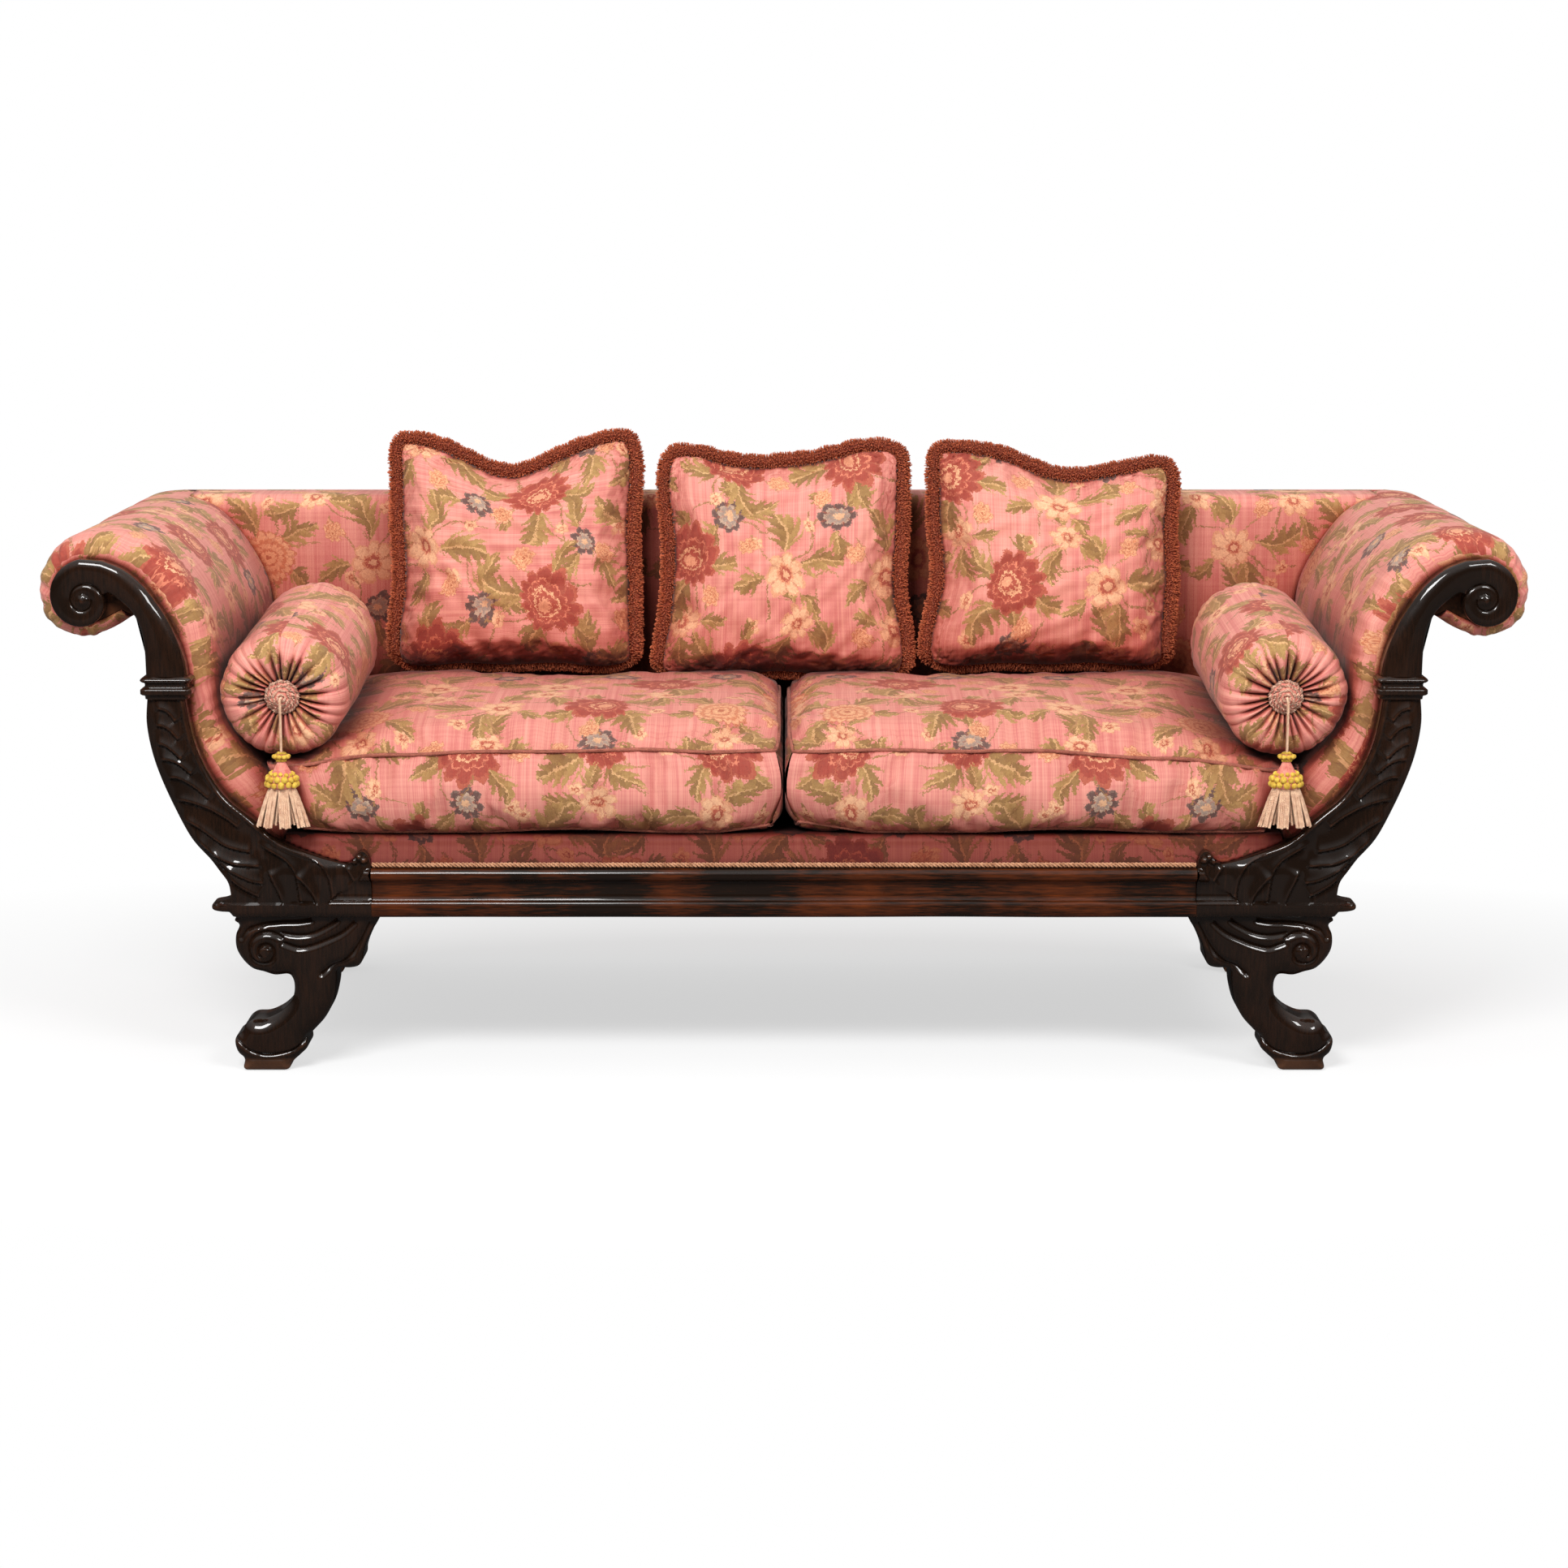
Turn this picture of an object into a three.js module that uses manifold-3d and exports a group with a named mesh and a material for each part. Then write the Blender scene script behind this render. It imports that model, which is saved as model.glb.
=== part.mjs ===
// A scroll-arm sofa: a carved dark hardwood show frame on four scroll legs, a sprung seat platform,
// rolled upholstered arms, a straight upholstered back, two loose seat cushions, three fringed
// pillows and two bolsters with tassels.
// Millimetres. +X is the sofa's right as a viewer in front sees it, +Y goes to the back, +Z is up.
// The origin is on the floor, under the middle of the sofa.
import * as THREE from "three";
import { mergeVertices } from "three/addons/utils/BufferGeometryUtils.js";
import Module from "manifold-3d";

const wasm = await Module();
wasm.setup();

// Driving sizes.
const seatWidth = 1550; // between the two arms' inner faces, at the seat
const armReach = 374; // from an arm's inner face at the seat to the outside of its roll
const overallDepth = 720;
const legHeight = 249;
const railHeight = 78;
const armRise = 518; // from the top of the rails to the top of the arms and back
const fit = 0.4; // gap between pieces that touch
const cutOverrun = 5;

// Places that several pieces share.
const armFaceX = seatWidth / 2;
const railTopZ = legHeight + railHeight;
const backTopZ = railTopZ + armRise;
const frontY = -overallDepth / 2;
const backY = overallDepth / 2;

// The frame's layers from front to back.
const carvingDepth = 40;
const frameDepth = 28;
const backCoverDepth = 12;
const carvingBackY = frontY + carvingDepth;
const frontFrameY = carvingBackY + fit;
const frontFrameBackY = frontFrameY + frameDepth;
const rearFrameBackY = backY - backCoverDepth - fit;
const rearFrameY = rearFrameBackY - frameDepth;

const tau = 2 * Math.PI;
const quarterTurn = Math.PI / 2;

// Finishes.
function finish(color, roughness) {
  return new THREE.MeshStandardMaterial({ color, roughness, metalness: 0 });
}
const showWood = finish("#2c1811", 0.3);
const frameWood = finish("#b58a5a", 0.7);
const floralCloth = finish("#d98078", 0.85);
const fringeYarn = finish("#8e3a22", 0.9);
const tasselYarn = finish("#d9a58c", 0.8);
const goldYarn = finish("#c99a2c", 0.7);
const juteWeb = finish("#a08a5c", 0.9);
const blackCloth = finish("#262320", 0.95);
const springWire = finish("#7b7d80", 0.4);

const sofa = new THREE.Group();

function add(name, geometry, material) {
  const mesh = new THREE.Mesh(geometry, material);
  mesh.name = name;
  sofa.add(mesh);
  return mesh;
}

// Adds a piece made for the right-hand side, and its mirror image on the left.
function addPair(name, geometry, material) {
  add(`${name}_right`, geometry, material);
  add(`${name}_left`, mirrored(geometry), material);
}

// Geometry helpers.
const flat = (x, z) => new THREE.Vector2(x, z);

function bare(geometry) {
  const copy = geometry.clone();
  copy.deleteAttribute("normal");
  copy.deleteAttribute("uv");
  const merged = mergeVertices(copy);
  const kept = [];
  for (let i = 0; i < merged.index.count; i += 3) {
    const [a, b, c] = [0, 1, 2].map((k) => merged.index.getX(i + k));
    if (a !== b && b !== c && c !== a) kept.push(a, b, c);
  }
  return merged.setIndex(kept);
}

function reversed(index) {
  const turned = [];
  for (let i = 0; i < index.length; i += 3) turned.push(index[i], index[i + 2], index[i + 1]);
  return turned;
}

function signedVolume(positions, index) {
  const corner = (i) => new THREE.Vector3().fromArray(positions, 3 * i);
  let sum = 0;
  for (let i = 0; i < index.length; i += 3) {
    sum += corner(index[i]).dot(corner(index[i + 1]).cross(corner(index[i + 2])));
  }
  return sum;
}

// A closed geometry from loose positions and triangles, with its faces turned outwards.
function closed(positions, index) {
  const outward = signedVolume(positions, index) < 0 ? reversed(index) : index;
  const geometry = new THREE.BufferGeometry();
  geometry.setAttribute("position", new THREE.Float32BufferAttribute(positions, 3));
  geometry.setIndex(outward);
  return geometry;
}

function mirrored(geometry) {
  const source = geometry.index ? geometry : bare(geometry);
  const positions = Array.from(source.attributes.position.array);
  for (let i = 0; i < positions.length; i += 3) positions[i] = -positions[i];
  return closed(positions, Array.from(source.index.array));
}

// A ring seen along the axis that it faces most.
function planeOf(ring) {
  const facing = new THREE.Vector3();
  ring.forEach((p, i) => facing.add(new THREE.Vector3().crossVectors(p, ring[(i + 1) % ring.length])));
  const [x, y, z] = facing.toArray().map(Math.abs);
  if (y >= x && y >= z) return (p) => flat(p.x, p.z);
  if (x >= z) return (p) => flat(p.y, p.z);
  return (p) => flat(p.x, p.y);
}

function capOf(ring) {
  const outline = ring.map(planeOf(ring));
  const faces = THREE.ShapeUtils.triangulateShape(outline, []);
  const facesTurn = faces.reduce((sum, t) => sum + THREE.ShapeUtils.area(t.map((i) => outline[i])), 0);
  const isSame = facesTurn * THREE.ShapeUtils.area(outline) > 0;
  return isSame ? faces : faces.map(([a, b, c]) => [a, c, b]);
}

// A solid through rings of equally many points: capped at both ends, or joined into a loop.
function loft(rings, loop = false) {
  const count = rings[0].length;
  const positions = rings.flat().flatMap((p) => [p.x, p.y, p.z]);
  const index = [];
  const spans = loop ? rings.length : rings.length - 1;
  for (let r = 0; r < spans; r++) {
    const near = r * count;
    const far = ((r + 1) % rings.length) * count;
    for (let i = 0; i < count; i++) {
      const j = (i + 1) % count;
      index.push(near + i, near + j, far + i, near + j, far + j, far + i);
    }
  }
  if (!loop) {
    const last = (rings.length - 1) * count;
    index.push(...capOf(rings[0]).flatMap(([a, b, c]) => [a, c, b]));
    index.push(...capOf(rings[rings.length - 1]).flatMap((t) => t.map((i) => i + last)));
  }
  return closed(positions, index);
}

// A box between two corners.
function block(x0, x1, y0, y1, z0, z1) {
  const box = new THREE.BoxGeometry(x1 - x0, y1 - y0, z1 - z0);
  box.translate((x0 + x1) / 2, (y0 + y1) / 2, (z0 + z1) / 2);
  return bare(box);
}

// A front-view outline carried from y0 to y1.
function board(outline, y0, y1) {
  return loft([y0, y1].map((y) => outline.map((p) => new THREE.Vector3(p.x, y, p.y))));
}

// A side-view outline, of y and z, carried from x0 to x1.
function moulding(outline, x0, x1) {
  return loft([x0, x1].map((x) => outline.map((p) => new THREE.Vector3(x, p.x, p.y))));
}

// Moves each point of an outline or line square to it, to its left as it is drawn.
function shifted(points, distance, isLoop) {
  const last = points.length - 1;
  return points.map((p, i) => {
    const before = points[isLoop ? (i + last) % points.length : Math.max(i - 1, 0)];
    const after = points[isLoop ? (i + 1) % points.length : Math.min(i + 1, last)];
    const along = after.clone().sub(before).normalize();
    return flat(p.x - along.y * distance, p.y + along.x * distance);
  });
}

// An outline inset all round: a positive distance makes it smaller.
function inset(outline, distance) {
  return shifted(outline, distance * Math.sign(THREE.ShapeUtils.area(outline)), true);
}

// Whether any two sides of an outline cross.
function crossesItself(outline) {
  const side = (a, b, p) => (b.x - a.x) * (p.y - a.y) - (b.y - a.y) * (p.x - a.x);
  const sides = outline.map((a, i) => [a, outline[(i + 1) % outline.length]]);
  return sides.some(([a, b], i) =>
    sides.slice(i + 2).some(([c, d]) => side(a, b, c) * side(a, b, d) < 0 && side(c, d, a) * side(c, d, b) < 0),
  );
}

// The rounding asked for, or as much of it as the outline's tightest corner takes.
const roundingTries = 20;
const roundingStep = 0.85;
function roundingFor(outline, edge) {
  let fitting = edge;
  for (let i = 0; i < roundingTries && crossesItself(inset(outline, fitting)); i++) {
    fitting *= roundingStep;
  }
  return fitting;
}

// A carved board: its front-view outline with both long edges rounded over.
function carved(outline, y0, y1, largestEdge, steps = 1) {
  const edge = roundingFor(outline, largestEdge);
  const rings = [];
  for (let i = 0; i <= steps; i++) {
    const angle = (i / steps) * quarterTurn;
    rings.push({ y: y0 + edge * (1 - Math.sin(angle)), by: edge * (1 - Math.cos(angle)) });
  }
  rings.reverse();
  const layers = [
    ...[...rings].reverse(),
    ...rings.map((ring) => ({ y: y0 + y1 - ring.y, by: ring.by })),
  ].sort((a, b) => a.y - b.y);
  return loft(
    layers.map((layer) =>
      inset(outline, layer.by).map((p) => new THREE.Vector3(p.x, layer.y, p.y)),
    ),
  );
}

function smooth(points, count) {
  return new THREE.SplineCurve(points).getPoints(count);
}

function solid(geometry) {
  const merged = bare(geometry.index ? geometry.toNonIndexed() : geometry);
  return new wasm.Manifold(
    new wasm.Mesh({
      numProp: 3,
      vertProperties: new Float32Array(merged.attributes.position.array),
      triVerts: new Uint32Array(merged.index.array),
    }),
  );
}

function geometryOf(manifold) {
  const { vertProperties, triVerts } = manifold.getMesh();
  return closed(Array.from(vertProperties), Array.from(triVerts));
}

const join = (...parts) => geometryOf(parts.map(solid).reduce((a, b) => a.add(b)));
const cut = (part, ...tools) => geometryOf(tools.map(solid).reduce((a, b) => a.subtract(b), solid(part)));

// A box of small faces whose points are moved one by one. The callback gets each point's place in
// the box, from -1 to 1 along x, y and z, and returns where it goes.
function moulded(columns, rows, layers, place) {
  const box = bare(new THREE.BoxGeometry(2, 2, 2, columns, rows, layers));
  const positions = [];
  for (let i = 0; i < box.attributes.position.count; i++) {
    const p = new THREE.Vector3().fromBufferAttribute(box.attributes.position, i);
    positions.push(...place(p.x, p.y, p.z).toArray());
  }
  return closed(positions, Array.from(box.index.array));
}

// A turned piece about the z axis, from a profile of radius and height.
function turned(profile, segments) {
  return bare(new THREE.LatheGeometry(profile, segments).rotateX(quarterTurn));
}

function pointsOf(geometry) {
  const position = geometry.attributes.position;
  return Array.from({ length: position.count }, (_, i) =>
    new THREE.Vector3().fromBufferAttribute(position, i),
  );
}

// The frame of an arm, seen from the front. Each point is a share of the arm's reach and rise,
// from the foot of the arm's inner face. Below the rails' top the second share is of the rail.
function armPoint([reachShare, riseShare]) {
  const height = riseShare < 0 ? railHeight : armRise;
  return flat(armFaceX + reachShare * armReach, railTopZ + riseShare * height);
}

const armPadOutsideShares = [
  [0, 0], [0, 0.098], [0.011, 0.18], [0.067, 0.266], [0.16, 0.353], [0.233, 0.43],
  [0.265, 0.527], [0.27, 0.624], [0.291, 0.72], [0.348, 0.817], [0.42, 0.894], [0.508, 0.956],
  [0.615, 0.99], [0.722, 1], [0.842, 0.986], [0.936, 0.942], [0.992, 0.875], [1, 0.813],
  [0.971, 0.739], [0.896, 0.697], [0.797, 0.683], [0.711, 0.705], [0.618, 0.747],
];
const boardInsideShares = [
  [0.083, 0], [0.083, 0.087], [0.136, 0.145], [0.227, 0.203], [0.305, 0.276], [0.358, 0.363],
  [0.388, 0.469], [0.396, 0.604], [0.42, 0.691], [0.468, 0.763], [0.527, 0.828], [0.596, 0.876],
  [0.682, 0.909], [0.762, 0.919], [0.842, 0.909], [0.896, 0.88], [0.92, 0.84], [0.922, 0.801],
  [0.904, 0.763], [0.856, 0.736], [0.797, 0.728], [0.73, 0.743], [0.65, 0.772],
];
const boardOutsideShares = [
  [0.59, 0.752], [0.559, 0.728], [0.535, 0.681], [0.524, 0.6], [0.527, 0.521], [0.527, 0.44],
  [0.511, 0.359], [0.479, 0.28], [0.425, 0.189], [0.358, 0.098], [0.291, 0.039], [0.243, 0],
];
const armPadSteps = 27;
const armCoverSteps = 10;
const armPadOutside = smooth(armPadOutsideShares.map(armPoint), armPadSteps);
const boardInside = smooth(boardInsideShares.map(armPoint), armPadSteps);
const boardOutside = smooth(boardOutsideShares.map(armPoint), armCoverSteps);
const armBoardOutline = [...boardInside, ...boardOutside];

// Where a line drawn upwards first reaches a height.
function acrossAt(line, z) {
  const i = line.findIndex((p, k) => k > 0 && p.y >= z);
  const [low, high] = [line[i - 1], line[i]];
  return low.x + ((z - low.y) / (high.y - low.y)) * (high.x - low.x);
}

// The scroll's eye, and the log spiral that winds into it.
const scrollEyeShare = [0.789, 0.805];
const scrollEye = armPoint(scrollEyeShare);
const spiralStartShare = 0.1711; // of the arm's reach
const spiralDecay = 0.15; // per radian
function spiralRadius(turn) {
  return spiralStartShare * armReach * Math.exp(-spiralDecay * turn);
}
// turn is counted from straight above the eye, outwards and down.
function spiralPoint(turn) {
  const r = spiralRadius(turn);
  return flat(scrollEye.x + r * Math.sin(turn), scrollEye.y + r * Math.cos(turn));
}

const neckInsideShares = [
  [0.377, 0.581], [0.385, 0.624], [0.409, 0.681], [0.447, 0.743], [0.492, 0.797], [0.548, 0.851],
  [0.623, 0.896], [0.708, 0.922],
];
const neckOutsideShares = [
  [0.69, 0.829], [0.652, 0.811], [0.596, 0.774], [0.564, 0.728], [0.548, 0.672],
  [0.545, 0.581],
];
const spiralOutlineTurn = 1.5 * Math.PI + 0.3;
const spiralSteps = 16;
const neckSteps = 9;
const scrollEdge = 7;

const grooveDepth = 7;
const grooveTurns = 1.15;
const grooveSteps = 16;
const grooveSides = 4;
const eyeBossShare = 0.036; // of the arm's reach
const eyeBossRise = 5;
const bossSegments = 12;
const scrollFrontY = frontY + eyeBossRise;

function scrollGroove() {
  const rings = [];
  for (let i = 0; i <= grooveSteps; i++) {
    const turn = spiralOutlineTurn - quarterTurn / 2 + (i / grooveSteps) * grooveTurns * tau;
    const centre = spiralPoint(turn);
    const outward = centre.clone().sub(scrollEye).normalize();
    const r = grooveDepth * (1 - i / (2 * grooveSteps));
    rings.push(
      Array.from({ length: grooveSides }, (_, k) => {
        const angle = (k / grooveSides) * tau;
        const across = r * Math.cos(angle);
        return new THREE.Vector3(
          centre.x + outward.x * across,
          scrollFrontY + r * Math.sin(angle),
          centre.y + outward.y * across,
        );
      }),
    );
  }
  return loft(rings);
}

// A low dome on a carved face, its flat side against the face at y.
function boss(centre, radius, y, rise) {
  const profile = [
    flat(0, -cutOverrun), flat(radius, -cutOverrun), flat(radius, 0),
    flat(radius * Math.SQRT1_2, rise * Math.SQRT1_2), flat(0, rise),
  ];
  const dome = turned(profile, bossSegments);
  dome.rotateX(quarterTurn);
  dome.translate(centre.x, y, centre.y);
  return dome;
}

function armScroll() {
  const inside = smooth(neckInsideShares.map(armPoint), neckSteps);
  const spiral = [];
  for (let i = 1; i <= spiralSteps; i++) spiral.push(spiralPoint((i / spiralSteps) * spiralOutlineTurn));
  const outside = smooth(neckOutsideShares.map(armPoint), neckSteps);
  const outline = [...inside, ...spiral, ...outside];
  const plate = carved(outline, scrollFrontY, carvingBackY, scrollEdge);
  const grooved = cut(plate, scrollGroove());
  return join(grooved, boss(scrollEye, eyeBossShare * armReach, scrollFrontY, eyeBossRise));
}
addPair("arm_scroll", armScroll(), showWood);

// The turned-looking collar between the scroll's neck and the carved stump.
const collarTopShare = 0.581;
const collarBottomShare = 0.512;
const collarProud = 8;
const collarLevels = [
  [0, 0.35], [0.12, 0.9], [0.28, 0.35], [0.4, 0.3], [0.55, 1], [0.72, 1], [0.88, 0.3], [1, 0.2],
]; // share of the collar's height, and share of collarProud
const neckInnerX = armPoint(neckInsideShares[0]).x;
const neckOuterX = armPoint(neckOutsideShares[neckOutsideShares.length - 1]).x;

function armCollar() {
  const top = railTopZ + collarTopShare * armRise - fit;
  const bottom = railTopZ + collarBottomShare * armRise + fit;
  const rings = collarLevels.map(([heightShare, proudShare]) => {
    const out = collarProud * proudShare;
    const z = top + heightShare * (bottom - top);
    const [x0, x1] = [neckInnerX - out, neckOuterX + out];
    const y0 = frontY + collarProud - out;
    const shoulder = scrollEdge;
    return [
      [x0, carvingBackY], [x0, y0 + shoulder], [x0 + shoulder / 2, y0 + shoulder / 3],
      [x0 + shoulder, y0], [x1 - shoulder, y0], [x1 - shoulder / 2, y0 + shoulder / 3],
      [x1, y0 + shoulder], [x1, carvingBackY],
    ].map(([x, y]) => new THREE.Vector3(x, y, z));
  });
  return loft(rings);
}
addPair("arm_collar", armCollar(), showWood);

// The carved stump: a leaf that wraps the foot of the arm and runs out along the rail.
const stumpShares = [
  [0.545, 0.51], [0.551, 0.44], [0.535, 0.359], [0.503, 0.28], [0.449, 0.185], [0.382, 0.089],
  [0.305, 0.023], [0.249, -0.167], [0.23, -0.346], [0.222, -0.603], [0.255, -0.655],
  [0.291, -0.69], [0.302, -0.75], [0.297, -0.83], [0.27, -0.87], [0.23, -0.885], [0.217, -0.99],
  [-0.361, -0.99], [-0.361, -0.3], [-0.34, -0.1], [-0.356, 0.006], [-0.35, 0.035],
  [-0.329, 0.044], [-0.307, 0.039], [-0.288, 0.017], [-0.254, 0.012], [-0.166, 0.029],
  [-0.024, 0.066], [0.048, 0.098], [0.134, 0.153], [0.233, 0.216], [0.302, 0.29], [0.348, 0.369],
  [0.372, 0.44], [0.385, 0.51],
];
const stumpEdge = 6;
const stumpFrontSetback = 8;
const leafTipShare = [-0.315, 0.006];
const leafTip = armPoint(leafTipShare);
const leafTipRadius = 11;
const leafTipRise = 7;
// Each rib of the leaf, as points along it from its root to its tip.
const leafRibShares = [
  [[0.13, -0.8], [0.2, -0.1], [0.3, 0.1], [0.42, 0.26], [0.46, 0.4]],
  [[0.08, -0.8], [0.1, -0.2], [0.16, 0.06], [0.26, 0.16], [0.36, 0.27]],
  [[0.02, -0.8], [0, -0.3], [0.02, -0.02], [0.1, 0.06], [0.2, 0.13]],
  [[-0.06, -0.8], [-0.1, -0.4], [-0.12, -0.12], [-0.07, 0.02], [0.02, 0.05]],
  [[-0.14, -0.8], [-0.2, -0.45], [-0.23, -0.25], [-0.22, -0.1], [-0.16, -0.02]],
];
const leafRibRadius = 8;
const leafRibEndShare = 0.45; // of that radius, at both ends
const leafRibFlatness = 0.6;
const leafRibSteps = 5;
const leafRibSides = 4;

// A raised rib on the carved face, thickest in its middle.
function leafRib(shares) {
  const line = smooth(shares.map(armPoint), leafRibSteps);
  const rings = line.map((p, i) => {
    const along = line[Math.min(i + 1, leafRibSteps)].clone().sub(line[Math.max(i - 1, 0)]).normalize();
    const swell = Math.sin((Math.PI * i) / leafRibSteps);
    const r = leafRibRadius * THREE.MathUtils.lerp(leafRibEndShare, 1, swell);
    return Array.from({ length: leafRibSides }, (_, k) => {
      const angle = (k / leafRibSides) * tau + quarterTurn;
      return new THREE.Vector3(
        p.x - along.y * r * Math.cos(angle),
        frontY + stumpFrontSetback - r * Math.sin(angle) * leafRibFlatness,
        p.y + along.x * r * Math.cos(angle),
      );
    });
  });
  return loft(rings);
}

function armStump() {
  const outline = stumpShares.map(armPoint);
  const plate = carved(outline, frontY + stumpFrontSetback, carvingBackY, stumpEdge);
  const tip = boss(leafTip, leafTipRadius, frontY + stumpFrontSetback, leafTipRise);
  return join(plate, tip, ...leafRibShares.map(leafRib));
}
addPair("arm_stump", armStump(), showWood);

// The arm's frame boards, behind the carving and at the back.
const railEndShare = [0.222, 0];
const railOuterX = armPoint(railEndShare).x;
const aboveRails = (p) => flat(p.x, Math.max(p.y, railTopZ + fit));
const armBoard = inset(armBoardOutline, fit).map(aboveRails);
addPair("arm_front_board", board(armBoard, frontFrameY, frontFrameBackY), frameWood);
addPair("arm_rear_board", board(armBoard, rearFrameY, rearFrameBackY), frameWood);

// The round core of the arm's roll, and the rail that the arm's stuffing is tacked to.
const rollCoreRadius = 34;
const rollCoreSegments = 14;
const tackRailThickness = 28;
const tackRailHeight = 36;
const armInsideY0 = frontFrameBackY + fit;
const armInsideY1 = rearFrameY - fit;
const rollCore = new THREE.CylinderGeometry(
  rollCoreRadius, rollCoreRadius, armInsideY1 - armInsideY0, rollCoreSegments,
);
rollCore.translate(scrollEye.x, (armInsideY0 + armInsideY1) / 2, scrollEye.y);
addPair("arm_roll_core", bare(rollCore), frameWood);
const tackRailX = armPoint(boardInsideShares[0]).x + fit;
addPair(
  "arm_tack_rail",
  block(
    tackRailX, tackRailX + tackRailThickness, armInsideY0, armInsideY1,
    railTopZ + fit, railTopZ + fit + tackRailHeight,
  ),
  frameWood,
);

// The stuffed arm: thin where it comes out from behind the carving, and full behind it.
const armBorderDepth = 62;
const armBorder = [
  [0, 0.25], [0.1, 0.58], [0.3, 0.84], [0.62, 0.97], [1, 1],
]; // share of armBorderDepth from the front, and share of the padding's thickness
const armPadFrontY = carvingBackY + fit;
const armPadInside = shifted(boardInside, fit, false);

const topRailHeight = 40;
const topRailDrop = 38; // from the top of the back down to the top rail
const topRailNotchShare = [0.6, 0]; // how far into the arm pad its notch for the rail reaches
const topRailTopZ = backTopZ - topRailDrop;
const topRailZ = topRailTopZ - topRailHeight;

function armPad() {
  const layer = (y, fullness) => {
    const outer = armPadOutside.map((p, i) => armPadInside[i].clone().lerp(p, fullness));
    const outline = [...outer, ...[...armPadInside].reverse()].map(aboveRails);
    return outline.map((p) => new THREE.Vector3(p.x, y, p.y));
  };
  const layers = armBorder.map(([depthShare, fullness]) =>
    layer(armPadFrontY + depthShare * armBorderDepth, fullness),
  );
  layers.push(layer(rearFrameBackY, 1));
  const notch = block(
    0, armPoint(topRailNotchShare).x, rearFrameY - fit, rearFrameBackY + cutOverrun,
    topRailZ - fit, topRailTopZ + fit,
  );
  return cut(loft(layers), notch);
}
addPair("arm_pad", armPad(), floralCloth);

// The outside of the arm: a stretched cover from the roll's throat down to the side rail.
const coverThickness = 8;
const armCoverLine = boardOutside;
function armOutsideCover() {
  const inner = shifted(armCoverLine, fit, false);
  const outer = shifted(armCoverLine, fit + coverThickness, false);
  return board([...inner, ...outer.reverse()].map(aboveRails), armPadFrontY, rearFrameBackY);
}
addPair("arm_outside_cover", armOutsideCover(), floralCloth);

// Seat rails. The front one is faced with a moulding between the two carved stumps.
const sideRailThickness = 52;
const sideRailX = railOuterX - sideRailThickness;
const railZ = legHeight + fit;
add(
  "front_rail",
  block(-railOuterX, railOuterX, frontFrameY, frontFrameBackY, railZ, railTopZ),
  frameWood,
);
add("back_rail", block(-railOuterX, railOuterX, rearFrameY, rearFrameBackY, railZ, railTopZ), frameWood);
addPair("side_rail", block(sideRailX, railOuterX, armInsideY0, armInsideY1, railZ, railTopZ), showWood);

const railProfileShares = [
  [1, 1], [0.2, 1], [0.07, 0.95], [0.02, 0.86], [0.07, 0.76], [0.26, 0.71], [0.26, 0.38],
  [0.1, 0.32], [0, 0.23], [0, 0.12], [0.12, 0.02], [1, 0],
]; // share of the moulding's depth from the front, and of the rail's height
const railProfile = railProfileShares.map(([depthShare, heightShare]) =>
  flat(frontY + depthShare * carvingDepth, railZ + heightShare * (railTopZ - railZ)),
);
const mouldingEndShare = [-0.361, 0];
const mouldingEndX = armPoint(mouldingEndShare).x - fit;
add("rail_moulding", moulding(railProfile, -mouldingEndX, mouldingEndX), showWood);

// Glue blocks in the corners of the seat frame.
const glueBlockLeg = 60;
const glueBlockHeight = 52;
const glueBlockZ = railTopZ - glueBlockHeight;
function glueBlock(y, inward) {
  const outline = [
    [sideRailX - fit, y], [sideRailX - fit, y + inward * glueBlockLeg],
    [sideRailX - fit - glueBlockLeg, y],
  ];
  return loft(
    [glueBlockZ, glueBlockZ + glueBlockHeight].map((z) =>
      outline.map(([px, py]) => new THREE.Vector3(px, py, z)),
    ),
  );
}
addPair("glue_block_front", glueBlock(frontFrameBackY + fit, 1), frameWood);
addPair("glue_block_rear", glueBlock(rearFrameY - fit, -1), frameWood);

// The back's frame: a top rail between the arms' rear boards, and a stile under its middle.
const topRailEndX = acrossAt(boardInside, topRailZ) - fit;
const stileHalfWidth = 30;
add(
  "back_top_rail",
  block(-topRailEndX, topRailEndX, rearFrameY, rearFrameBackY, topRailZ, topRailTopZ),
  frameWood,
);
add(
  "back_stile",
  block(-stileHalfWidth, stileHalfWidth, rearFrameY, rearFrameBackY, railTopZ + fit, topRailZ - fit),
  frameWood,
);

// Legs: a scroll knee over a shank that sweeps out to a toe. Shares of the leg's width, from its
// inner edge, and of its height.
const legKneeReach = 11; // under the end of the rail's moulding
const legThickness = 66;
const legEdge = 7;
const legOverhang = 4; // outside the rail
const legOuterX = railOuterX + legOverhang;
const legWidth = legOuterX - (mouldingEndX - legKneeReach);
const legSetback = 6;
const legShares = [
  [0.955, 1], [0.978, 0.967], [0.947, 0.936], [0.973, 0.87], [0.97, 0.787], [0.928, 0.714],
  [0.865, 0.658], [0.791, 0.637], [0.717, 0.616], [0.631, 0.621], [0.601, 0.596], [0.59, 0.549],
  [0.597, 0.487], [0.626, 0.435], [0.681, 0.383], [0.747, 0.347], [0.801, 0.331], [0.877, 0.326],
  [0.926, 0.295], [0.95, 0.25], [0.994, 0.211], [1, 0.164], [0.981, 0.112], [0.939, 0.07],
  [0.925, 0], [0.666, 0], [0.621, 0.06], [0.56, 0.112], [0.516, 0.164], [0.514, 0.222],
  [0.459, 0.269], [0.392, 0.341], [0.347, 0.414], [0.32, 0.518], [0.315, 0.601], [0.322, 0.663],
  [0.24, 0.72], [0.14, 0.8], [0.066, 0.89], [0, 1],
];
const legVoluteShare = [0.77, 0.78];
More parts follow.
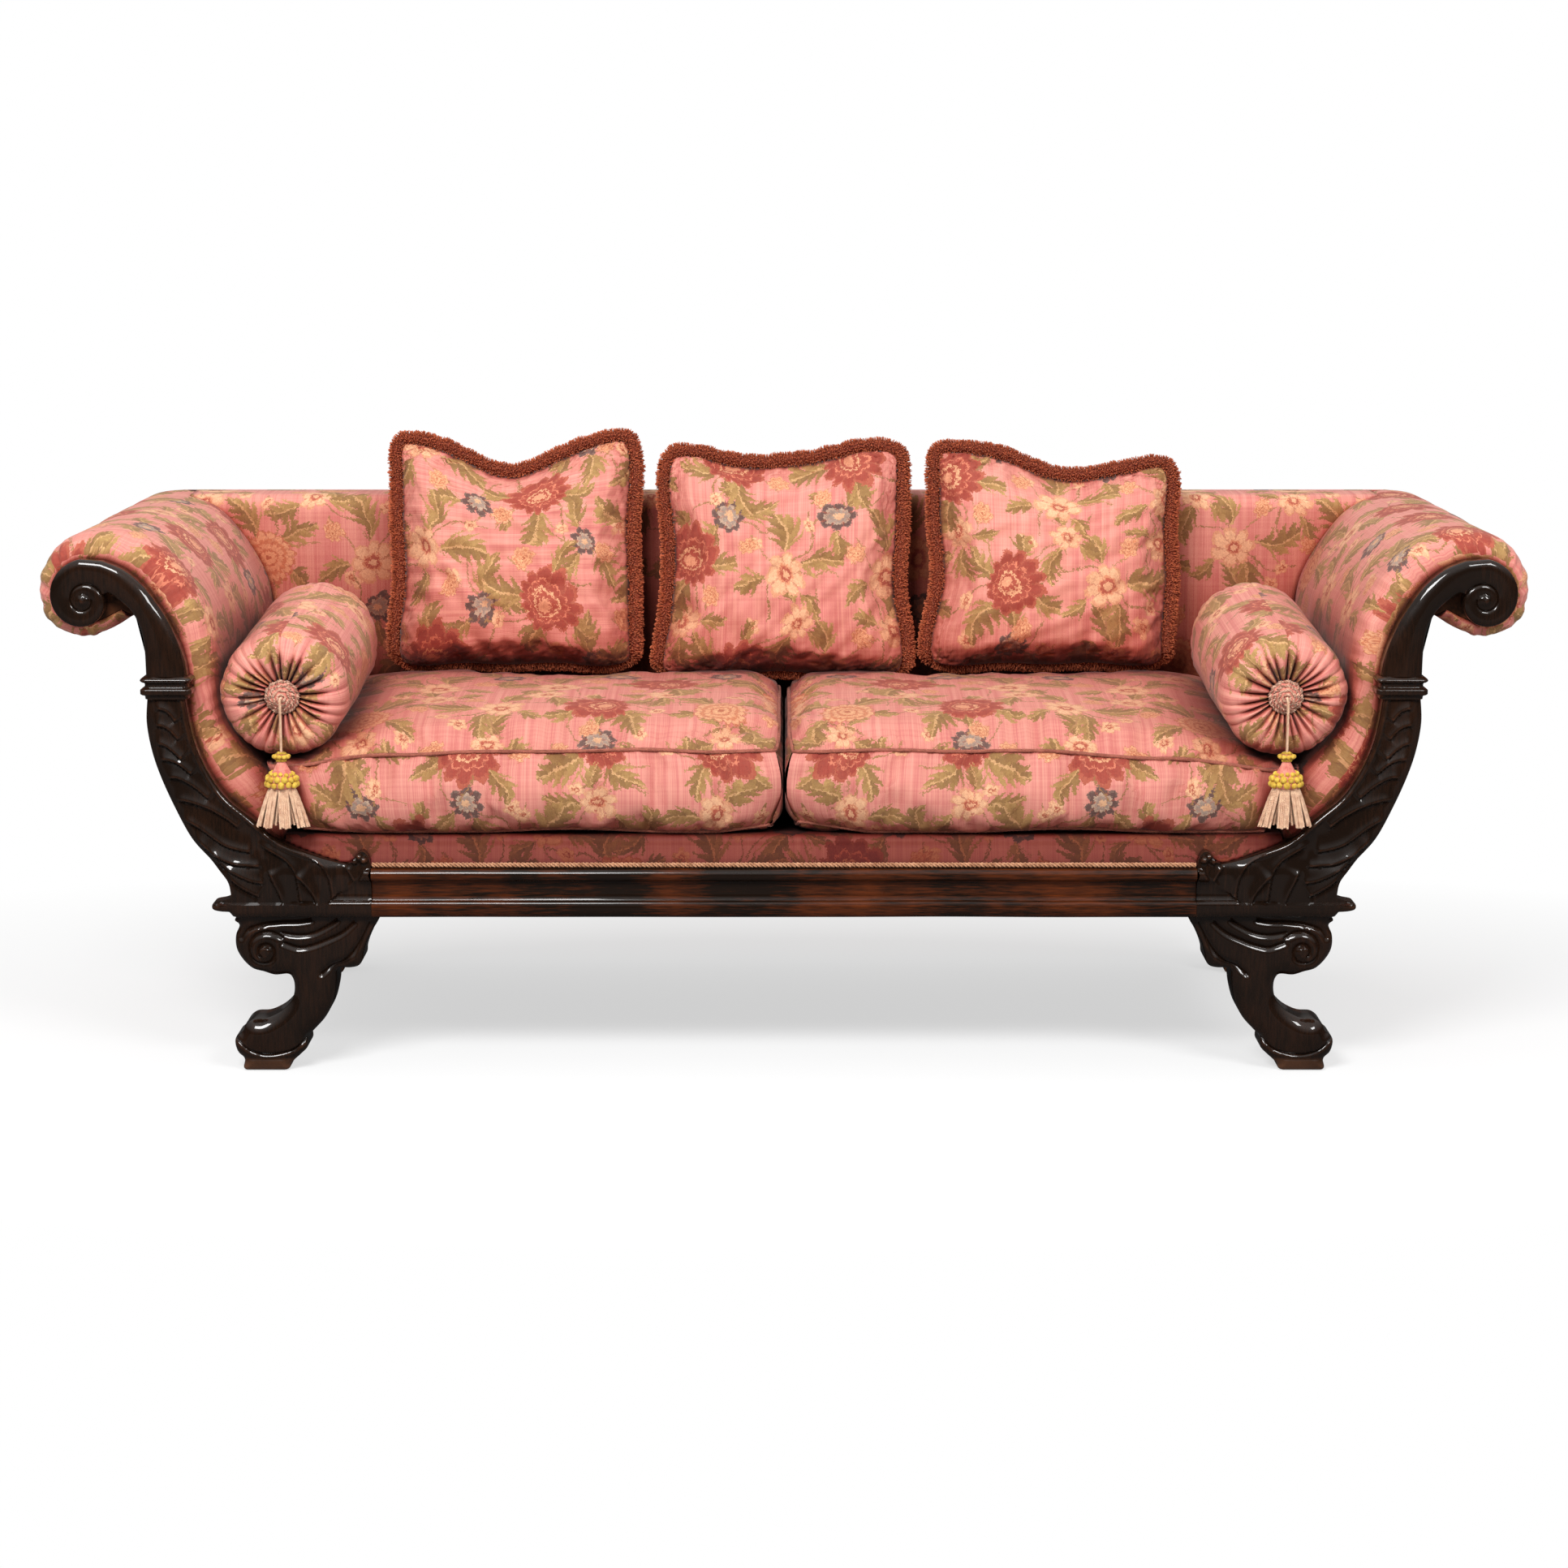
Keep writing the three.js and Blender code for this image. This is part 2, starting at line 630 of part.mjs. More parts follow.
const legVoluteRadius = 34;
const legVoluteRise = 6;
const legEyeRadius = 12;

function leg(y0, faceY, outwardY) {
  const spot = ([acrossShare, heightShare]) =>
    flat(legOuterX - legWidth * (1 - acrossShare), legHeight * heightShare);
  const body = carved(legShares.map(spot), y0, y0 + legThickness, legEdge);
  const centre = spot(legVoluteShare);
  const knob = (radius, rise) => {
    const dome = boss(centre, radius, 0, rise);
    dome.scale(1, -outwardY, 1);
    const facing = outwardY > 0 ? closed(Array.from(dome.attributes.position.array), Array.from(dome.index.array)) : dome;
    return facing.translate(0, faceY, 0);
  };
  return join(body, knob(legVoluteRadius, legVoluteRise), knob(legEyeRadius, 2 * legVoluteRise));
}
const frontLegY = frontY + legSetback;
const rearLegY = rearFrameBackY - legThickness;
addPair("leg_front", leg(frontLegY + 2 * legVoluteRise, frontLegY + 2 * legVoluteRise, -1), showWood);
addPair("leg_rear", leg(rearLegY, rearLegY + legThickness, 1), showWood);

// Under the seat: woven webbing, a lashed set of springs on it, and a dust cover below.
const seatFrameX = sideRailX - fit;
const seatFrameY0 = frontFrameBackY + fit;
const seatFrameY1 = rearFrameY - fit;
const dustCoverThickness = 2;
add(
  "dust_cover",
  block(-seatFrameX, seatFrameX, seatFrameY0, seatFrameY1, railZ, railZ + dustCoverThickness),
  blackCloth,
);

const webThickness = 3;
const webZ = railZ + dustCoverThickness + fit;
const webWidth = 50;
const webColumns = 8;
const webRows = 3;
function webbing() {
  const holeWidth = (2 * seatFrameX - webColumns * webWidth) / (webColumns - 1);
  const holeDepth = (seatFrameY1 - seatFrameY0 - webRows * webWidth) / (webRows - 1);
  const top = webZ + webThickness;
  const holes = [];
  for (let c = 0; c < webColumns - 1; c++) {
    for (let r = 0; r < webRows - 1; r++) {
      const x = -seatFrameX + webWidth + c * (holeWidth + webWidth);
      const y = seatFrameY0 + webWidth + r * (holeDepth + webWidth);
      holes.push(block(x, x + holeWidth, y, y + holeDepth, webZ - cutOverrun, top + cutOverrun));
    }
  }
  return cut(block(-seatFrameX, seatFrameX, seatFrameY0, seatFrameY1, webZ, top), ...holes);
}
add("seat_webbing", webbing(), juteWeb);

// The seat platform, with a stuffed roll over the front rail.
const platformThickness = 30;
const platformRise = 48; // over the rails
const platformTopZ = railTopZ + platformRise;
const platformZ = platformTopZ - platformThickness;
const platformSetback = 17;
const platformFrontY = frontY + platformSetback;
const platformRollRadius = 14;

const springHeight = platformZ - fit - (webZ + webThickness + fit);
const springWireRadius = 2.5;
const springEndRadius = 40;
const springWaist = 0.66; // share of the end radius
const springTurns = 3;
const springStepsPerTurn = 6;
const springSides = 4;
const twineThickness = 6.4;
const springColumns = 5;
const springRows = 2;

function coilSpring() {
  const steps = springTurns * springStepsPerTurn;
  const rise = springHeight - springWireRadius - twineThickness / 2;
  const rings = [];
  for (let i = 0; i <= steps; i++) {
    const share = i / steps;
    const angle = share * springTurns * tau;
    const waist = 1 - (1 - springWaist) * Math.sin(Math.PI * share);
    const r = springEndRadius * waist;
    const z = webZ + webThickness + fit + springWireRadius + rise * share;
    rings.push(
      Array.from({ length: springSides }, (_, k) => {
        const around = (k / springSides) * tau;
        const out = r + springWireRadius * Math.cos(around);
        return new THREE.Vector3(
          out * Math.cos(angle), out * Math.sin(angle), z + springWireRadius * Math.sin(around),
        );
      }),
    );
  }
  return loft(rings);
}

// The springs are lashed together by twine that runs over their top coils.
function springSet() {
  const one = coilSpring();
  const half = twineThickness / 2;
  const crossing = twineThickness / 8; // the cross twines lie this much lower
  const topZ = platformZ - fit;
  const depth = seatFrameY1 - seatFrameY0;
  const places = [];
  for (let c = 0; c < springColumns; c++) {
    for (let r = 0; r < springRows; r++) {
      const x = ((c + 0.5) / springColumns - 0.5) * 2 * seatFrameX;
      places.push([x, seatFrameY0 + ((r + 0.5) / springRows) * depth]);
    }
  }
  const xs = [...new Set(places.map(([x]) => x))];
  const ys = [...new Set(places.map(([, y]) => y))];
  const ropes = [
    ...ys.map((y) =>
      block(xs[0], xs[xs.length - 1] + springEndRadius + half, y - half, y + half, topZ - 2 * half, topZ),
    ),
    ...xs.map((x) =>
      block(x - half, x + half, ys[0], ys[ys.length - 1], topZ - 2 * half - crossing, topZ - crossing),
    ),
  ];
  return join(...places.map(([x, y]) => one.clone().translate(x, y, 0)), ...ropes);
}
add("seat_springs", springSet(), springWire);

// The stuffed back, between the arms: its face leans back and its top rolls over the top rail.
const backPadThickness = 78;
const backPadLean = 18; // how far its face goes back from the seat to the top
const backPadRoll = 26;
const backPadFrontY = rearFrameY - fit - backPadThickness;
const backPadTopFrontY = backPadFrontY + backPadLean;
const backPadZ = railTopZ + fit;

function seatPlatform() {
  const roll = platformRollRadius;
  const rearY = backPadFrontY - fit;
  const outline = [
    [platformFrontY, railTopZ + fit], [platformFrontY, platformTopZ - roll],
    [platformFrontY + roll * (1 - Math.SQRT1_2), platformTopZ - roll * (1 - Math.SQRT1_2)],
    [platformFrontY + roll, platformTopZ], [rearY, platformTopZ], [rearY, platformZ],
    [frontFrameBackY, platformZ], [frontFrameBackY, railTopZ + fit],
  ].map(([y, z]) => flat(y, z));
  const platform = moulding(outline, -armFaceX + fit, armFaceX - fit);
  const stumpRoom = board(inset(stumpShares.map(armPoint), -fit), frontY, carvingBackY + fit);
  return cut(platform, stumpRoom, mirrored(stumpRoom));
}
add("seat_platform", seatPlatform(), floralCloth);

const gimpRadius = 4.5;
const gimpSides = 8;
function railGimp() {
  const centreY = platformFrontY - fit - gimpRadius;
  const centreZ = railTopZ + fit + gimpRadius;
  const outline = Array.from({ length: gimpSides }, (_, k) => {
    const angle = ((k + 0.5) / gimpSides) * tau;
    return flat(centreY + gimpRadius * Math.cos(angle), centreZ + gimpRadius * Math.sin(angle));
  });
  return moulding(outline, -mouldingEndX, mouldingEndX);
}
add("rail_gimp", railGimp(), tasselYarn);

const backPadCurve = 5;
function backPad() {
  const overRailZ = topRailTopZ + fit;
  const roll = backPadRoll;
  const arc = [];
  for (let i = 0; i <= backPadCurve; i++) {
    const angle = (i / backPadCurve) * quarterTurn;
    arc.push([
      backPadTopFrontY + roll * (1 - Math.cos(angle)), backTopZ - roll * (1 - Math.sin(angle)),
    ]);
  }
  const side = [
    [backPadFrontY, backPadZ], [backPadFrontY, platformTopZ], ...arc,
    [rearFrameBackY, backTopZ], [rearFrameBackY, overRailZ], [rearFrameY - fit, overRailZ],
    [rearFrameY - fit, backPadZ],
  ].map(([y, z]) => flat(y, z));
  const armTopIndex = armPadOutside.reduce((best, p, i) => (p.y > armPadOutside[best].y ? i : best), 0);
  const flank = shifted(armPadOutside.slice(0, armTopIndex), fit, false);
  const front = [
    flat(flank[0].x, backPadZ - cutOverrun), ...flank, flat(flank[flank.length - 1].x, backTopZ + cutOverrun),
  ];
  const face = [...front, ...[...front].reverse().map((p) => flat(-p.x, p.y))];
  const across = solid(moulding(side, -front[front.length - 1].x, front[front.length - 1].x));
  const upright = solid(board(face, backPadFrontY - cutOverrun, rearFrameBackY + cutOverrun));
  return geometryOf(across.intersect(upright));
}
add("back_pad", backPad(), floralCloth);

// The outside back: one stretched panel behind the arms and the back.
function outsideBack() {
  const top = armPadOutside.reduce((best, p, i) => (p.y > armPadOutside[best].y ? i : best), 0);
  const roll = armPadOutside.slice(top);
  const down = shifted(armCoverLine, fit + coverThickness, false).filter((p) => p.y > railTopZ);
  const half = [...roll, ...down, flat(railOuterX, railTopZ), flat(railOuterX, railZ)];
  const outline = [...half, ...[...half].reverse().map((p) => flat(-p.x, p.y))];
  return board(outline, backY - backCoverDepth, backY);
}
add("outside_back", outsideBack(), floralCloth);

// Loose seat cushions.
const cushionGap = 3;
const cushionSideHeight = 132;
const cushionCrown = 44;
const cushionSetback = 8;
const cushionFrontY = platformFrontY + cushionSetback;
const cushionRearGap = 6;
const cushionBulge = 7;
const cushionDraw = 6;
const cushionCorner = 20;
const cushionUnderEdge = 14;
const cushionZ = platformTopZ + fit;
const cushionX0 = cushionGap / 2;
const cushionX1 = armFaceX - cushionGap; // at its foot: higher up its end leans out along the arm
const cushionY1 = backPadFrontY - cushionRearGap;
const cushionColumns = 10;
const cushionRows = 8;
const bolsterHollow = 20; // how far a bolster presses the cushion's outer edge down
const bolsterHollowStartShare = 0.55; // share of the cushion's half width
const cushionLeanMost = 28; // how far its outer end follows the slope of the arm

const cushionHalfWidth = (cushionX1 - cushionX0) / 2;
const cushionHalfDepth = (cushionY1 - cushionFrontY) / 2;
const cushionMidX = (cushionX0 + cushionX1) / 2;
const cushionMidY = (cushionFrontY + cushionY1) / 2;

function cushionCrownAt(u, v) {
  const hollow = THREE.MathUtils.smoothstep(u, bolsterHollowStartShare, 1) * bolsterHollow;
  return cushionCrown * (1 - u ** 4) * (1 - v ** 4) - hollow;
}

function cushionLean(u, z) {
  const slope = acrossAt(armPadOutside, z) - armFaceX;
  return Math.max(u, 0) ** 3 * Math.min(slope, cushionLeanMost);
}

// The share of the cushion's half width that lies at x on its top.
function cushionShareAt(x) {
  const shares = Array.from({ length: 201 }, (_, i) => i / 100 - 1);
  const placeOf = (u) => cushionMidX + u * cushionHalfWidth + cushionLean(u, cushionZ + cushionSideHeight);
  return shares.find((u) => placeOf(u) >= x) ?? 1;
}

function cushionTopAt(x, y) {
  const u = cushionShareAt(Math.abs(x));
  const v = THREE.MathUtils.clamp((y - cushionMidY) / cushionHalfDepth, -1, 1);
  return cushionZ + cushionSideHeight + cushionCrownAt(u, v);
}

function seatCushion() {
  return moulded(cushionColumns, cushionRows, 2, (u, v, w) => {
    const edge = Math.max(Math.abs(u), Math.abs(v)) === 1 ? 1 : 0;
    const corner = cushionCorner * Math.abs(u * v) ** 8;
    const swell = edge * (w === 0 ? 0 : cushionBulge);
    const under = w < 0 ? cushionUnderEdge * edge : 0;
    const drawX = edge * cushionDraw * (1 - v * v);
    const drawY = edge * cushionDraw * (1 - u * u);
    const x = u * (cushionHalfWidth - corner - swell - under - drawX);
    const y = v * (cushionHalfDepth - corner - swell - under - drawY);
    const sideZ = cushionZ + ((w + 1) / 2) * cushionSideHeight;
    const z = sideZ + (w > 0 ? cushionCrownAt(u, v) : 0);
    return new THREE.Vector3(cushionMidX + x + cushionLean(u, sideZ), cushionMidY + y, z);
  });
}
addPair("seat_cushion", seatCushion(), floralCloth);

// Points spread along every edge of a piece.
const edgeSamples = 6;
function edgePointsOf(geometry) {
  const corners = pointsOf(geometry);
  const index = Array.from(geometry.index.array);
  return index.flatMap((a, i) => {
    const b = index[i % 3 === 2 ? i - 2 : i + 1];
    if (a > b) return [];
    return Array.from({ length: edgeSamples }, (_, k) => corners[a].clone().lerp(corners[b], k / edgeSamples));
  });
}

// Moves a loose piece straight up or down until it lies on the seat cushions.
const layingGap = 0.6;
function layOnCushions(parts) {
  const lift = Math.max(
    ...parts.flatMap((part) => edgePointsOf(part).map((p) => cushionTopAt(p.x, p.y) - p.z)),
  );
  parts.forEach((part) => part.translate(0, 0, lift + layingGap));
}

// Bolsters: gathered at both ends around a button, and leaning on the arm.
const bolsterLength = 440;
const bolsterRadius = 97;
const bolsterRise = 4; // degrees, up towards its rear end
const bolsterPleats = 12;
const bolsterPleatDepth = 5;
const bolsterShoulder = 16;
const bolsterDimple = 10;
const bolsterDimpleRadius = 26;
const bolsterSetback = 24;
const bolsterFrontY = frontY + bolsterSetback;
const bolsterSwell = 3; // how much fuller its middle is
const bolsterGatherShares = [0.62, 0.2]; // a ring of its gathered end: of its radius, and of the dimple
const rosetteRadius = 21;
const rosetteThickness = 15;
const rosetteSegments = 12;
const rosetteProfileShares = [
  [0, 0], [0.8, 0], [1, 0.35], [0.9, 0.7], [0.5, 0.95], [0.3, 0.9], [0.2, 1], [0, 1],
]; // share of its radius, and of its thickness

function bolsterBody() {
  const half = bolsterLength / 2;
  const end = [
    [0, bolsterDimple], [bolsterDimpleRadius, bolsterDimple],
    [bolsterGatherShares[0] * bolsterRadius, bolsterGatherShares[1] * bolsterDimple],
    [bolsterRadius - bolsterShoulder, 0], [bolsterRadius - bolsterShoulder / 3, bolsterShoulder / 3],
    [bolsterRadius, bolsterShoulder],
  ];
  const profile = [
    ...end.map(([r, depth]) => flat(r, depth - half)),
    flat(bolsterRadius + bolsterSwell, 0),
    ...[...end].reverse().map(([r, depth]) => flat(r, half - depth)),
  ];
  const body = turned(profile, 2 * bolsterPleats);
  const position = body.attributes.position;
  for (let i = 0; i < position.count; i++) {
    const [x, y, z] = [position.getX(i), position.getY(i), position.getZ(i)];
    const r = Math.hypot(x, y);
    const gathered = r > bolsterDimpleRadius / 2 && r < bolsterRadius - bolsterShoulder / 2;
    if (!gathered) continue;
    const wave = Math.cos(bolsterPleats * Math.atan2(y, x));
    position.setZ(i, z - (Math.sign(z) * bolsterPleatDepth * (1 - wave)) / 2);
  }
  return body;
}

// A covered button, its flat back at z = 0 and its face at +z.
function rosette() {
  const profile = rosetteProfileShares.map(([radiusShare, heightShare]) =>
    flat(radiusShare * rosetteRadius, heightShare * rosetteThickness),
  );
  return turned(profile, rosetteSegments);
}

function bolsterSet() {
  const half = bolsterLength / 2;
  const body = bolsterBody();
  const seat = half - bolsterDimple + fit;
  const rear = rosette().translate(0, 0, seat);
  const front = rosette().rotateY(Math.PI).translate(0, 0, -seat);
  const parts = [body, front, rear];
  parts.forEach((part) => {
    part.rotateX(-quarterTurn + THREE.MathUtils.degToRad(bolsterRise));
    part.translate(armFaceX, bolsterFrontY + half, platformTopZ);
  });
  for (let pass = 0; pass < 6; pass++) {
    layOnCushions(parts);
    const room = Math.min(
      ...pointsOf(body).map((p) => acrossAt(armPadOutside, Math.max(p.z, railTopZ + fit)) - p.x),
    );
    parts.forEach((part) => part.translate(room - fit / 2, 0, 0));
  }
  layOnCushions(parts);
  return parts;
}
const [bolster, frontRosette, rearRosette] = bolsterSet();
addPair("bolster", bolster, floralCloth);
addPair("rosette_front", frontRosette, tasselYarn);
addPair("rosette_rear", rearRosette, tasselYarn);

// Tassels: a short cord from the front rosette, a gold and pink head, and a skirt of yarn.
const tasselCordDiameter = 5;
const tasselCordDrop = 78;
const tasselCordSides = 8;
const tasselSkirtFlatness = 0.62;
const tasselHeadFlatness = 0.82;
const tasselSegments = 12;
const tasselHeadHeight = 50;
const tasselHeadRadius = 19;
const tasselSkirtHeight = 60;
const tasselSkirtRadius = 36;
const tasselCordTurn = 9; // radius of the bend where the cord turns down

const rosetteBox = new THREE.Box3().setFromPoints(pointsOf(frontRosette));
const rosetteCentre = rosetteBox.getCenter(new THREE.Vector3());
const cordExit = new THREE.Vector3(rosetteCentre.x, rosetteBox.min.y - fit, rosetteCentre.z);

// The cord's fixed end is rounded, so that it can swing: places along it and widths there, as shares
// of the cord's radius.
const tasselNoseShares = [[0, 0.25], [0.35, 0.75], [1, 1]];
const tasselBendSteps = 5;
const tasselDropSteps = 8;
function tasselCordPoints() {
  const bend = tasselCordTurn;
  const straight = tasselCordDiameter;
  const nose = tasselNoseShares.map(([alongShare]) => (alongShare * tasselCordDiameter) / 2);
  const points = [...nose, straight].map((y) => cordExit.clone().add(new THREE.Vector3(0, -y, 0)));
  for (let i = 1; i <= tasselBendSteps; i++) {
    const angle = (i / tasselBendSteps) * quarterTurn;
    points.push(
      cordExit.clone().add(
        new THREE.Vector3(0, -straight - bend * Math.sin(angle), -bend * (1 - Math.cos(angle))),
      ),
    );
  }
  for (let i = 1; i <= tasselDropSteps; i++) {
    const drop = bend + ((tasselCordDrop - bend) * i) / tasselDropSteps;
    points.push(cordExit.clone().add(new THREE.Vector3(0, -straight - bend, -drop)));
  }
  return points;
}

function tasselCord() {
  const points = tasselCordPoints();
  const rings = points.map((p, i) => {
    const r = ((tasselNoseShares[i]?.[1] ?? 1) * tasselCordDiameter) / 2;
    const before = points[Math.max(i - 1, 0)];
    const after = points[Math.min(i + 1, points.length - 1)];
    const along = after.clone().sub(before).normalize();
    const side = new THREE.Vector3(1, 0, 0);
    const up = new THREE.Vector3().crossVectors(side, along);
    return Array.from({ length: tasselCordSides }, (_, k) => {
      const angle = (k / tasselCordSides) * tau;
      return p.clone().addScaledVector(side, r * Math.cos(angle)).addScaledVector(up, r * Math.sin(angle));
    });
  });
  return loft(rings);
}
const cordEnd = tasselCordPoints().pop();

function tasselHead() {
  const [r, h] = [tasselHeadRadius, tasselHeadHeight];
  const profile = [
    [0, 0], [0.3, 0], [0.5, -0.06], [0.56, -0.16], [0.4, -0.26], [0.34, -0.34], [0.46, -0.52],
    [0.62, -0.62], [0.94, -0.7], [1, -0.84], [0.9, -0.97], [0.5, -1], [0, -1],
  ].map(([radiusShare, heightShare]) => flat(radiusShare * r, heightShare * h));
  const head = turned(profile.reverse(), tasselSegments);
  return head.scale(1, tasselHeadFlatness, 1).translate(cordEnd.x, cordEnd.y, cordEnd.z - fit);
}

function tasselSkirt() {
  const [r, h] = [tasselSkirtRadius, tasselSkirtHeight];
  const profile = [
    [0, 0], [0.5, 0], [0.62, -0.1], [0.8, -0.5], [0.95, -0.85], [1, -1], [0, -0.97],
  ].map(([radiusShare, heightShare]) => flat(radiusShare * r, heightShare * h));
  const skirt = turned(profile.reverse(), tasselSegments);
  const top = cordEnd.z - 2 * fit - tasselHeadHeight;
  return skirt.scale(1, tasselSkirtFlatness, 1).translate(cordEnd.x, cordEnd.y, top);
}
addPair("tassel_cord", tasselCord(), tasselYarn);
addPair("tassel_head", tasselHead(), goldYarn);
addPair("tassel_skirt", tasselSkirt(), tasselYarn);

// Pillows: knife-edged squares with a cut-pile fringe, leaning on the back.
const pillowWidth = 388;
const pillowThickness = 128;
const pillowSeam = 9;
const pillowPinch = 0.035; // share of the half width that the middle of a side draws in
const pillowLean = 8; // degrees
const pillowGap = 9;
const fringeWidth = 28;
const fringeThickness = 15;
const fringeTipShare = 0.6; // of its thickness
const pillowCells = 8; // along each side, of the pillow and of its fringe

// How each pillow slumps: its height, the dent in its top edge, and how far its right top corner
// sinks, as shares of the full pillow's height.
const pillowHeight = 378;
const pillows = [
  { name: "pillow_left", place: -1, heightShare: 1, dentShare: 0.2, dentAt: 0.02, sinkShare: 0 },
  { name: "pillow_centre", place: 0, heightShare: 0.968, dentShare: 0.042, dentAt: -0.2, sinkShare: 0.005 },
  { name: "pillow_right", place: 1, heightShare: 0.974, dentShare: 0.058, dentAt: 0.15, sinkShare: 0.085 },
];
const pillowDentWidthShare = 0.6; // of half the pillow's width

// A point of the pillow's middle plane, for u and v from -1 to 1.
function pillowSpot(pillow, u, v) {
  const x = (pillowWidth / 2) * u * (1 - pillowPinch * (1 - v * v));
  const upper = Math.max(0, (v + 0.2) / 1.2) ** 2;
  const dentShare = pillow.dentShare * Math.exp(-(((u - pillow.dentAt) / pillowDentWidthShare) ** 2));
  const slumpShare = (dentShare + pillow.sinkShare * ((u + 1) / 2)) * upper;
  const z = pillowHeight * (pillow.heightShare * (v / 2) * (1 - pillowPinch * (1 - u * u)) - slumpShare);
  return flat(x, z);
}

function pillowBody(pillow) {
  return moulded(pillowCells, 1, pillowCells, (u, w, v) => {
    const spot = pillowSpot(pillow, u, v);
    const swell = ((1 - u * u) * (1 - v * v)) ** 0.45;
    const half = pillowSeam / 2 + (pillowThickness / 2 - pillowSeam / 2) * swell;
    return new THREE.Vector3(spot.x, w * half, spot.y);
  });
}

function fringe(pillow) {
  const steps = pillowCells;
  const line = [];
  const corners = [[-1, -1], [1, -1], [1, 1], [-1, 1]];
  corners.forEach(([u0, v0], k) => {
    const [u1, v1] = corners[(k + 1) % corners.length];
    for (let i = 0; i < steps; i++) {
      const share = i / steps;
      line.push(pillowSpot(pillow, u0 + (u1 - u0) * share, v0 + (v1 - v0) * share));
    }
  });
  const seat = shifted(line, -2 * fit, true);
  const rim = shifted(line, -fringeWidth, true);
  const rings = seat.map((inner, i) => {
    const outer = rim[i];
    const middle = inner.clone().lerp(outer, 0.5);
    const [thin, thick] = [pillowSeam / 2, fringeThickness / 2];
    return [
      new THREE.Vector3(inner.x, -thin, inner.y), new THREE.Vector3(middle.x, -thick, middle.y),
      new THREE.Vector3(outer.x, -thick * fringeTipShare, outer.y),
      new THREE.Vector3(outer.x, thick * fringeTipShare, outer.y),
      new THREE.Vector3(middle.x, thick, middle.y), new THREE.Vector3(inner.x, thin, inner.y),
    ];
  });
  return loft(rings, true);
}

// The back's face, where it stands at a height.
function backFaceAt(z) {
  const share = THREE.MathUtils.clamp(
    (z - platformTopZ) / (backTopZ - backPadRoll - platformTopZ), 0, 1,
  );
  return backPadFrontY + share * backPadLean;
}

pillows.forEach((pillow) => {
  const parts = [pillowBody(pillow), fringe(pillow)];
  const outerWidth = pillowWidth + 2 * fringeWidth;
  parts.forEach((part) => {
    part.rotateX(-THREE.MathUtils.degToRad(pillowLean));
    part.translate(pillow.place * (outerWidth + pillowGap), 0, platformTopZ + pillowHeight);
  });
  for (let pass = 0; pass < 4; pass++) {
    const room = Math.min(
      ...parts.flatMap((part) =>
        pointsOf(part).filter((p) => p.z < backTopZ).map((p) => backFaceAt(p.z) - p.y),
      ),
    );
    parts.forEach((part) => part.translate(0, room - fit, 0));
    layOnCushions(parts);
  }
  add(pillow.name, parts[0], floralCloth);
  add(`${pillow.name}_fringe`, parts[1], fringeYarn);
});

export default sofa;
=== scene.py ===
import math

import bmesh
import bpy
import numpy as np
from bpy.props import FloatProperty, FloatVectorProperty, IntProperty, PointerProperty
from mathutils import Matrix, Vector
from mathutils.geometry import delaunay_2d_cdt
from mathutils.kdtree import KDTree


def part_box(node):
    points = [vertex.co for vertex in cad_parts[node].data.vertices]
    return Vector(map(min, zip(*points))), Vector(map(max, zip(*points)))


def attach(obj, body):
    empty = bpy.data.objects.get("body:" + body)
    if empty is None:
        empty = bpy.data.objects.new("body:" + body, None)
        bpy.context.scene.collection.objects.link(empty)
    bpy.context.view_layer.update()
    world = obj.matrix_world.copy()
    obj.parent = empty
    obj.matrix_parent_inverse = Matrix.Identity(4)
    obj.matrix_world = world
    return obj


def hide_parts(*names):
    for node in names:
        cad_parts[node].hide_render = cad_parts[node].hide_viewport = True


bl_info = {
    "name": "Scroll-Arm Sofa",
    "version": (1, 0, 0),
    "blender": (4, 5, 0),
    "location": "View3D > Sidebar > Sofa",
    "description": (
        "Covers, stuffing, carving and trimmings of a scroll-arm sofa, fitted to its frame"),
    "category": "Object",
}

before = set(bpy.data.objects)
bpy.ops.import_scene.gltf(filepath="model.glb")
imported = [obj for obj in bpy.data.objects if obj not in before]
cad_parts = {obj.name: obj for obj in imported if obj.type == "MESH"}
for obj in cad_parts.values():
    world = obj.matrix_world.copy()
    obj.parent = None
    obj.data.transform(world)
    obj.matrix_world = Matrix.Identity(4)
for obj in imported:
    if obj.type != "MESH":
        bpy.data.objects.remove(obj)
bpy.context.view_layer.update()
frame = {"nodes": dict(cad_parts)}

MM = 0.001
TAU = 2 * math.pi
TINY = 1e-12
WELD = 0.02 * MM
SIDES = (("right", 1), ("left", -1))

# The frame's own sizes, in metres. Shares are of the arm's reach and rise, or of the rail's height
# where the second one is negative.
ARM_FACE_X = 0.775
ARM_REACH = 0.374
ARM_RISE = 0.518
RAIL_TOP = 0.327
RAIL_HEIGHT = 0.078
LEG_HEIGHT = 0.249
FRONT_Y = -0.36
BACK_Y = 0.36
CARVING_BACK_Y = -0.32
CARVING_DEPTH = CARVING_BACK_Y - FRONT_Y
FIT = 0.0004
PAD_FRONT_Y = CARVING_BACK_Y + FIT
PAD_BACK_Y = BACK_Y - 0.012 - FIT
PLATFORM_TOP = RAIL_TOP + 0.048
PLATFORM_FRONT_Y = FRONT_Y + 0.017
PLATFORM_FOOT_Y = -0.2912
BACK_TOP = RAIL_TOP + ARM_RISE
BACK_FACE_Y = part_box("back_pad")[0].y
BACK_LEAN = 0.018
SCROLL_EYE = (0.789, 0.805)
SPIRAL_START = 0.1711 * ARM_REACH
SPIRAL_DECAY = 0.15

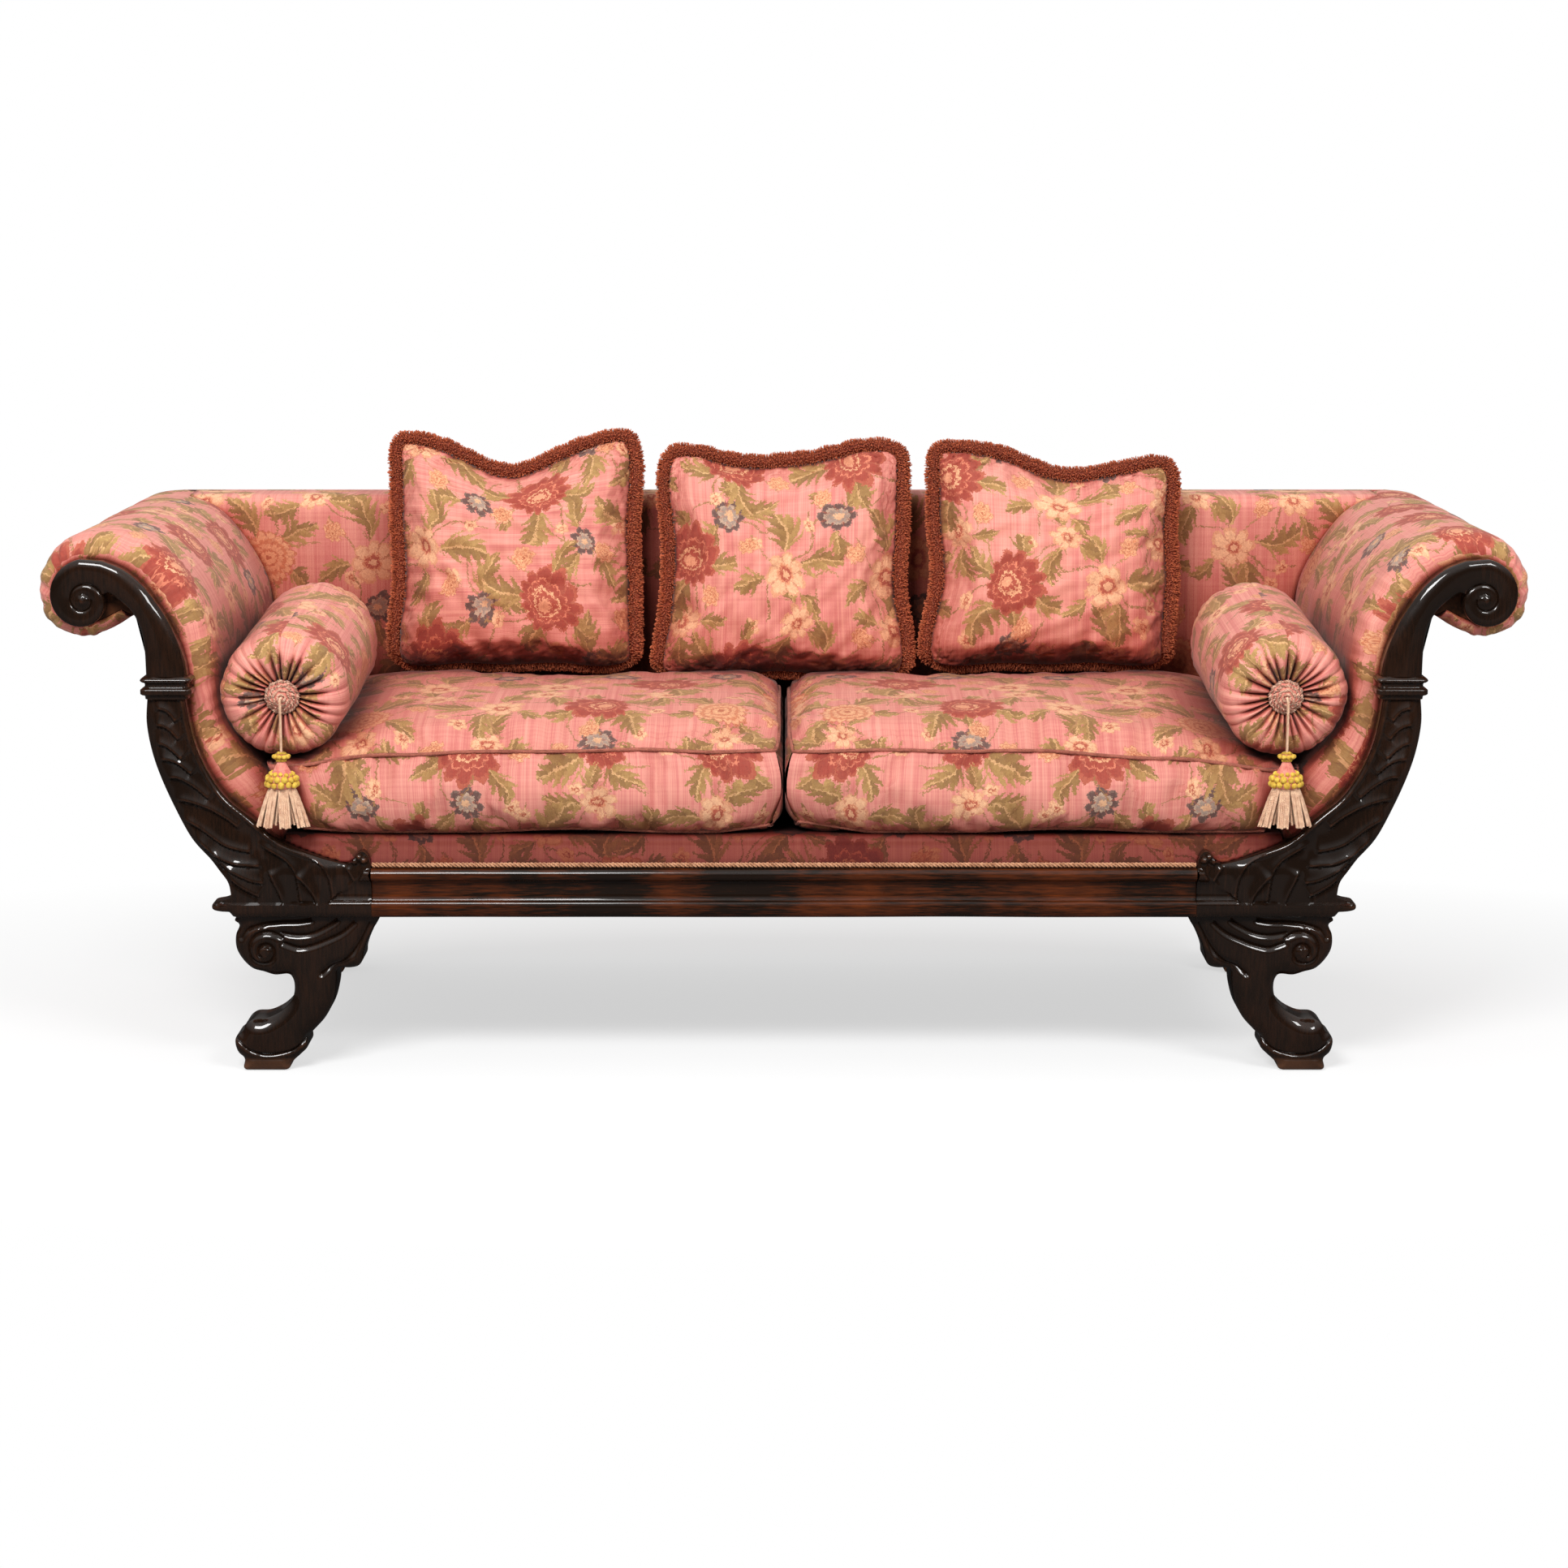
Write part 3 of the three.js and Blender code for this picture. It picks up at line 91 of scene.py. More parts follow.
ARM_OUTSIDE = [
    (0, 0), (0, 0.098), (0.011, 0.18), (0.067, 0.266), (0.16, 0.353), (0.233, 0.43),
    (0.265, 0.527), (0.27, 0.624), (0.291, 0.72), (0.348, 0.817), (0.42, 0.894), (0.508, 0.956),
    (0.615, 0.99), (0.722, 1), (0.842, 0.986), (0.936, 0.942), (0.992, 0.875), (1, 0.813),
    (0.971, 0.739), (0.896, 0.697), (0.797, 0.683), (0.711, 0.705), (0.618, 0.747),
]
BOARD_INSIDE = [
    (0.083, 0), (0.083, 0.087), (0.136, 0.145), (0.227, 0.203), (0.305, 0.276), (0.358, 0.363),
    (0.388, 0.469), (0.396, 0.604), (0.42, 0.691), (0.468, 0.763), (0.527, 0.828), (0.596, 0.876),
    (0.682, 0.909), (0.762, 0.919), (0.842, 0.909), (0.896, 0.88), (0.92, 0.84), (0.922, 0.801),
    (0.904, 0.763), (0.856, 0.736), (0.797, 0.728), (0.73, 0.743), (0.65, 0.772),
]
BOARD_OUTSIDE = [
    (0.59, 0.752), (0.559, 0.728), (0.535, 0.681), (0.524, 0.6), (0.527, 0.521), (0.527, 0.44),
    (0.511, 0.359), (0.479, 0.28), (0.425, 0.189), (0.358, 0.098), (0.291, 0.039), (0.243, 0),
]
NECK_INSIDE = [
    (0.377, 0.581), (0.385, 0.624), (0.409, 0.681), (0.447, 0.743), (0.492, 0.797), (0.548, 0.851),
    (0.623, 0.896), (0.708, 0.922),
]
NECK_OUTSIDE = [
    (0.69, 0.829), (0.652, 0.811), (0.596, 0.774), (0.564, 0.728), (0.548, 0.672), (0.545, 0.581),
]
STUMP_OUTSIDE = [
    (0.545, 0.51), (0.551, 0.44), (0.535, 0.359), (0.503, 0.28), (0.449, 0.185), (0.382, 0.089),
    (0.305, 0.023), (0.249, -0.167), (0.23, -0.346), (0.222, -0.603),
]
STUMP_EAR = [
    (0.255, -0.655), (0.291, -0.69), (0.302, -0.75), (0.297, -0.83), (0.27, -0.87), (0.23, -0.885),
]
STUMP_FOOT = [(0.217, -0.99), (-0.361, -0.99), (-0.361, -0.3), (-0.35, -0.12)]
STUMP_TIP = [
    (-0.36, -0.02), (-0.356, 0.02), (-0.343, 0.042), (-0.325, 0.05), (-0.305, 0.044),
    (-0.288, 0.022),
]
STUMP_INSIDE = [
    (-0.254, 0.012), (-0.166, 0.029), (-0.024, 0.066), (0.048, 0.098), (0.134, 0.153),
    (0.233, 0.216), (0.302, 0.29), (0.348, 0.369), (0.372, 0.44), (0.385, 0.51),
]
# Where one lobe of the stump's leaf laps over the next, and the leaf's lower hem on the rail.
STUMP_FOLDS = [
    [(0.51, 0.475), (0.49, 0.478), (0.46, 0.468), (0.43, 0.44)],
    [(0.517, 0.425), (0.495, 0.428), (0.461, 0.418), (0.42, 0.385)],
    [(0.516, 0.372), (0.49, 0.372), (0.456, 0.358), (0.408, 0.326)],
    [(0.506, 0.322), (0.475, 0.325), (0.424, 0.313), (0.369, 0.28)],
    [(0.479, 0.262), (0.435, 0.271), (0.367, 0.246), (0.3, 0.205)],
    [(0.464, 0.205), (0.395, 0.2), (0.31, 0.179), (0.233, 0.147), (0.18, 0.115)],
    [(0.432, 0.154), (0.347, 0.119), (0.254, 0.07), (0.186, 0.052), (0.125, 0.045)],
    [(0.383, 0.096), (0.299, 0.042), (0.214, 0.01), (0.136, 0.003), (0.09, 0.0)],
    [(0.325, 0.045), (0.232, -0.062), (0.146, -0.276), (0.077, -0.34)],
    [(0.266, -0.041), (0.199, -0.361), (0.105, -0.617)],
    [(0.115, 0.074), (0.064, 0.051), (-0.004, 0.019), (-0.041, -0.126), (-0.056, -0.51),
     (-0.06, -0.76)],
    [(0.046, 0.071), (-0.057, 0.045), (-0.134, 0.016), (-0.176, -0.169), (-0.191, -0.51),
     (-0.185, -0.79)],
    [(0.075, -0.041), (0.051, -0.297), (0.026, -0.553), (0.01, -0.79)],
    [(-0.041, -0.126), (-0.088, -0.382), (-0.117, -0.596), (-0.129, -0.79)],
    [(-0.075, 0.067), (-0.161, 0.045), (-0.229, 0.016), (-0.263, -0.084), (-0.288, -0.34)],
]
STUMP_HEM = [
    (0.6, -0.72), (0.228, -0.72), (-0.18, -0.72), (-0.2, -0.62), (-0.226, -0.5), (-0.261, -0.45),
    (-0.3, -0.28), (-0.33, -0.06), (-0.36, 0.0),
]
COLLAR_LEVELS = [
    (0, 0.3), (0.08, 0.8), (0.16, 1), (0.24, 0.75), (0.3, 0.3), (0.4, 0.22), (0.48, 0.3),
    (0.53, 0.8), (0.62, 1.1), (0.72, 1.1), (0.8, 0.8), (0.86, 0.3), (1, 0.2),
]
LEG_OUTLINE = [
    (0.955, 1), (0.978, 0.967), (0.947, 0.936), (0.973, 0.87), (0.97, 0.787), (0.928, 0.714),
    (0.865, 0.658), (0.791, 0.637), (0.717, 0.616), (0.631, 0.621), (0.601, 0.596), (0.59, 0.549),
    (0.597, 0.487), (0.626, 0.435), (0.681, 0.383), (0.747, 0.347), (0.801, 0.331), (0.877, 0.326),
    (0.926, 0.295), (0.95, 0.25), (0.994, 0.211), (1, 0.164), (0.981, 0.112), (0.939, 0.07),
    (0.925, 0), (0.666, 0), (0.621, 0.05), (0.56, 0.1), (0.512, 0.15), (0.508, 0.215),
    (0.459, 0.265), (0.392, 0.335), (0.345, 0.414), (0.315, 0.518), (0.304, 0.6), (0.3, 0.648),
    (0.27, 0.662), (0.21, 0.662), (0.155, 0.675), (0.126, 0.715), (0.12, 0.762), (0.095, 0.83),
    (0.05, 0.915), (0, 1),
]
LEG_GROOVES = [
    [(0.93, 0.864), (0.884, 0.915), (0.792, 0.948), (0.659, 0.965), (0.543, 0.968), (0.46, 0.98)],
    [(0.661, 0.896), (0.545, 0.88), (0.437, 0.896), (0.328, 0.951), (0.286, 0.98)],
    [(0.645, 0.832), (0.548, 0.8), (0.465, 0.812), (0.381, 0.84), (0.255, 0.896), (0.17, 0.965)],
    [(0.4, 0.63), (0.33, 0.68), (0.25, 0.715), (0.185, 0.77), (0.13, 0.85), (0.07, 0.96)],
]
FOOT_GROOVE = [
    (1.0, 0.225), (0.93, 0.16), (0.877, 0.13), (0.778, 0.11), (0.652, 0.125), (0.58, 0.155),
    (0.505, 0.225),
]
LEG_VOLUTE = (0.775, 0.775)
RAIL_PROFILE = [
    (1, 1), (0.3, 1), (0.14, 0.985), (0.04, 0.935), (0, 0.87), (0.03, 0.8), (0.12, 0.755),
    (0.2, 0.745), (0.22, 0.72), (0.27, 0.66), (0.28, 0.55), (0.27, 0.44), (0.22, 0.37),
    (0.18, 0.345), (0.06, 0.33), (0, 0.27), (-0.02, 0.2), (0, 0.12), (0.07, 0.05), (0.2, 0.01),
    (1, 0),
]
RAIL_END_X = 0.6396
LEG_OUTER_X = 0.862
LEG_INNER_X = 0.629

# The cloth run that blows up a cushion or a pillow, and how near its seams a point is held.
CLOTH_FRAMES = 20
SEAM_REACH = 0.6 * MM
FABRIC = {
    "quality": 4, "mass": 0.3, "tension_stiffness": 15, "compression_stiffness": 15,
    "shear_stiffness": 5, "bending_stiffness": 0.4, "shrink_min": -0.05, "use_pressure": True,
    "uniform_pressure_force": 4.0,
}

PORE_COLOUR = (0.004, 0.003, 0.002, 1)
MADE = {}  # materials, node groups and geometry trees, by name


def linear(red, green, blue):
    """A display colour, 0 to 255, as linear red, green, blue and alpha."""
    def one(value):
        share = value / 255
        return share / 12.92 if share <= 0.04045 else ((share + 0.055) / 1.055) ** 2.4
    return (one(red), one(green), one(blue), 1.0)


class SofaCloth(bpy.types.PropertyGroup):
    """The floral cloth that covers the sofa."""
    ground: FloatVectorProperty(
        name="Ground", description="Colour of the cloth between its flowers", subtype="COLOR",
        size=4, min=0, max=1, default=linear(227, 147, 131))
    repeat: FloatProperty(
        name="Repeat", description="Width of one unit of the pattern", unit="LENGTH",
        min=0.05, max=1, default=0.186)
    thread: FloatProperty(
        name="Thread", description="Width of one step in the woven edge of a flower",
        unit="LENGTH", min=0.0002, max=0.01, default=0.0014)


class SofaTrim(bpy.types.PropertyGroup):
    """Welts, fringe, cords and tassels."""
    welt_radius: FloatProperty(
        name="Welt radius", description="Half the thickness of the covered welt",
        unit="LENGTH", min=0.001, max=0.01, default=0.0032)
    fringe_width: FloatProperty(
        name="Fringe width", description="How far the fringe stands out of a pillow",
        unit="LENGTH", min=0.005, max=0.08, default=0.02324)
    fringe_density: FloatProperty(
        name="Fringe density", description="Tufts on a square metre of the fringe",
        min=1000, max=500000, default=200000)
    strands: IntProperty(
        name="Skirt strands", description="Twisted strands in a tassel's skirt",
        min=8, max=200, default=46)


class SofaWood(bpy.types.PropertyGroup):
    """The carved and polished show wood."""
    dark: FloatVectorProperty(
        name="Dark", description="Colour of the polished wood", subtype="COLOR", size=4,
        min=0, max=1, default=linear(25, 15, 9))
    warm: FloatVectorProperty(
        name="Warm", description="Colour where the polish is thin", subtype="COLOR", size=4,
        min=0, max=1, default=linear(48, 27, 16))
    cell: FloatProperty(
        name="Carving cell", description="Spacing of the carved surface's points",
        unit="LENGTH", min=0.001, max=0.02, default=0.0026)


class SofaSettings(bpy.types.PropertyGroup):
    """Everything about the sofa that a user may change."""
    cloth: PointerProperty(type=SofaCloth)
    trim: PointerProperty(type=SofaTrim)
    wood: PointerProperty(type=SofaWood)


def settings():
    return bpy.context.scene.sofa


# Lines and outlines.


def arm_point(share):
    across, up = share
    height = RAIL_HEIGHT if up < 0 else ARM_RISE
    return (ARM_FACE_X + across * ARM_REACH, RAIL_TOP + up * height)


def leg_point(share):
    return (LEG_OUTER_X - (LEG_OUTER_X - LEG_INNER_X) * (1 - share[0]), LEG_HEIGHT * share[1])


def spline(points, count):
    """A smooth line of count points through the given ones."""
    p = np.asarray(points, float)
    at = np.linspace(0, len(p) - 1, count)
    i = np.minimum(at.astype(int), len(p) - 2)
    w = (at - i)[:, None]
    a, b, c, d = (p[np.clip(i + k, 0, len(p) - 1)] for k in (-1, 0, 1, 2))
    start, end = (c - a) / 2, (d - b) / 2
    return (2 * b - 2 * c + start + end) * w**3 + (-3 * b + 3 * c - 2 * start - end) * w**2 \
        + start * w + b


def arm_curve(shares, count):
    return spline([arm_point(p) for p in shares], count)


def leg_curve(shares, count):
    return spline([leg_point(p) for p in shares], count)


def lengths(line):
    """How far along a line each of its points lies."""
    return np.concatenate([[0], np.cumsum(np.linalg.norm(np.diff(line, axis=0), axis=1))])


def even(line, spacing, loop=False):
    """The same line with points at an even spacing."""
    line = np.asarray(line, float)
    if loop:
        line = np.vstack([line, line[:1]])
    along = lengths(line)
    count = max(int(round(along[-1] / spacing)), 2)
    at = np.linspace(0, along[-1], count + 1)
    made = np.stack([np.interp(at, along, line[:, k]) for k in range(line.shape[1])], 1)
    return made[:-1] if loop else made


def unit(vectors):
    return vectors / np.linalg.norm(vectors, axis=-1, keepdims=True)


def left_of(line):
    """Unit vectors square to a flat line, to its left."""
    along = np.gradient(line, axis=0)
    along /= np.linalg.norm(along, axis=1)[:, None] + TINY
    return np.stack([-along[:, 1], along[:, 0]], 1)


def step(low, high, x):
    """A smooth step: 0 up to low, 1 from high on."""
    t = np.clip((np.asarray(x, float) - low) / (high - low), 0, 1)
    return t * t * (3 - 2 * t)


def bell(distance, width):
    return np.exp(-(distance / width) ** 2)


def knob(distance, radius):
    """The height of a ball's upper half, as a share of its radius."""
    return np.sqrt(np.clip(1 - (distance / radius) ** 2, 0, 1))


def waves(seed, count, low, high):
    """A smooth random function of two numbers, from -1 to 1 or so."""
    dice = np.random.default_rng(seed)
    angle = dice.uniform(0, TAU, count)
    size = dice.uniform(low, high, count)
    phase = dice.uniform(0, TAU, count)

    def height(u, v):
        total = 0
        for k in range(count):
            total = total + np.sin(
                TAU * (u * math.cos(angle[k]) + v * math.sin(angle[k])) / size[k] + phase[k])
        return total / math.sqrt(count)
    return height


def beside(points, line):
    """Distance from a flat line, on which side of it, and how far along it, from 0 to 1."""
    best = np.full(len(points), np.inf)
    side, share = np.zeros(len(points)), np.zeros(len(points))
    for i, (a, b) in enumerate(zip(line[:-1], line[1:])):
        along, from_a = b - a, points - a
        t = np.clip((from_a @ along) / (along @ along + TINY * MM ** 2), 0, 1)
        away = np.linalg.norm(from_a - t[:, None] * along, axis=1)
        nearer = away < best
        best = np.where(nearer, away, best)
        side = np.where(nearer, along[0] * from_a[:, 1] - along[1] * from_a[:, 0], side)
        share = np.where(nearer, (i + t) / (len(line) - 1), share)
    return best, side, share


def segment_distance(points, line):
    """Distance of each point from a flat line."""
    best = np.full(len(points), np.inf)
    for a, b in zip(line[:-1], line[1:]):
        along = b - a
        t = np.clip(((points - a) @ along) / (along @ along + TINY * MM ** 2), 0, 1)
        away = np.linalg.norm(points - a - t[:, None] * along, axis=1)
        np.minimum(best, away, out=best)
    return best


def inside_of(points, outline):
    """Which points lie inside a flat outline."""
    x, z = points[:, 0], points[:, 1]
    hit = np.zeros(len(points), bool)
    for (x0, z0), (x1, z1) in zip(outline, np.roll(outline, -1, axis=0)):
        if z0 != z1:
            crosses = (z0 > z) != (z1 > z)
            hit ^= crosses & (x < (x1 - x0) * (z - z0) / (z1 - z0) + x0)
    return hit


# Meshes.


def linked(name, data):
    """A new object in the scene."""
    thing = bpy.data.objects.new(name, data)
    bpy.context.scene.collection.objects.link(thing)
    return thing


def finished(name, made, material, sharp=None):
    """A smooth-shaded object from a bmesh, with its faces turned outwards."""
    bmesh.ops.recalc_face_normals(made, faces=made.faces)
    mesh = bpy.data.meshes.new(name)
    made.to_mesh(mesh)
    made.free()
    mesh.polygons.foreach_set("use_smooth", [True] * len(mesh.polygons))
    if sharp:
        mesh.set_sharp_from_angle(angle=math.radians(sharp))
    mesh.materials.append(MADE[material])
    return linked(name, mesh)


def make_piece(name, points, faces, material, corner_uv=None, weld=WELD, sharp=None):
    """An object from points and faces, welded, with its place on the cloth at each corner."""
    mesh = bpy.data.meshes.new("rough")
    mesh.from_pydata(np.asarray(points, float).tolist(), [], faces)
    if corner_uv is not None:
        layer = mesh.uv_layers.new(name="cloth")
        layer.uv.foreach_set("vector", np.asarray(corner_uv, np.float32).ravel())
    made = bmesh.new()
    made.from_mesh(mesh)
    bpy.data.meshes.remove(mesh)
    if weld:
        bmesh.ops.remove_doubles(made, verts=made.verts, dist=weld)
        bmesh.ops.dissolve_degenerate(made, edges=made.edges, dist=weld / 4)
    return finished(name, made, material, sharp)


def from_patches(name, patches, material, **more):
    """A piece from grids of points, each with its place on the cloth."""
    points, faces, corners, base = [], [], [], 0
    for grid, place in patches:
        rows, columns = grid.shape[:2]
        at = np.arange(rows * columns).reshape(rows, columns)
        quads = np.stack([at[:-1, :-1], at[:-1, 1:], at[1:, 1:], at[1:, :-1]], -1).reshape(-1, 4)
        points.append(grid.reshape(-1, 3))
        faces.extend((quads + base).tolist())
        corners.append(place.reshape(-1, 2)[quads.ravel()])
        base += rows * columns
    return make_piece(
        name, np.concatenate(points), faces, material, np.concatenate(corners), **more)


def spread(*parts):
    """A grid of points, or of places, from parts that are spread over its rows and columns."""
    return np.stack(np.broadcast_arrays(*parts), -1).astype(float)


def flat_place(grid, first=0, second=2):
    return grid[..., [first, second]]


def between(a, b):
    """A patch of straight lines from one edge to another."""
    grid = np.stack([a, b])
    return grid, spread(lengths(a), np.linalg.norm(grid - a, axis=-1))


def lids(grid):
    """Flat patches that close the first and the last ring of a grid of rings."""
    made = []
    for ring in (grid[0], grid[-1]):
        patch = np.stack([ring, np.broadcast_to(ring.mean(0), ring.shape)])
        made.append((patch, flat_place(patch)))
    return made


def coordinates(thing):
    co = np.zeros(len(thing.data.vertices) * 3, np.float32)
    thing.data.vertices.foreach_get("co", co)
    return co.reshape(-1, 3).astype(float)


def move_points(thing, points):
    thing.data.vertices.foreach_set("co", points.astype(np.float32).ravel())
    thing.data.update()


def flipped(thing):
    """The same piece, mirrored to the other side."""
    move_points(thing, coordinates(thing) * (-1, 1, 1))
    thing.data.flip_normals()
    return thing


def mirrored(thing, name, shift=(0.0, 0.0)):
    """A copy of a piece on the other side, with its own part of the cloth."""
    mesh = thing.data.copy()
    mesh.name = name
    copy = flipped(linked(name, mesh))
    for layer in mesh.uv_layers:
        uv = np.zeros(len(mesh.loops) * 2, np.float32)
        layer.uv.foreach_get("vector", uv)
        uv = uv.reshape(-1, 2) + np.array(shift, np.float32)
        layer.uv.foreach_set("vector", uv.ravel())
    return copy


def pair(thing, left_name, shift=(0.0, 0.0)):
    """A piece of the right side, with its twin of the left."""
    return [thing, mirrored(thing, left_name, shift)]


def filled(thing, seams, cap, least_x=None):
    """Loose cloth blown up from inside: a short cloth run that is held at its seams."""
    start = coordinates(thing)
    tree = KDTree(len(seams))
    for i, point in enumerate(seams):
        tree.insert(Vector(point), i)
    tree.balance()
    pins = [i for i, p in enumerate(start.tolist()) if tree.find(p)[2] < SEAM_REACH]
    held = thing.vertex_groups.new(name="seams")
    held.add(pins, 1.0, "REPLACE")
    cloth = thing.modifiers.new("fabric", "CLOTH")
    for key, value in FABRIC.items():
        setattr(cloth.settings, key, value)
    cloth.settings.effector_weights.gravity = 0
    cloth.settings.vertex_group_mass = held.name
    cloth.collision_settings.use_collision = False
    for number in range(1, CLOTH_FRAMES + 1):
        bpy.context.scene.frame_set(number)
    moved = coordinates(thing.evaluated_get(bpy.context.evaluated_depsgraph_get())) - start
    away = np.linalg.norm(moved, axis=1, keepdims=True)
    thing.modifiers.remove(cloth)
    thing.vertex_groups.remove(held)
    bpy.context.scene.frame_set(1)
    end = start + moved * np.minimum(1, cap / np.maximum(away, TINY))
    if least_x is not None:
        end[:, 0] = np.maximum(end[:, 0], np.minimum(start[:, 0], least_x))
    move_points(thing, end)


def baked(thing):
    """The piece with its modifiers made part of its mesh."""
    bpy.context.view_layer.update()
    view = bpy.context.evaluated_depsgraph_get()
    mesh = bpy.data.meshes.new_from_object(thing.evaluated_get(view), depsgraph=view)
    old = thing.data
    thing.modifiers.clear()
    thing.data = mesh
    mesh.name = thing.name
    if old.users == 0:
        bpy.data.meshes.remove(old)
    return thing


def joined(things, name):
    """Several pieces as one object."""
    with bpy.context.temp_override(
            active_object=things[0], selected_editable_objects=things,
            selected_objects=things, object=things[0]):
        bpy.ops.object.join()
    things[0].name = name
    things[0].data.name = name
    return things[0]


def fit_piece(thing, body, nodes=()):
    """Hangs a finished piece on its body and hides the nodes it stands for."""
    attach(thing, body)
    if nodes:
        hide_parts(*nodes)


def ride_pair(pieces, body, nodes):
    """Fits a piece on the right and its twin on the left; {} stands for the side's name."""
    for thing, (side, _) in zip(pieces, SIDES):
        fit_piece(thing, body.format(side), [n.format(side) for n in nodes])


# Node trees.


class Value:
    """A socket of a node tree that can be reckoned with like a number."""

    def __init__(self, tree, socket):
        self.tree, self.socket = tree, socket

    def __rsub__(self, other):
        return self.tree.math("SUBTRACT", other, self)

    def __abs__(self):
        return self.tree.math("ABSOLUTE", self)

    def clamped(self, scale, shift):
        """This times scale plus shift, kept from 0 to 1."""
        return self.tree.math("MULTIPLY_ADD", self, scale, shift, clamp=True)

    def all(self):
        """Every output of this one's node."""
        return [Value(self.tree, socket) for socket in self.socket.node.outputs]

    def split(self):
        return self.tree.add("ShaderNodeSeparateXYZ", [self]).all()


for sign, deed in {"add": "ADD", "sub": "SUBTRACT", "mul": "MULTIPLY", "truediv": "DIVIDE",
                   "lt": "LESS_THAN", "gt": "GREATER_THAN"}.items():
    setattr(Value, f"__{sign}__",
            lambda self, other, deed=deed: self.tree.math(deed, self, other))


class Tree:
    """Adds nodes to a tree."""

    def __init__(self, tree):
        self.tree = tree

    def put(self, socket, value):
        if isinstance(value, Value):
            self.tree.links.new(value.socket, socket)
        else:
            socket.default_value = value

    def add(self, kind, inputs=(), out=0, **set_to):
        """An output of a new node, whose inputs are given in order or by name."""
        node = self.tree.nodes.new(kind)
        for key, value in set_to.items():
            setattr(node, key, value)
        for key, value in inputs.items() if isinstance(inputs, dict) else enumerate(inputs):
            self.put(node.inputs[key], value)
        return Value(self, node.outputs[out])

    def fill(self, node, **inputs):
        for key, value in inputs.items():
            self.put(node.inputs[key.replace("_", " ")], value)

    def math(self, operation, *values, clamp=False):
        return self.add("ShaderNodeMath", values, operation=operation, use_clamp=clamp)

    def vector(self, operation, *values):
        return self.add("ShaderNodeVectorMath", values, operation=operation)

    def mix(self, factor, a, b, blend="MIX"):
        return self.add(
            "ShaderNodeMix", {0: factor, 6: a, 7: b}, 2, data_type="RGBA", blend_type=blend)

    def blend(self, factor, a, b):
        return self.add("ShaderNodeMix", {0: factor, 2: a, 3: b}, data_type="FLOAT")

    def ramp(self, value, stops, mode="LINEAR"):
        made = self.add("ShaderNodeValToRGB", [value])
        ramp = made.socket.node.color_ramp
        ramp.interpolation = mode
        while len(ramp.elements) < len(stops):
            ramp.elements.new(1.0)
        for point, (at, _) in zip(ramp.elements, stops):
            point.position = at
        for point, (_, colour) in zip(ramp.elements, stops):
            point.color = colour
        return made

    def combine(self, x, y, z=0.0):
        return self.add("ShaderNodeCombineXYZ", [x, y, z])

    def group(self, tree, **inputs):
        made = self.add("ShaderNodeGroup", inputs, node_tree=MADE[tree])
        return made.all()

    def noise(self, vector, scale, detail=2.0, rough=0.5, flat=False, out=0):
        return self.add(
            "ShaderNodeTexNoise",
            {"Vector": vector, "Scale": scale, "Detail": detail, "Roughness": rough}, out,
            noise_dimensions="2D" if flat else "3D")

    def object_place(self):
        return self.add("ShaderNodeTexCoord", out="Object")


def new_group(name, inputs, outputs, kind="ShaderNodeTree"):
    """An empty node group: its builder, its inputs by name, and what fills its outputs."""
    tree = MADE[name] = bpy.data.node_groups.new(name, kind)
    for way, sorts in (("INPUT", inputs), ("OUTPUT", outputs)):
        for sort, labels in sorts.items():
            for label in labels.split():
                tree.interface.new_socket(
                    label.replace("_", " "), in_out=way, socket_type="NodeSocket" + sort)
    t = Tree(tree)
    inlet, outlet = tree.nodes.new("NodeGroupInput"), tree.nodes.new("NodeGroupOutput")

    def give(**made):
        t.fill(outlet, **made)
    return t, {socket.name: Value(t, socket) for socket in inlet.outputs}, give


def cell_group():
    """Places a unit of the pattern: the point in its cell, turned at random, and a chance."""
    t, given, give = new_group(
        "pattern cell", {"Vector": "Vector", "Float": "Size Seed"},
        {"Vector": "Local", "Float": "Kind"})
    x, y, _ = given["Vector"].split()
    size = given["Size"]
    row = t.math("ROUND", y / size)
    pushed = x - row * size * 0.5
    column = t.math("ROUND", pushed / size)
    local = t.combine(pushed - column * size, y - row * size)
    key = t.combine(
        t.math("FLOORED_MODULO", column, 5.0), t.math("FLOORED_MODULO", row, 4.0), given["Seed"])
    chance = t.add("ShaderNodeTexWhiteNoise", [key], "Color", noise_dimensions="3D")
    first, second, _ = chance.split()
    turned = t.add(
        "ShaderNodeVectorRotate", {"Vector": local, "Angle": first * TAU}, rotation_type="Z_AXIS")
    give(Local=t.vector("MULTIPLY", turned, (10, 10, 10)), Kind=second)


def leaf_group():
    """A curved leaf with pointed lobes that sweep to its tip."""
    t, given, give = new_group(
        "serrated leaf", {"Vector": "Vector Base", "Float": "Angle Length Width Bend Lobes"},
        {"Float": "Mask Shade"})
    base = t.vector("SUBTRACT", given["Vector"], given["Base"])
    turned = t.add(
        "ShaderNodeVectorRotate", {"Vector": base, "Angle": given["Angle"]},
        rotation_type="Z_AXIS")
    x, y, _ = turned.split()
    y, x = y / given["Length"], x / given["Length"]
    held = y.clamped(1.0, 0.0)
    x = x - (held - held * held) * given["Bend"]
    away, side = abs(x), x > 0.0
    saw = t.math("FRACT", given["Lobes"] * (y - away * 0.75) + side * 0.45)
    body = t.math("SINE", t.math("POWER", held, 0.8) * math.pi)
    edge = body * given["Width"] * (saw * 0.66 + 0.34)
    near = away / (given["Width"] + 0.02)
    tone = side * 0.3 + saw * 0.34 + near * 0.16
    give(Mask=away < edge, Shade=t.math("MAXIMUM", tone, away < 0.018))


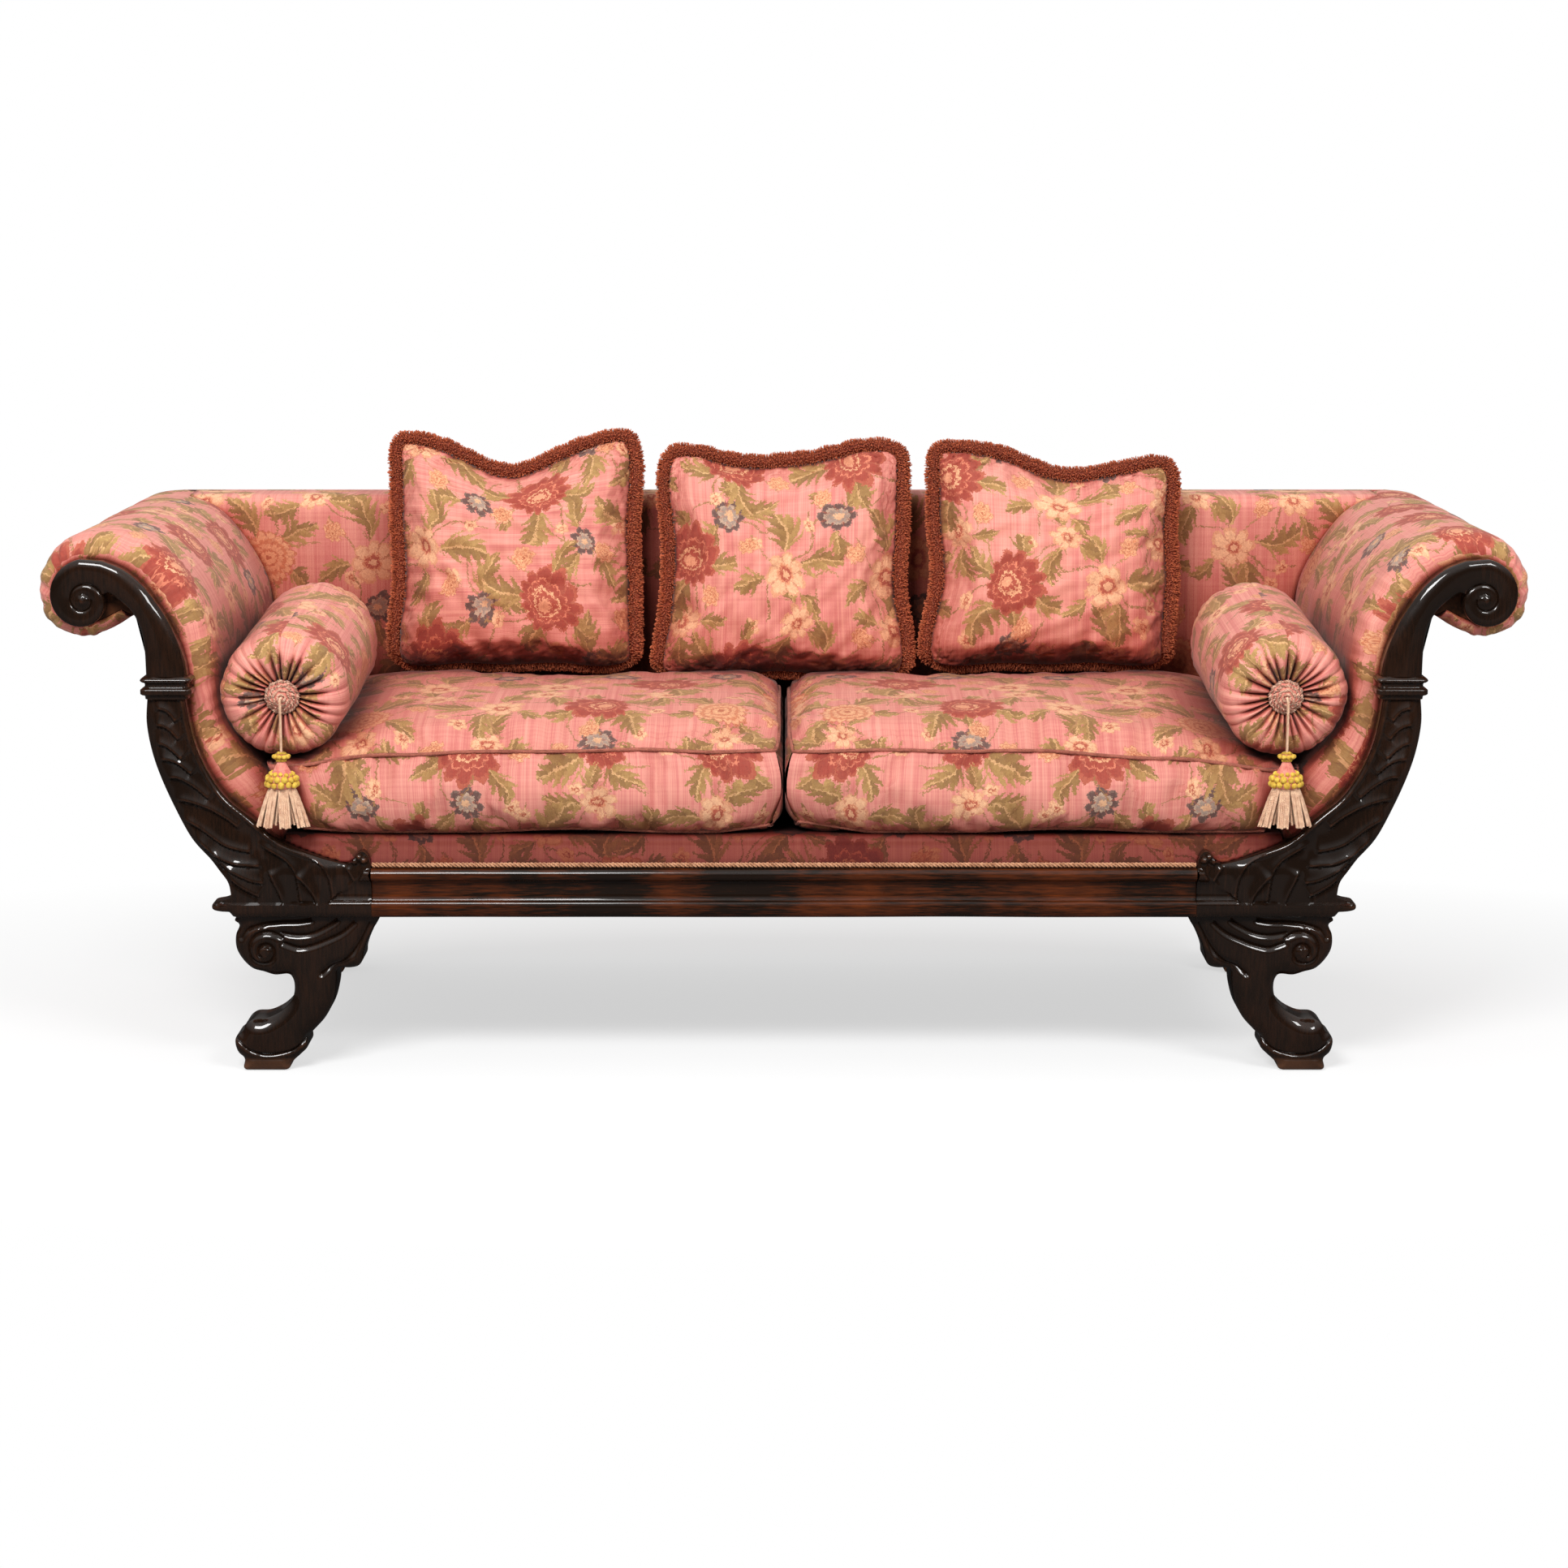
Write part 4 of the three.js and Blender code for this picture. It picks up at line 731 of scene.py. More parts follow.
def blossom_group():
    """How far out in a flower a point lies: above 1 it is outside its petals."""
    t, given, give = new_group(
        "blossom", {"Vector": "Vector Centre", "Float": "Radius Petals Notch Point Fan"},
        {"Float": "Ring Petal"})
    notch, fan, radius = given["Notch"], given["Fan"], given["Radius"]
    x, y, _ = t.vector("SUBTRACT", given["Vector"], given["Centre"]).split()
    y = y + fan * (radius * 0.5)
    reach = t.math("SQRT", x * x + y * y) / radius
    around = t.math("ARCTAN2", x, y)
    wave = abs(t.math("COSINE", around * given["Petals"] * 0.5))
    rim = (1.0 - notch) + t.math("POWER", wave, given["Point"]) * notch
    rim = rim * ((t.math("COSINE", around) * 0.5 - 0.5) * fan + 1.0)
    give(Ring=reach / rim, Petal=wave)


LEAF_COLOURS = [
    (0.0, linear(128, 108, 52)), (0.3, linear(150, 128, 66)), (0.55, linear(174, 150, 84)),
    (0.8, linear(198, 170, 104)), (1.0, linear(220, 186, 128)),
]
# Painted shade: how much darker and redder the cloth is painted where ambient occlusion finds it
# hemmed in.
PAINTED_CREASE_SHADE = [(0.0, linear(66, 28, 16)), (0.4, linear(190, 118, 96)), (1.0, (1, 1, 1, 1))]
PETAL_GAP = linear(186, 104, 76)
FLOWER_RINGS = {
    "peony": [
        (0.0, linear(240, 176, 136)), (0.2, linear(176, 74, 52)), (0.31, linear(246, 196, 150)),
        (0.38, linear(170, 66, 46)), (0.56, linear(228, 140, 108)), (0.62, linear(162, 58, 40)),
        (0.88, linear(186, 94, 68)),
    ],
    "marigold": [
        (0.0, linear(196, 116, 76)), (0.12, linear(246, 194, 146)), (0.3, linear(214, 136, 94)),
        (0.4, linear(244, 190, 144)), (0.6, linear(222, 148, 104)), (0.74, linear(246, 196, 150)),
        (0.92, linear(214, 136, 100)),
    ],
    "star": [
        (0.0, linear(246, 200, 156)), (0.18, linear(186, 94, 70)), (0.32, linear(232, 164, 122)),
        (0.42, linear(254, 212, 168)), (0.86, linear(240, 184, 142)),
    ],
    "blue": [
        (0.0, linear(232, 194, 152)), (0.26, linear(160, 158, 146)), (0.5, linear(196, 182, 160)),
        (0.62, linear(74, 74, 72)), (0.9, linear(108, 104, 96)),
    ],
}


def flower_colour(t, ring, kinds, kind, edges):
    """The colour of a flower of the kind that a chance picks."""
    colour = t.ramp(ring, FLOWER_RINGS[kinds[0]], "CONSTANT")
    for name, edge in zip(kinds[1:], edges):
        colour = t.mix(kind > edge, colour, t.ramp(ring, FLOWER_RINGS[name], "CONSTANT"))
    return colour


def picked(t, kind, values, edges):
    """Three numbers that go with the kind that a chance picks."""
    stops = [(at, (*value, 1.0)) for at, value in zip((0.0, *edges), values)]
    return t.add("ShaderNodeSeparateColor", [t.ramp(kind, stops, "CONSTANT")]).all()[:3]


def floral_group():
    """The woven pattern, from a place on the cloth in metres."""
    cell_group()
    leaf_group()
    blossom_group()
    t, given, give = new_group(
        "floral weave", {"Vector": "Vector", "Color": "Ground", "Float": "Repeat Thread"},
        {"Color": "Color", "Float": "Figure"})
    place, repeat, thread = given["Vector"], given["Repeat"], given["Thread"]

    # Hand-drawn outlines: the figures are bent a little, then their edges are stepped.
    def wobble(scale, size):
        away = t.vector(
            "SUBTRACT", t.noise(place, scale, 1.0, flat=True, out="Color"), (0.5, 0.5, 0.5))
        return t.vector("MULTIPLY", away, (size, size, 0))

    drawn = t.vector("ADD", place, t.vector("ADD", wobble(17.0, 0.026), wobble(260.0, 0.0078)))
    snapped = t.vector("SNAP", drawn, t.combine(thread, thread, thread))

    fine, broad, cross = (
        t.noise(t.vector("MULTIPLY", place, stretch), 1.0, detail, rough, True)
        for stretch, detail, rough in (
            ((820, 5, 1), 2.0, 0.6), ((95, 1.2, 1), 2.0, 0.5), ((3, 240, 1), 1.0, 0.5)))
    streak = fine * 0.62 + broad * 0.5 + (cross * 0.2 - 0.16)
    darker = t.mix(1.0, given["Ground"], linear(236, 212, 222), "MULTIPLY")
    lighter = t.mix(0.16, given["Ground"], linear(255, 216, 192))
    ground = t.mix(streak.clamped(3.0, -1.0), darker, lighter)
    colour, figure = ground, None

    def lay(mask, shade):
        nonlocal colour, figure
        colour = t.mix(mask, colour, shade)
        figure = t.math("MAXIMUM", figure, mask) if figure else mask

    def leaves(local, rows):
        for base, angle, length, width, bend, lobes in rows:
            mask, shade = t.group(
                "serrated leaf", Vector=local, Base=(*base, 0), Angle=math.radians(angle),
                Length=length, Width=width, Bend=bend, Lobes=lobes)
            lay(mask, t.ramp(shade, LEAF_COLOURS))

    def stem(local, sway, bend, offset, ends, shade):
        x, y, _ = local.split()
        bow = t.math("SINE", y * bend + offset) * sway
        lay((abs(x - bow) < 0.014) * (abs(y) < ends), shade)

    def flower(local, centre, radius, petals, notch, point, fan, kinds, kind=None, edges=()):
        ring, petal = t.group(
            "blossom", Vector=local, Centre=(*centre, 0), Radius=radius, Petals=petals,
            Notch=notch, Point=point, Fan=fan)
        shade = flower_colour(t, ring, kinds, kind, edges)
        cut = (petal < 0.24) * (ring > 0.34)
        lay(ring < 1.0, t.mix(cut * 0.5, shade, PETAL_GAP))

    # The smaller unit, between the large ones.
    half = repeat * 0.5
    shifted = t.vector("SUBTRACT", snapped, t.combine(half, half * 0.92))
    small, kind = t.group("pattern cell", Vector=shifted, Size=repeat, Seed=7.0)
    stem(small, 0.2, 3.4, 0.4, 0.8, linear(170, 138, 88))
    leaves(small, [
        ((0.08, -0.12), 150, 0.72, 0.38, 0.6, 4.0),
        ((-0.16, 0.28), -42, 0.68, 0.36, -0.55, 4.0),
        ((0.3, 0.1), 75, 0.5, 0.38, 0.4, 3.0),
    ])
    flower(small, (-0.46, -0.4), 0.16, 5.0, 0.45, 0.7, 0.0, ["star"])
    edges = (0.52,)
    petals, notch, point = picked(t, kind, [(0.4, 0.26, 0.9), (0.35, 0.46, 0.35)], edges)
    flower(small, (0.04, 0.1), 0.31, petals * 20.0, notch, point, 0.2, ["blue", "star"], kind,
           edges)

    # The large unit.
    large, kind = t.group("pattern cell", Vector=snapped, Size=repeat, Seed=3.0)
    stem(large, 0.16, 4.2, 0.0, 1.0, linear(160, 132, 78))
    x, y, _ = large.split()
    stem(t.combine(y, x), 0.2, 3.6, 1.0, 0.86, linear(182, 146, 96))
    leaves(large, [
        ((0.14, -0.12), 132, 0.96, 0.34, 0.62, 4.6),
        ((-0.2, -0.08), -118, 0.82, 0.32, -0.6, 4.0),
        ((0.26, 0.42), 34, 0.66, 0.34, 0.5, 3.4),
        ((-0.4, 0.34), -58, 0.56, 0.34, -0.5, 3.0),
    ])
    flower(large, (0.74, 0.06), 0.19, 7.0, 0.36, 0.6, 0.0, ["marigold"])
    flower(large, (0.02, -0.74), 0.15, 5.0, 0.42, 0.5, 0.3, ["star"])
    edges = (0.42, 0.74)
    petals, notch, point = picked(
        t, kind, [(0.65, 0.24, 0.8), (0.8, 0.16, 0.6), (0.35, 0.44, 0.4)], edges)
    size, fan, _ = picked(t, kind, [(0.7, 0.5, 0), (0.45, 0.0, 0), (0.4, 0.1, 0)], edges)
    flower(large, (-0.06, 0.2), size, petals * 20.0, notch, point, fan,
           ["peony", "marigold", "star"], kind, edges)

    # The figures' threads vary in tone, and the warp shows a little through them.
    tone = t.noise(snapped, 330.0, 2.0, 0.6, True)
    threads = t.mix(tone.clamped(2.2, -0.6), linear(214, 196, 190), linear(255, 250, 244))
    colour = t.mix(figure, colour, t.mix(1.0, colour, threads, "MULTIPLY"))
    give(Color=t.mix(figure * 0.14, colour, ground), Figure=figure)


def weave_group():
    """The height of a plain weave, from a place on the cloth in metres."""
    t, given, give = new_group(
        "weave relief", {"Vector": "Vector", "Float": "Thread"}, {"Float": "Height"})
    x, y, _ = given["Vector"].split()
    wave = t.math("DIVIDE", math.pi, given["Thread"])
    give(Height=t.math("SINE", x * wave) * t.math("SINE", y * wave))


def wear_group():
    """Where an edge is rubbed, from how far the surface bends there."""
    t, given, give = new_group(
        "edge wear", {"Vector": "Vector", "Float": "Amount"}, {"Float": "Mask"})
    bent = t.add("ShaderNodeNewGeometry", out="Pointiness").clamped(9.0, -4.75)
    patchy = t.noise(given["Vector"], 60.0, 3.0, 0.6)
    worn = bent * patchy.clamped(2.4, -0.7)
    give(Mask=t.math("MULTIPLY", worn, given["Amount"], clamp=True))


def principled(name, **plain):
    """A material with its principled shader, whose plain sockets are set by name."""
    material = MADE[name] = bpy.data.materials.new(name)
    material.use_nodes = True
    t = Tree(material.node_tree)
    shader = material.node_tree.nodes["Principled BSDF"]
    t.fill(shader, **plain)
    return t, shader


def bumped(t, shader, height, strength, distance):
    t.fill(shader, Normal=t.add(
        "ShaderNodeBump", {"Strength": strength, "Distance": distance, "Height": height}))


def cloth_material(name, deep=0.0):
    """The floral cloth, with painted shade in its creases; the deeper it is, the darker its
    painted shade and the less its sheen, for the cloth that lies in shade.
    """
    cloth = settings().cloth
    t, shader = principled(
        name, Sheen_Weight=0.18 * (1 - deep), Sheen_Roughness=0.5, Specular_IOR_Level=0.28,
        Sheen_Tint=linear(255, 222, 214))
    place = t.add("ShaderNodeUVMap", uv_map="cloth")
    colour, figure = t.group(
        "floral weave", Vector=place, Ground=tuple(cloth.ground), Repeat=cloth.repeat,
        Thread=cloth.thread)
    # Painted shade: deep mixes the colour towards itself times a warm brown.
    colour = t.mix(deep, colour, t.mix(1.0, colour, linear(140, 92, 78), "MULTIPLY"))
    # Painted shade in creases and between parts: ambient occlusion darkens the colour through the
    # crease ramp.
    near = t.add("ShaderNodeAmbientOcclusion", {"Distance": 0.2}, "AO", samples=4)
    t.fill(shader, Roughness=t.blend(figure, 0.66, 0.8),
           Base_Color=t.mix(1.0, colour, t.ramp(near, PAINTED_CREASE_SHADE), "MULTIPLY"))
    weave, = t.group("weave relief", Vector=place, Thread=0.0011)
    slub = t.noise(t.vector("MULTIPLY", place, (700, 26, 1)), 1.0, 2.0, 0.6, True)
    bumped(t, shader, weave * 0.5 + slub, 0.22, 0.0006)


def plain_cloth(name, colour, dark, thread=0.0012):
    """Cloth or yarn of one colour, for welts and linings."""
    t, shader = principled(name, Sheen_Weight=0.15, Sheen_Roughness=0.5, Specular_IOR_Level=0.25)
    place = t.object_place()
    mottle = t.noise(place, 90.0, 3.0, 0.6)
    fine = t.noise(place, 1 / thread, 2.0, 0.6)
    t.fill(shader, Base_Color=t.mix((mottle + fine).clamped(1.6, -1.1), dark, colour),
           Roughness=t.blend(mottle, 0.72, 0.92))
    bumped(t, shader, fine, 0.35, 0.0008)


def yarn_material(name, root, tip, tuft=False):
    """Twisted or cut yarn of a tone that varies at random; cut tufts are painted darker at the
    root and lighter at the tip, as painted shade and painted highlight.
    """
    t, shader = principled(name, Sheen_Weight=0.1, Sheen_Roughness=0.4, Specular_IOR_Level=0.3)
    place = t.object_place()
    patch = t.noise(place, 130.0, 3.0, 0.65)
    thread = t.noise(place, 900.0, 2.0, 0.6)
    height = (patch + thread * 0.5).clamped(1.9, -0.95)
    # Painted shade and painted highlight: on a tuft the colour runs from root to tip by its
    # height.
    if tuft:
        up = t.add("ShaderNodeAttribute", out="Fac", attribute_name="tuft_tip")
        height = t.math("POWER", up.clamped(0.55, height * 0.45), 1.7)
    t.fill(shader, Base_Color=t.mix(height, root, tip), Roughness=t.blend(patch, 0.6, 0.85))
    bumped(t, shader, thread, 0.4, 0.0006)


def wood_material(name, dark, warm, coat=0.9, grain_axis=(30, 30, 3), amount=0.8):
    """Polished hardwood: dark pores and streaks under a clear coat, rubbed at its edges."""
    t, shader = principled(
        name, Coat_Roughness=0.045, Specular_IOR_Level=0.06, Coat_Weight=coat)
    place = t.object_place()
    stretched = t.vector("MULTIPLY", place, grain_axis)
    grain = t.noise(stretched, 9.0, 6.0, 0.62)
    cloudy = t.noise(place, 7.0)
    pores = t.noise(t.vector("MULTIPLY", stretched, (4, 4, 4)), 60.0)
    smear = t.noise(place, 26.0, 3.0, 0.6)
    colour = t.mix((grain + cloudy * 1.1).clamped(1.9, -1.8), dark, warm)
    colour = t.mix(pores.clamped(-3.0, 1.5), colour, t.mix(0.3, colour, PORE_COLOUR))
    worn, = t.group("edge wear", Vector=place, Amount=amount)
    colour = t.mix(worn, colour, linear(122, 70, 42))
    scuff = place.split()[2].clamped(-60.0, 1.35) * cloudy.clamped(2.0, -0.2)
    t.fill(shader, Base_Color=t.mix(scuff * 0.8, colour, linear(112, 74, 52)),
           Roughness=t.blend(smear, 0.22, 0.36) + worn * 0.2)
    bumped(t, shader, pores + smear * 0.8, 0.1, 0.0006)


def metal_material(name, dark, light):
    t, shader = principled(name, Metallic=1.0)
    dull = t.noise(t.object_place(), 80.0, 3.0, 0.6)
    t.fill(shader, Base_Color=t.mix(dull, dark, light), Roughness=t.blend(dull, 0.28, 0.55))


def make_materials():
    floral_group()
    weave_group()
    wear_group()
    rope_tree()
    tuft_tree()
    dark, warm = tuple(settings().wood.dark), tuple(settings().wood.warm)
    for finish, rows in {
        cloth_material: (
            # The second and third floral cloths are copies darkened as painted shade: one for the
            # deck under the cushions, one for the seat cushions.
            ("floral_cloth",), ("deck_cloth", 0.97), ("cushion_cloth", 0.18)),
        plain_cloth: (
            ("welt_cloth", linear(226, 142, 120), linear(168, 92, 74)),
            ("jute_webbing", linear(176, 150, 102), linear(120, 98, 60), 0.002),
            ("black_cloth", linear(46, 42, 40), linear(22, 20, 19))),
        yarn_material: (
            # The fringe yarn's dark root and light tip colours are its painted shade and painted
            # highlight.
            ("fringe_yarn", linear(108, 34, 12), linear(236, 128, 84), True),
            ("tassel_yarn", linear(206, 156, 126), linear(250, 218, 186)),
            ("blush_yarn", linear(196, 96, 88), linear(236, 160, 140)),
            ("rosette_yarn", linear(190, 128, 104), linear(246, 206, 180)),
            ("cord_yarn", linear(140, 88, 58), linear(222, 168, 130)),
            ("gold_yarn", linear(176, 124, 24), linear(244, 214, 92))),
        wood_material: (
            ("show_wood", dark, warm),
            ("rail_wood", dark, linear(102, 46, 17), 0.6, (3, 40, 40)),
            ("frame_wood", linear(150, 108, 66), linear(190, 150, 100), 0.0, (30, 30, 3), 0.2),
            ("stained_wood", dark, warm, 0.3, (40, 4, 40))),
        metal_material: (
            ("spring_wire", linear(92, 92, 94), linear(168, 168, 170)),),
    }.items():
        for row in rows:
            finish(*row)


# Repeated trimmings.


def rope_tree():
    """Strands twisted round the edges of a mesh."""
    t, given, give = new_group(
        "rope", {"Geometry": "Geometry", "Int": "Strands Sides",
                 "Float": "Strand_radius Offset Lay Step", "Material": "Material"},
        {"Geometry": "Geometry"}, "GeometryNodeTree")
    curve = t.add("GeometryNodeMeshToCurve", [given["Geometry"]])
    resampled = t.add(
        "GeometryNodeResampleCurve", {"Curve": curve, "Length": given["Step"]}, mode="LENGTH")
    length = t.add("GeometryNodeSplineLength", out="Length")
    turns = t.math("MAXIMUM", t.math("ROUND", length / given["Lay"]), 1.0)
    share = t.add("GeometryNodeSplineParameter", out="Factor")
    tilted = t.add("GeometryNodeSetCurveTilt", {"Curve": resampled, "Tilt": share * turns * TAU})
    section = t.add(
        "GeometryNodeCurvePrimitiveCircle",
        {"Resolution": given["Sides"], "Radius": given["Strand radius"]})
    spots = t.add(
        "GeometryNodeMeshCircle", {"Vertices": given["Strands"], "Radius": given["Offset"]})
    placed = t.add("GeometryNodeInstanceOnPoints", {"Points": spots, "Instance": section})
    strands = t.add("GeometryNodeRealizeInstances", [placed])
    solid = t.add(
        "GeometryNodeCurveToMesh",
        {"Curve": tilted, "Profile Curve": strands, "Fill Caps": True})
    smooth = t.add("GeometryNodeSetShadeSmooth", [solid])
    give(Geometry=t.add(
        "GeometryNodeSetMaterial", {"Geometry": smooth, "Material": given["Material"]}))


def tuft_tree():
    """Cut tufts that stand on a surface and lean with its stored direction."""
    t, given, give = new_group(
        "tufts", {"Geometry": "Geometry", "Float": "Density Length Radius Spread", "Int": "Seed",
                  "Material": "Material"},
        {"Geometry": "Geometry"}, "GeometryNodeTree")
    seed, radius, length = given["Seed"], given["Radius"], given["Length"]
    points = t.add(
        "GeometryNodeDistributePointsOnFaces",
        {"Mesh": given["Geometry"], "Density": given["Density"], "Seed": seed}, "Points",
        distribute_method="RANDOM")
    outward = t.add(
        "GeometryNodeInputNamedAttribute", {"Name": "outward"}, "Attribute",
        data_type="FLOAT_VECTOR")
    chance = t.add(
        "FunctionNodeRandomValue", {0: (-1, -1, -1), 1: (1, 1, 1), "Seed": seed},
        data_type="FLOAT_VECTOR")
    lean = t.add(
        "ShaderNodeVectorMath", {0: chance, "Scale": given["Spread"]}, operation="SCALE")
    clump = t.add("ShaderNodeTexNoise", {"Scale": 55.0}, "Color")
    swirl = t.vector("MULTIPLY", t.vector("SUBTRACT", clump, (0.5, 0.5, 0.5)), (0.8, 0.8, 0.8))
    turn = t.add(
        "FunctionNodeAlignRotationToVector",
        {"Vector": t.vector("ADD", t.vector("ADD", outward, lean), swirl)}, axis="Z")
    tuft = t.add(
        "GeometryNodeMeshCone",
        {"Vertices": 3, "Radius Bottom": radius, "Radius Top": radius * 0.75, "Depth": length},
        "Mesh", fill_type="NGON")
    # The height up each tuft, kept for the fringe yarn's painted shade at the root and painted
    # highlight at the tip.
    height = t.add("GeometryNodeInputPosition").split()[2] / length
    marked = t.add(
        "GeometryNodeStoreNamedAttribute",
        {"Geometry": tuft, "Name": "tuft_tip", "Value": height}, data_type="FLOAT",
        domain="POINT")
    scale = t.add("FunctionNodeRandomValue", {2: 0.72, 3: 1.12}, 1, data_type="FLOAT")
    placed = t.add(
        "GeometryNodeInstanceOnPoints",
        {"Points": points, "Instance": marked, "Rotation": turn, "Scale": scale})
    both = t.add("GeometryNodeJoinGeometry", [t.add("GeometryNodeRealizeInstances", [placed])])
    t.put(both.socket.node.inputs[0], given["Geometry"])
    give(Geometry=t.add(
        "GeometryNodeSetMaterial", {"Geometry": both, "Material": given["Material"]}))


def grown(thing, tree, **inputs):
    """The piece after a geometry tree, as a plain mesh."""
    change = thing.modifiers.new("grow", "NODES")
    change.node_group = MADE[tree]
    for socket in change.node_group.interface.items_tree:
        key = socket.name.replace(" ", "_").lower()
        if socket.in_out == "INPUT" and key in inputs:
            change[socket.identifier] = inputs[key]
    return baked(thing)


def rope(name, lines, radius, material, strands=3, lay=None, loop=False, sides=7, spacing=None):
    """Twisted cord along lines; one strand makes a plain round welt."""
    points, edges = [], []
    for line in lines:
        first, count = len(points), len(line)
        points.extend(np.asarray(line, float).tolist())
        edges.extend((first + i, first + i + 1) for i in range(count - 1))
        if loop:
            edges.append((first + count - 1, first))
    mesh = bpy.data.meshes.new(name)
    mesh.from_pydata(points, edges, [])
    sine = math.sin(math.pi / strands)
    strand = radius * sine / (1 + sine) * 1.06 if strands > 1 else radius
    return grown(
        linked(name, mesh), "rope", strands=max(strands, 3), strand_radius=float(strand),
        offset=float(radius - strand), lay=float(lay or radius * 7),
        step=float(spacing or radius * 0.8), sides=sides, material=MADE[material])


def balls(name, centres, radii, material, squash=(1, 1, 1)):
    """Small round knots."""
    made = bmesh.new()
    bmesh.ops.create_icosphere(made, subdivisions=2, radius=1)
    shape = np.array([v.co[:] for v in made.verts])
    sides = np.array([[v.index for v in f.verts] for f in made.faces])
    made.free()
    points = [shape * radius * np.array(squash) + centre for centre, radius in zip(centres, radii)]
    faces = [side for k in range(len(points)) for side in (sides + k * len(shape)).tolist()]
    return make_piece(name, np.concatenate(points), faces, material, weld=0)


# Carved wood.

OUTLINE_SPACING = 0.8  # of a cell
ROW_SHARE = 0.87  # of a cell, as rows of equal triangles lie
RIM_DEPTHS = (0.35 * MM, 1.0 * MM, 2.0 * MM)
GROOVE_HALF = 1.2 * MM
CARVED_EDGE = 42  # degrees
LINE_SPACING = 1.5 * MM

def carved(name, outline, face, back_y, material, cell, lines=()):
    """A carved piece: its front follows face(points), its back is flat."""
    outline = even(outline, cell * OUTLINE_SPACING, loop=True)
    after = np.roll(outline, -1, axis=0)
    if np.sum(outline[:, 0] * after[:, 1] - after[:, 0] * outline[:, 1]) < 0:
        outline = outline[::-1]
    closed = np.vstack([outline, outline[:1]])
    along = np.roll(outline, -1, axis=0) - np.roll(outline, 1, axis=0)
    along = along / (np.linalg.norm(along, axis=1)[:, None] + TINY)
    inward = np.stack([-along[:, 1], along[:, 0]], 1)
    inner = []
    for depth in RIM_DEPTHS:
        ring = outline + inward * depth
        keep = inside_of(ring, outline) & (segment_distance(ring, closed) > 0.85 * depth)
        inner.append(ring[keep])
    for line in lines:
        away = left_of(line)
        inner += [line + away * shift for shift in (-GROOVE_HALF, 0, GROOVE_HALF)]
    inner = np.concatenate(inner)
    keep = inside_of(inner, outline) & (segment_distance(inner, closed) > 0.3 * MM)

    low, high = outline.min(0), outline.max(0)
    grid = np.stack(np.meshgrid(
        np.arange(low[0], high[0] + cell, cell),
        np.arange(low[1], high[1], cell * ROW_SHARE)), -1)
    grid[1::2, :, 0] += cell / 2
    grid = grid.reshape(-1, 2)
    grid = grid[inside_of(grid, outline)]
    grid = grid[segment_distance(grid, closed) > RIM_DEPTHS[-1] + cell * 0.45]
    for line in lines:
        grid = grid[segment_distance(grid, line) > GROOVE_HALF + cell * 0.4]
    points = np.concatenate([outline, inner[keep], grid])
    count = len(outline)
    flat, _, faces, _, _, _ = delaunay_2d_cdt(
        [Vector(p) for p in points.tolist()], [(i, (i + 1) % count) for i in range(count)], [],
        1, 1e-5)
    flat = np.array([v[:] for v in flat])

    made = bmesh.new()
    for p in np.stack([flat[:, 0], face(flat), flat[:, 1]], 1).tolist():
        made.verts.new(p)
    made.verts.ensure_lookup_table()
    for side in faces:
        try:
            made.faces.new([made.verts[i] for i in side])
        except ValueError:
            continue
    bmesh.ops.delete(made, geom=[v for v in made.verts if not v.link_faces], context="VERTS")
    rim = [e for e in made.edges if len(e.link_faces) == 1]
    for share in (0.5, 1.0):
        pulled = bmesh.ops.extrude_edge_only(made, edges=rim)["geom"]
        for v in (g for g in pulled if isinstance(g, bmesh.types.BMVert)):
            v.co.y += (back_y - v.co.y) * share
        rim = [g for g in pulled if isinstance(g, bmesh.types.BMEdge) and len(g.link_faces) == 1]
    bmesh.ops.triangle_fill(made, edges=rim, use_beauty=True)
    return finished(name, made, material, CARVED_EDGE)


def dome(distance, radius):
    """A quarter round that rises from an edge: 0 there, 1 at its radius and beyond."""
    t = 1 - np.clip(distance / radius, 0, 1)
    return np.sqrt(1 - t * t)


def ridge(distance, radius):
    """A slope that leaves a groove at an angle and levels out at its radius."""
    return np.sin(np.clip(distance / radius, 0, 1) * math.pi / 2)


def scroll_spiral(start, end, count):
    eye = np.array(arm_point(SCROLL_EYE))
    turn = np.linspace(start, end, count)
    reach = SPIRAL_START * np.exp(-SPIRAL_DECAY * turn)
    return eye + np.stack([np.sin(turn) * reach, np.cos(turn) * reach], 1)


def arm_scrolls(cell):
    last = 1.5 * math.pi + 0.3
    rim = even(np.concatenate([
        arm_curve(NECK_INSIDE, 60), scroll_spiral(0.06, last, 150),
        arm_curve(NECK_OUTSIDE, 40)]), LINE_SPACING)
    eye = np.array(arm_point(SCROLL_EYE))
    groove = even(scroll_spiral(last, 11.0, 140), LINE_SPACING)

    def face(points):
        away = np.linalg.norm(points - eye, axis=1)
        d = np.minimum(segment_distance(points, rim), segment_distance(points, groove))
        radius = np.clip(0.3 * away + 2 * MM, 5 * MM, 34 * MM)
        rise = dome(d, radius) * np.clip(0.5 * radius, 0, 16 * MM)
        cone = 5 * MM * bell(away, 34 * MM)
        button = 9 * MM * knob(away, 11 * MM)
        nick = 1.2 * MM * bell(segment_distance(points, scroll_spiral(11.0, 19.0, 60)), MM)
        return -0.341 - np.maximum(rise + cone, button + cone * 0.6) + nick

    thing = carved("scroll_right", rim, face, CARVING_BACK_Y, "show_wood", cell, [groove])
    return pair(thing, "scroll_left")


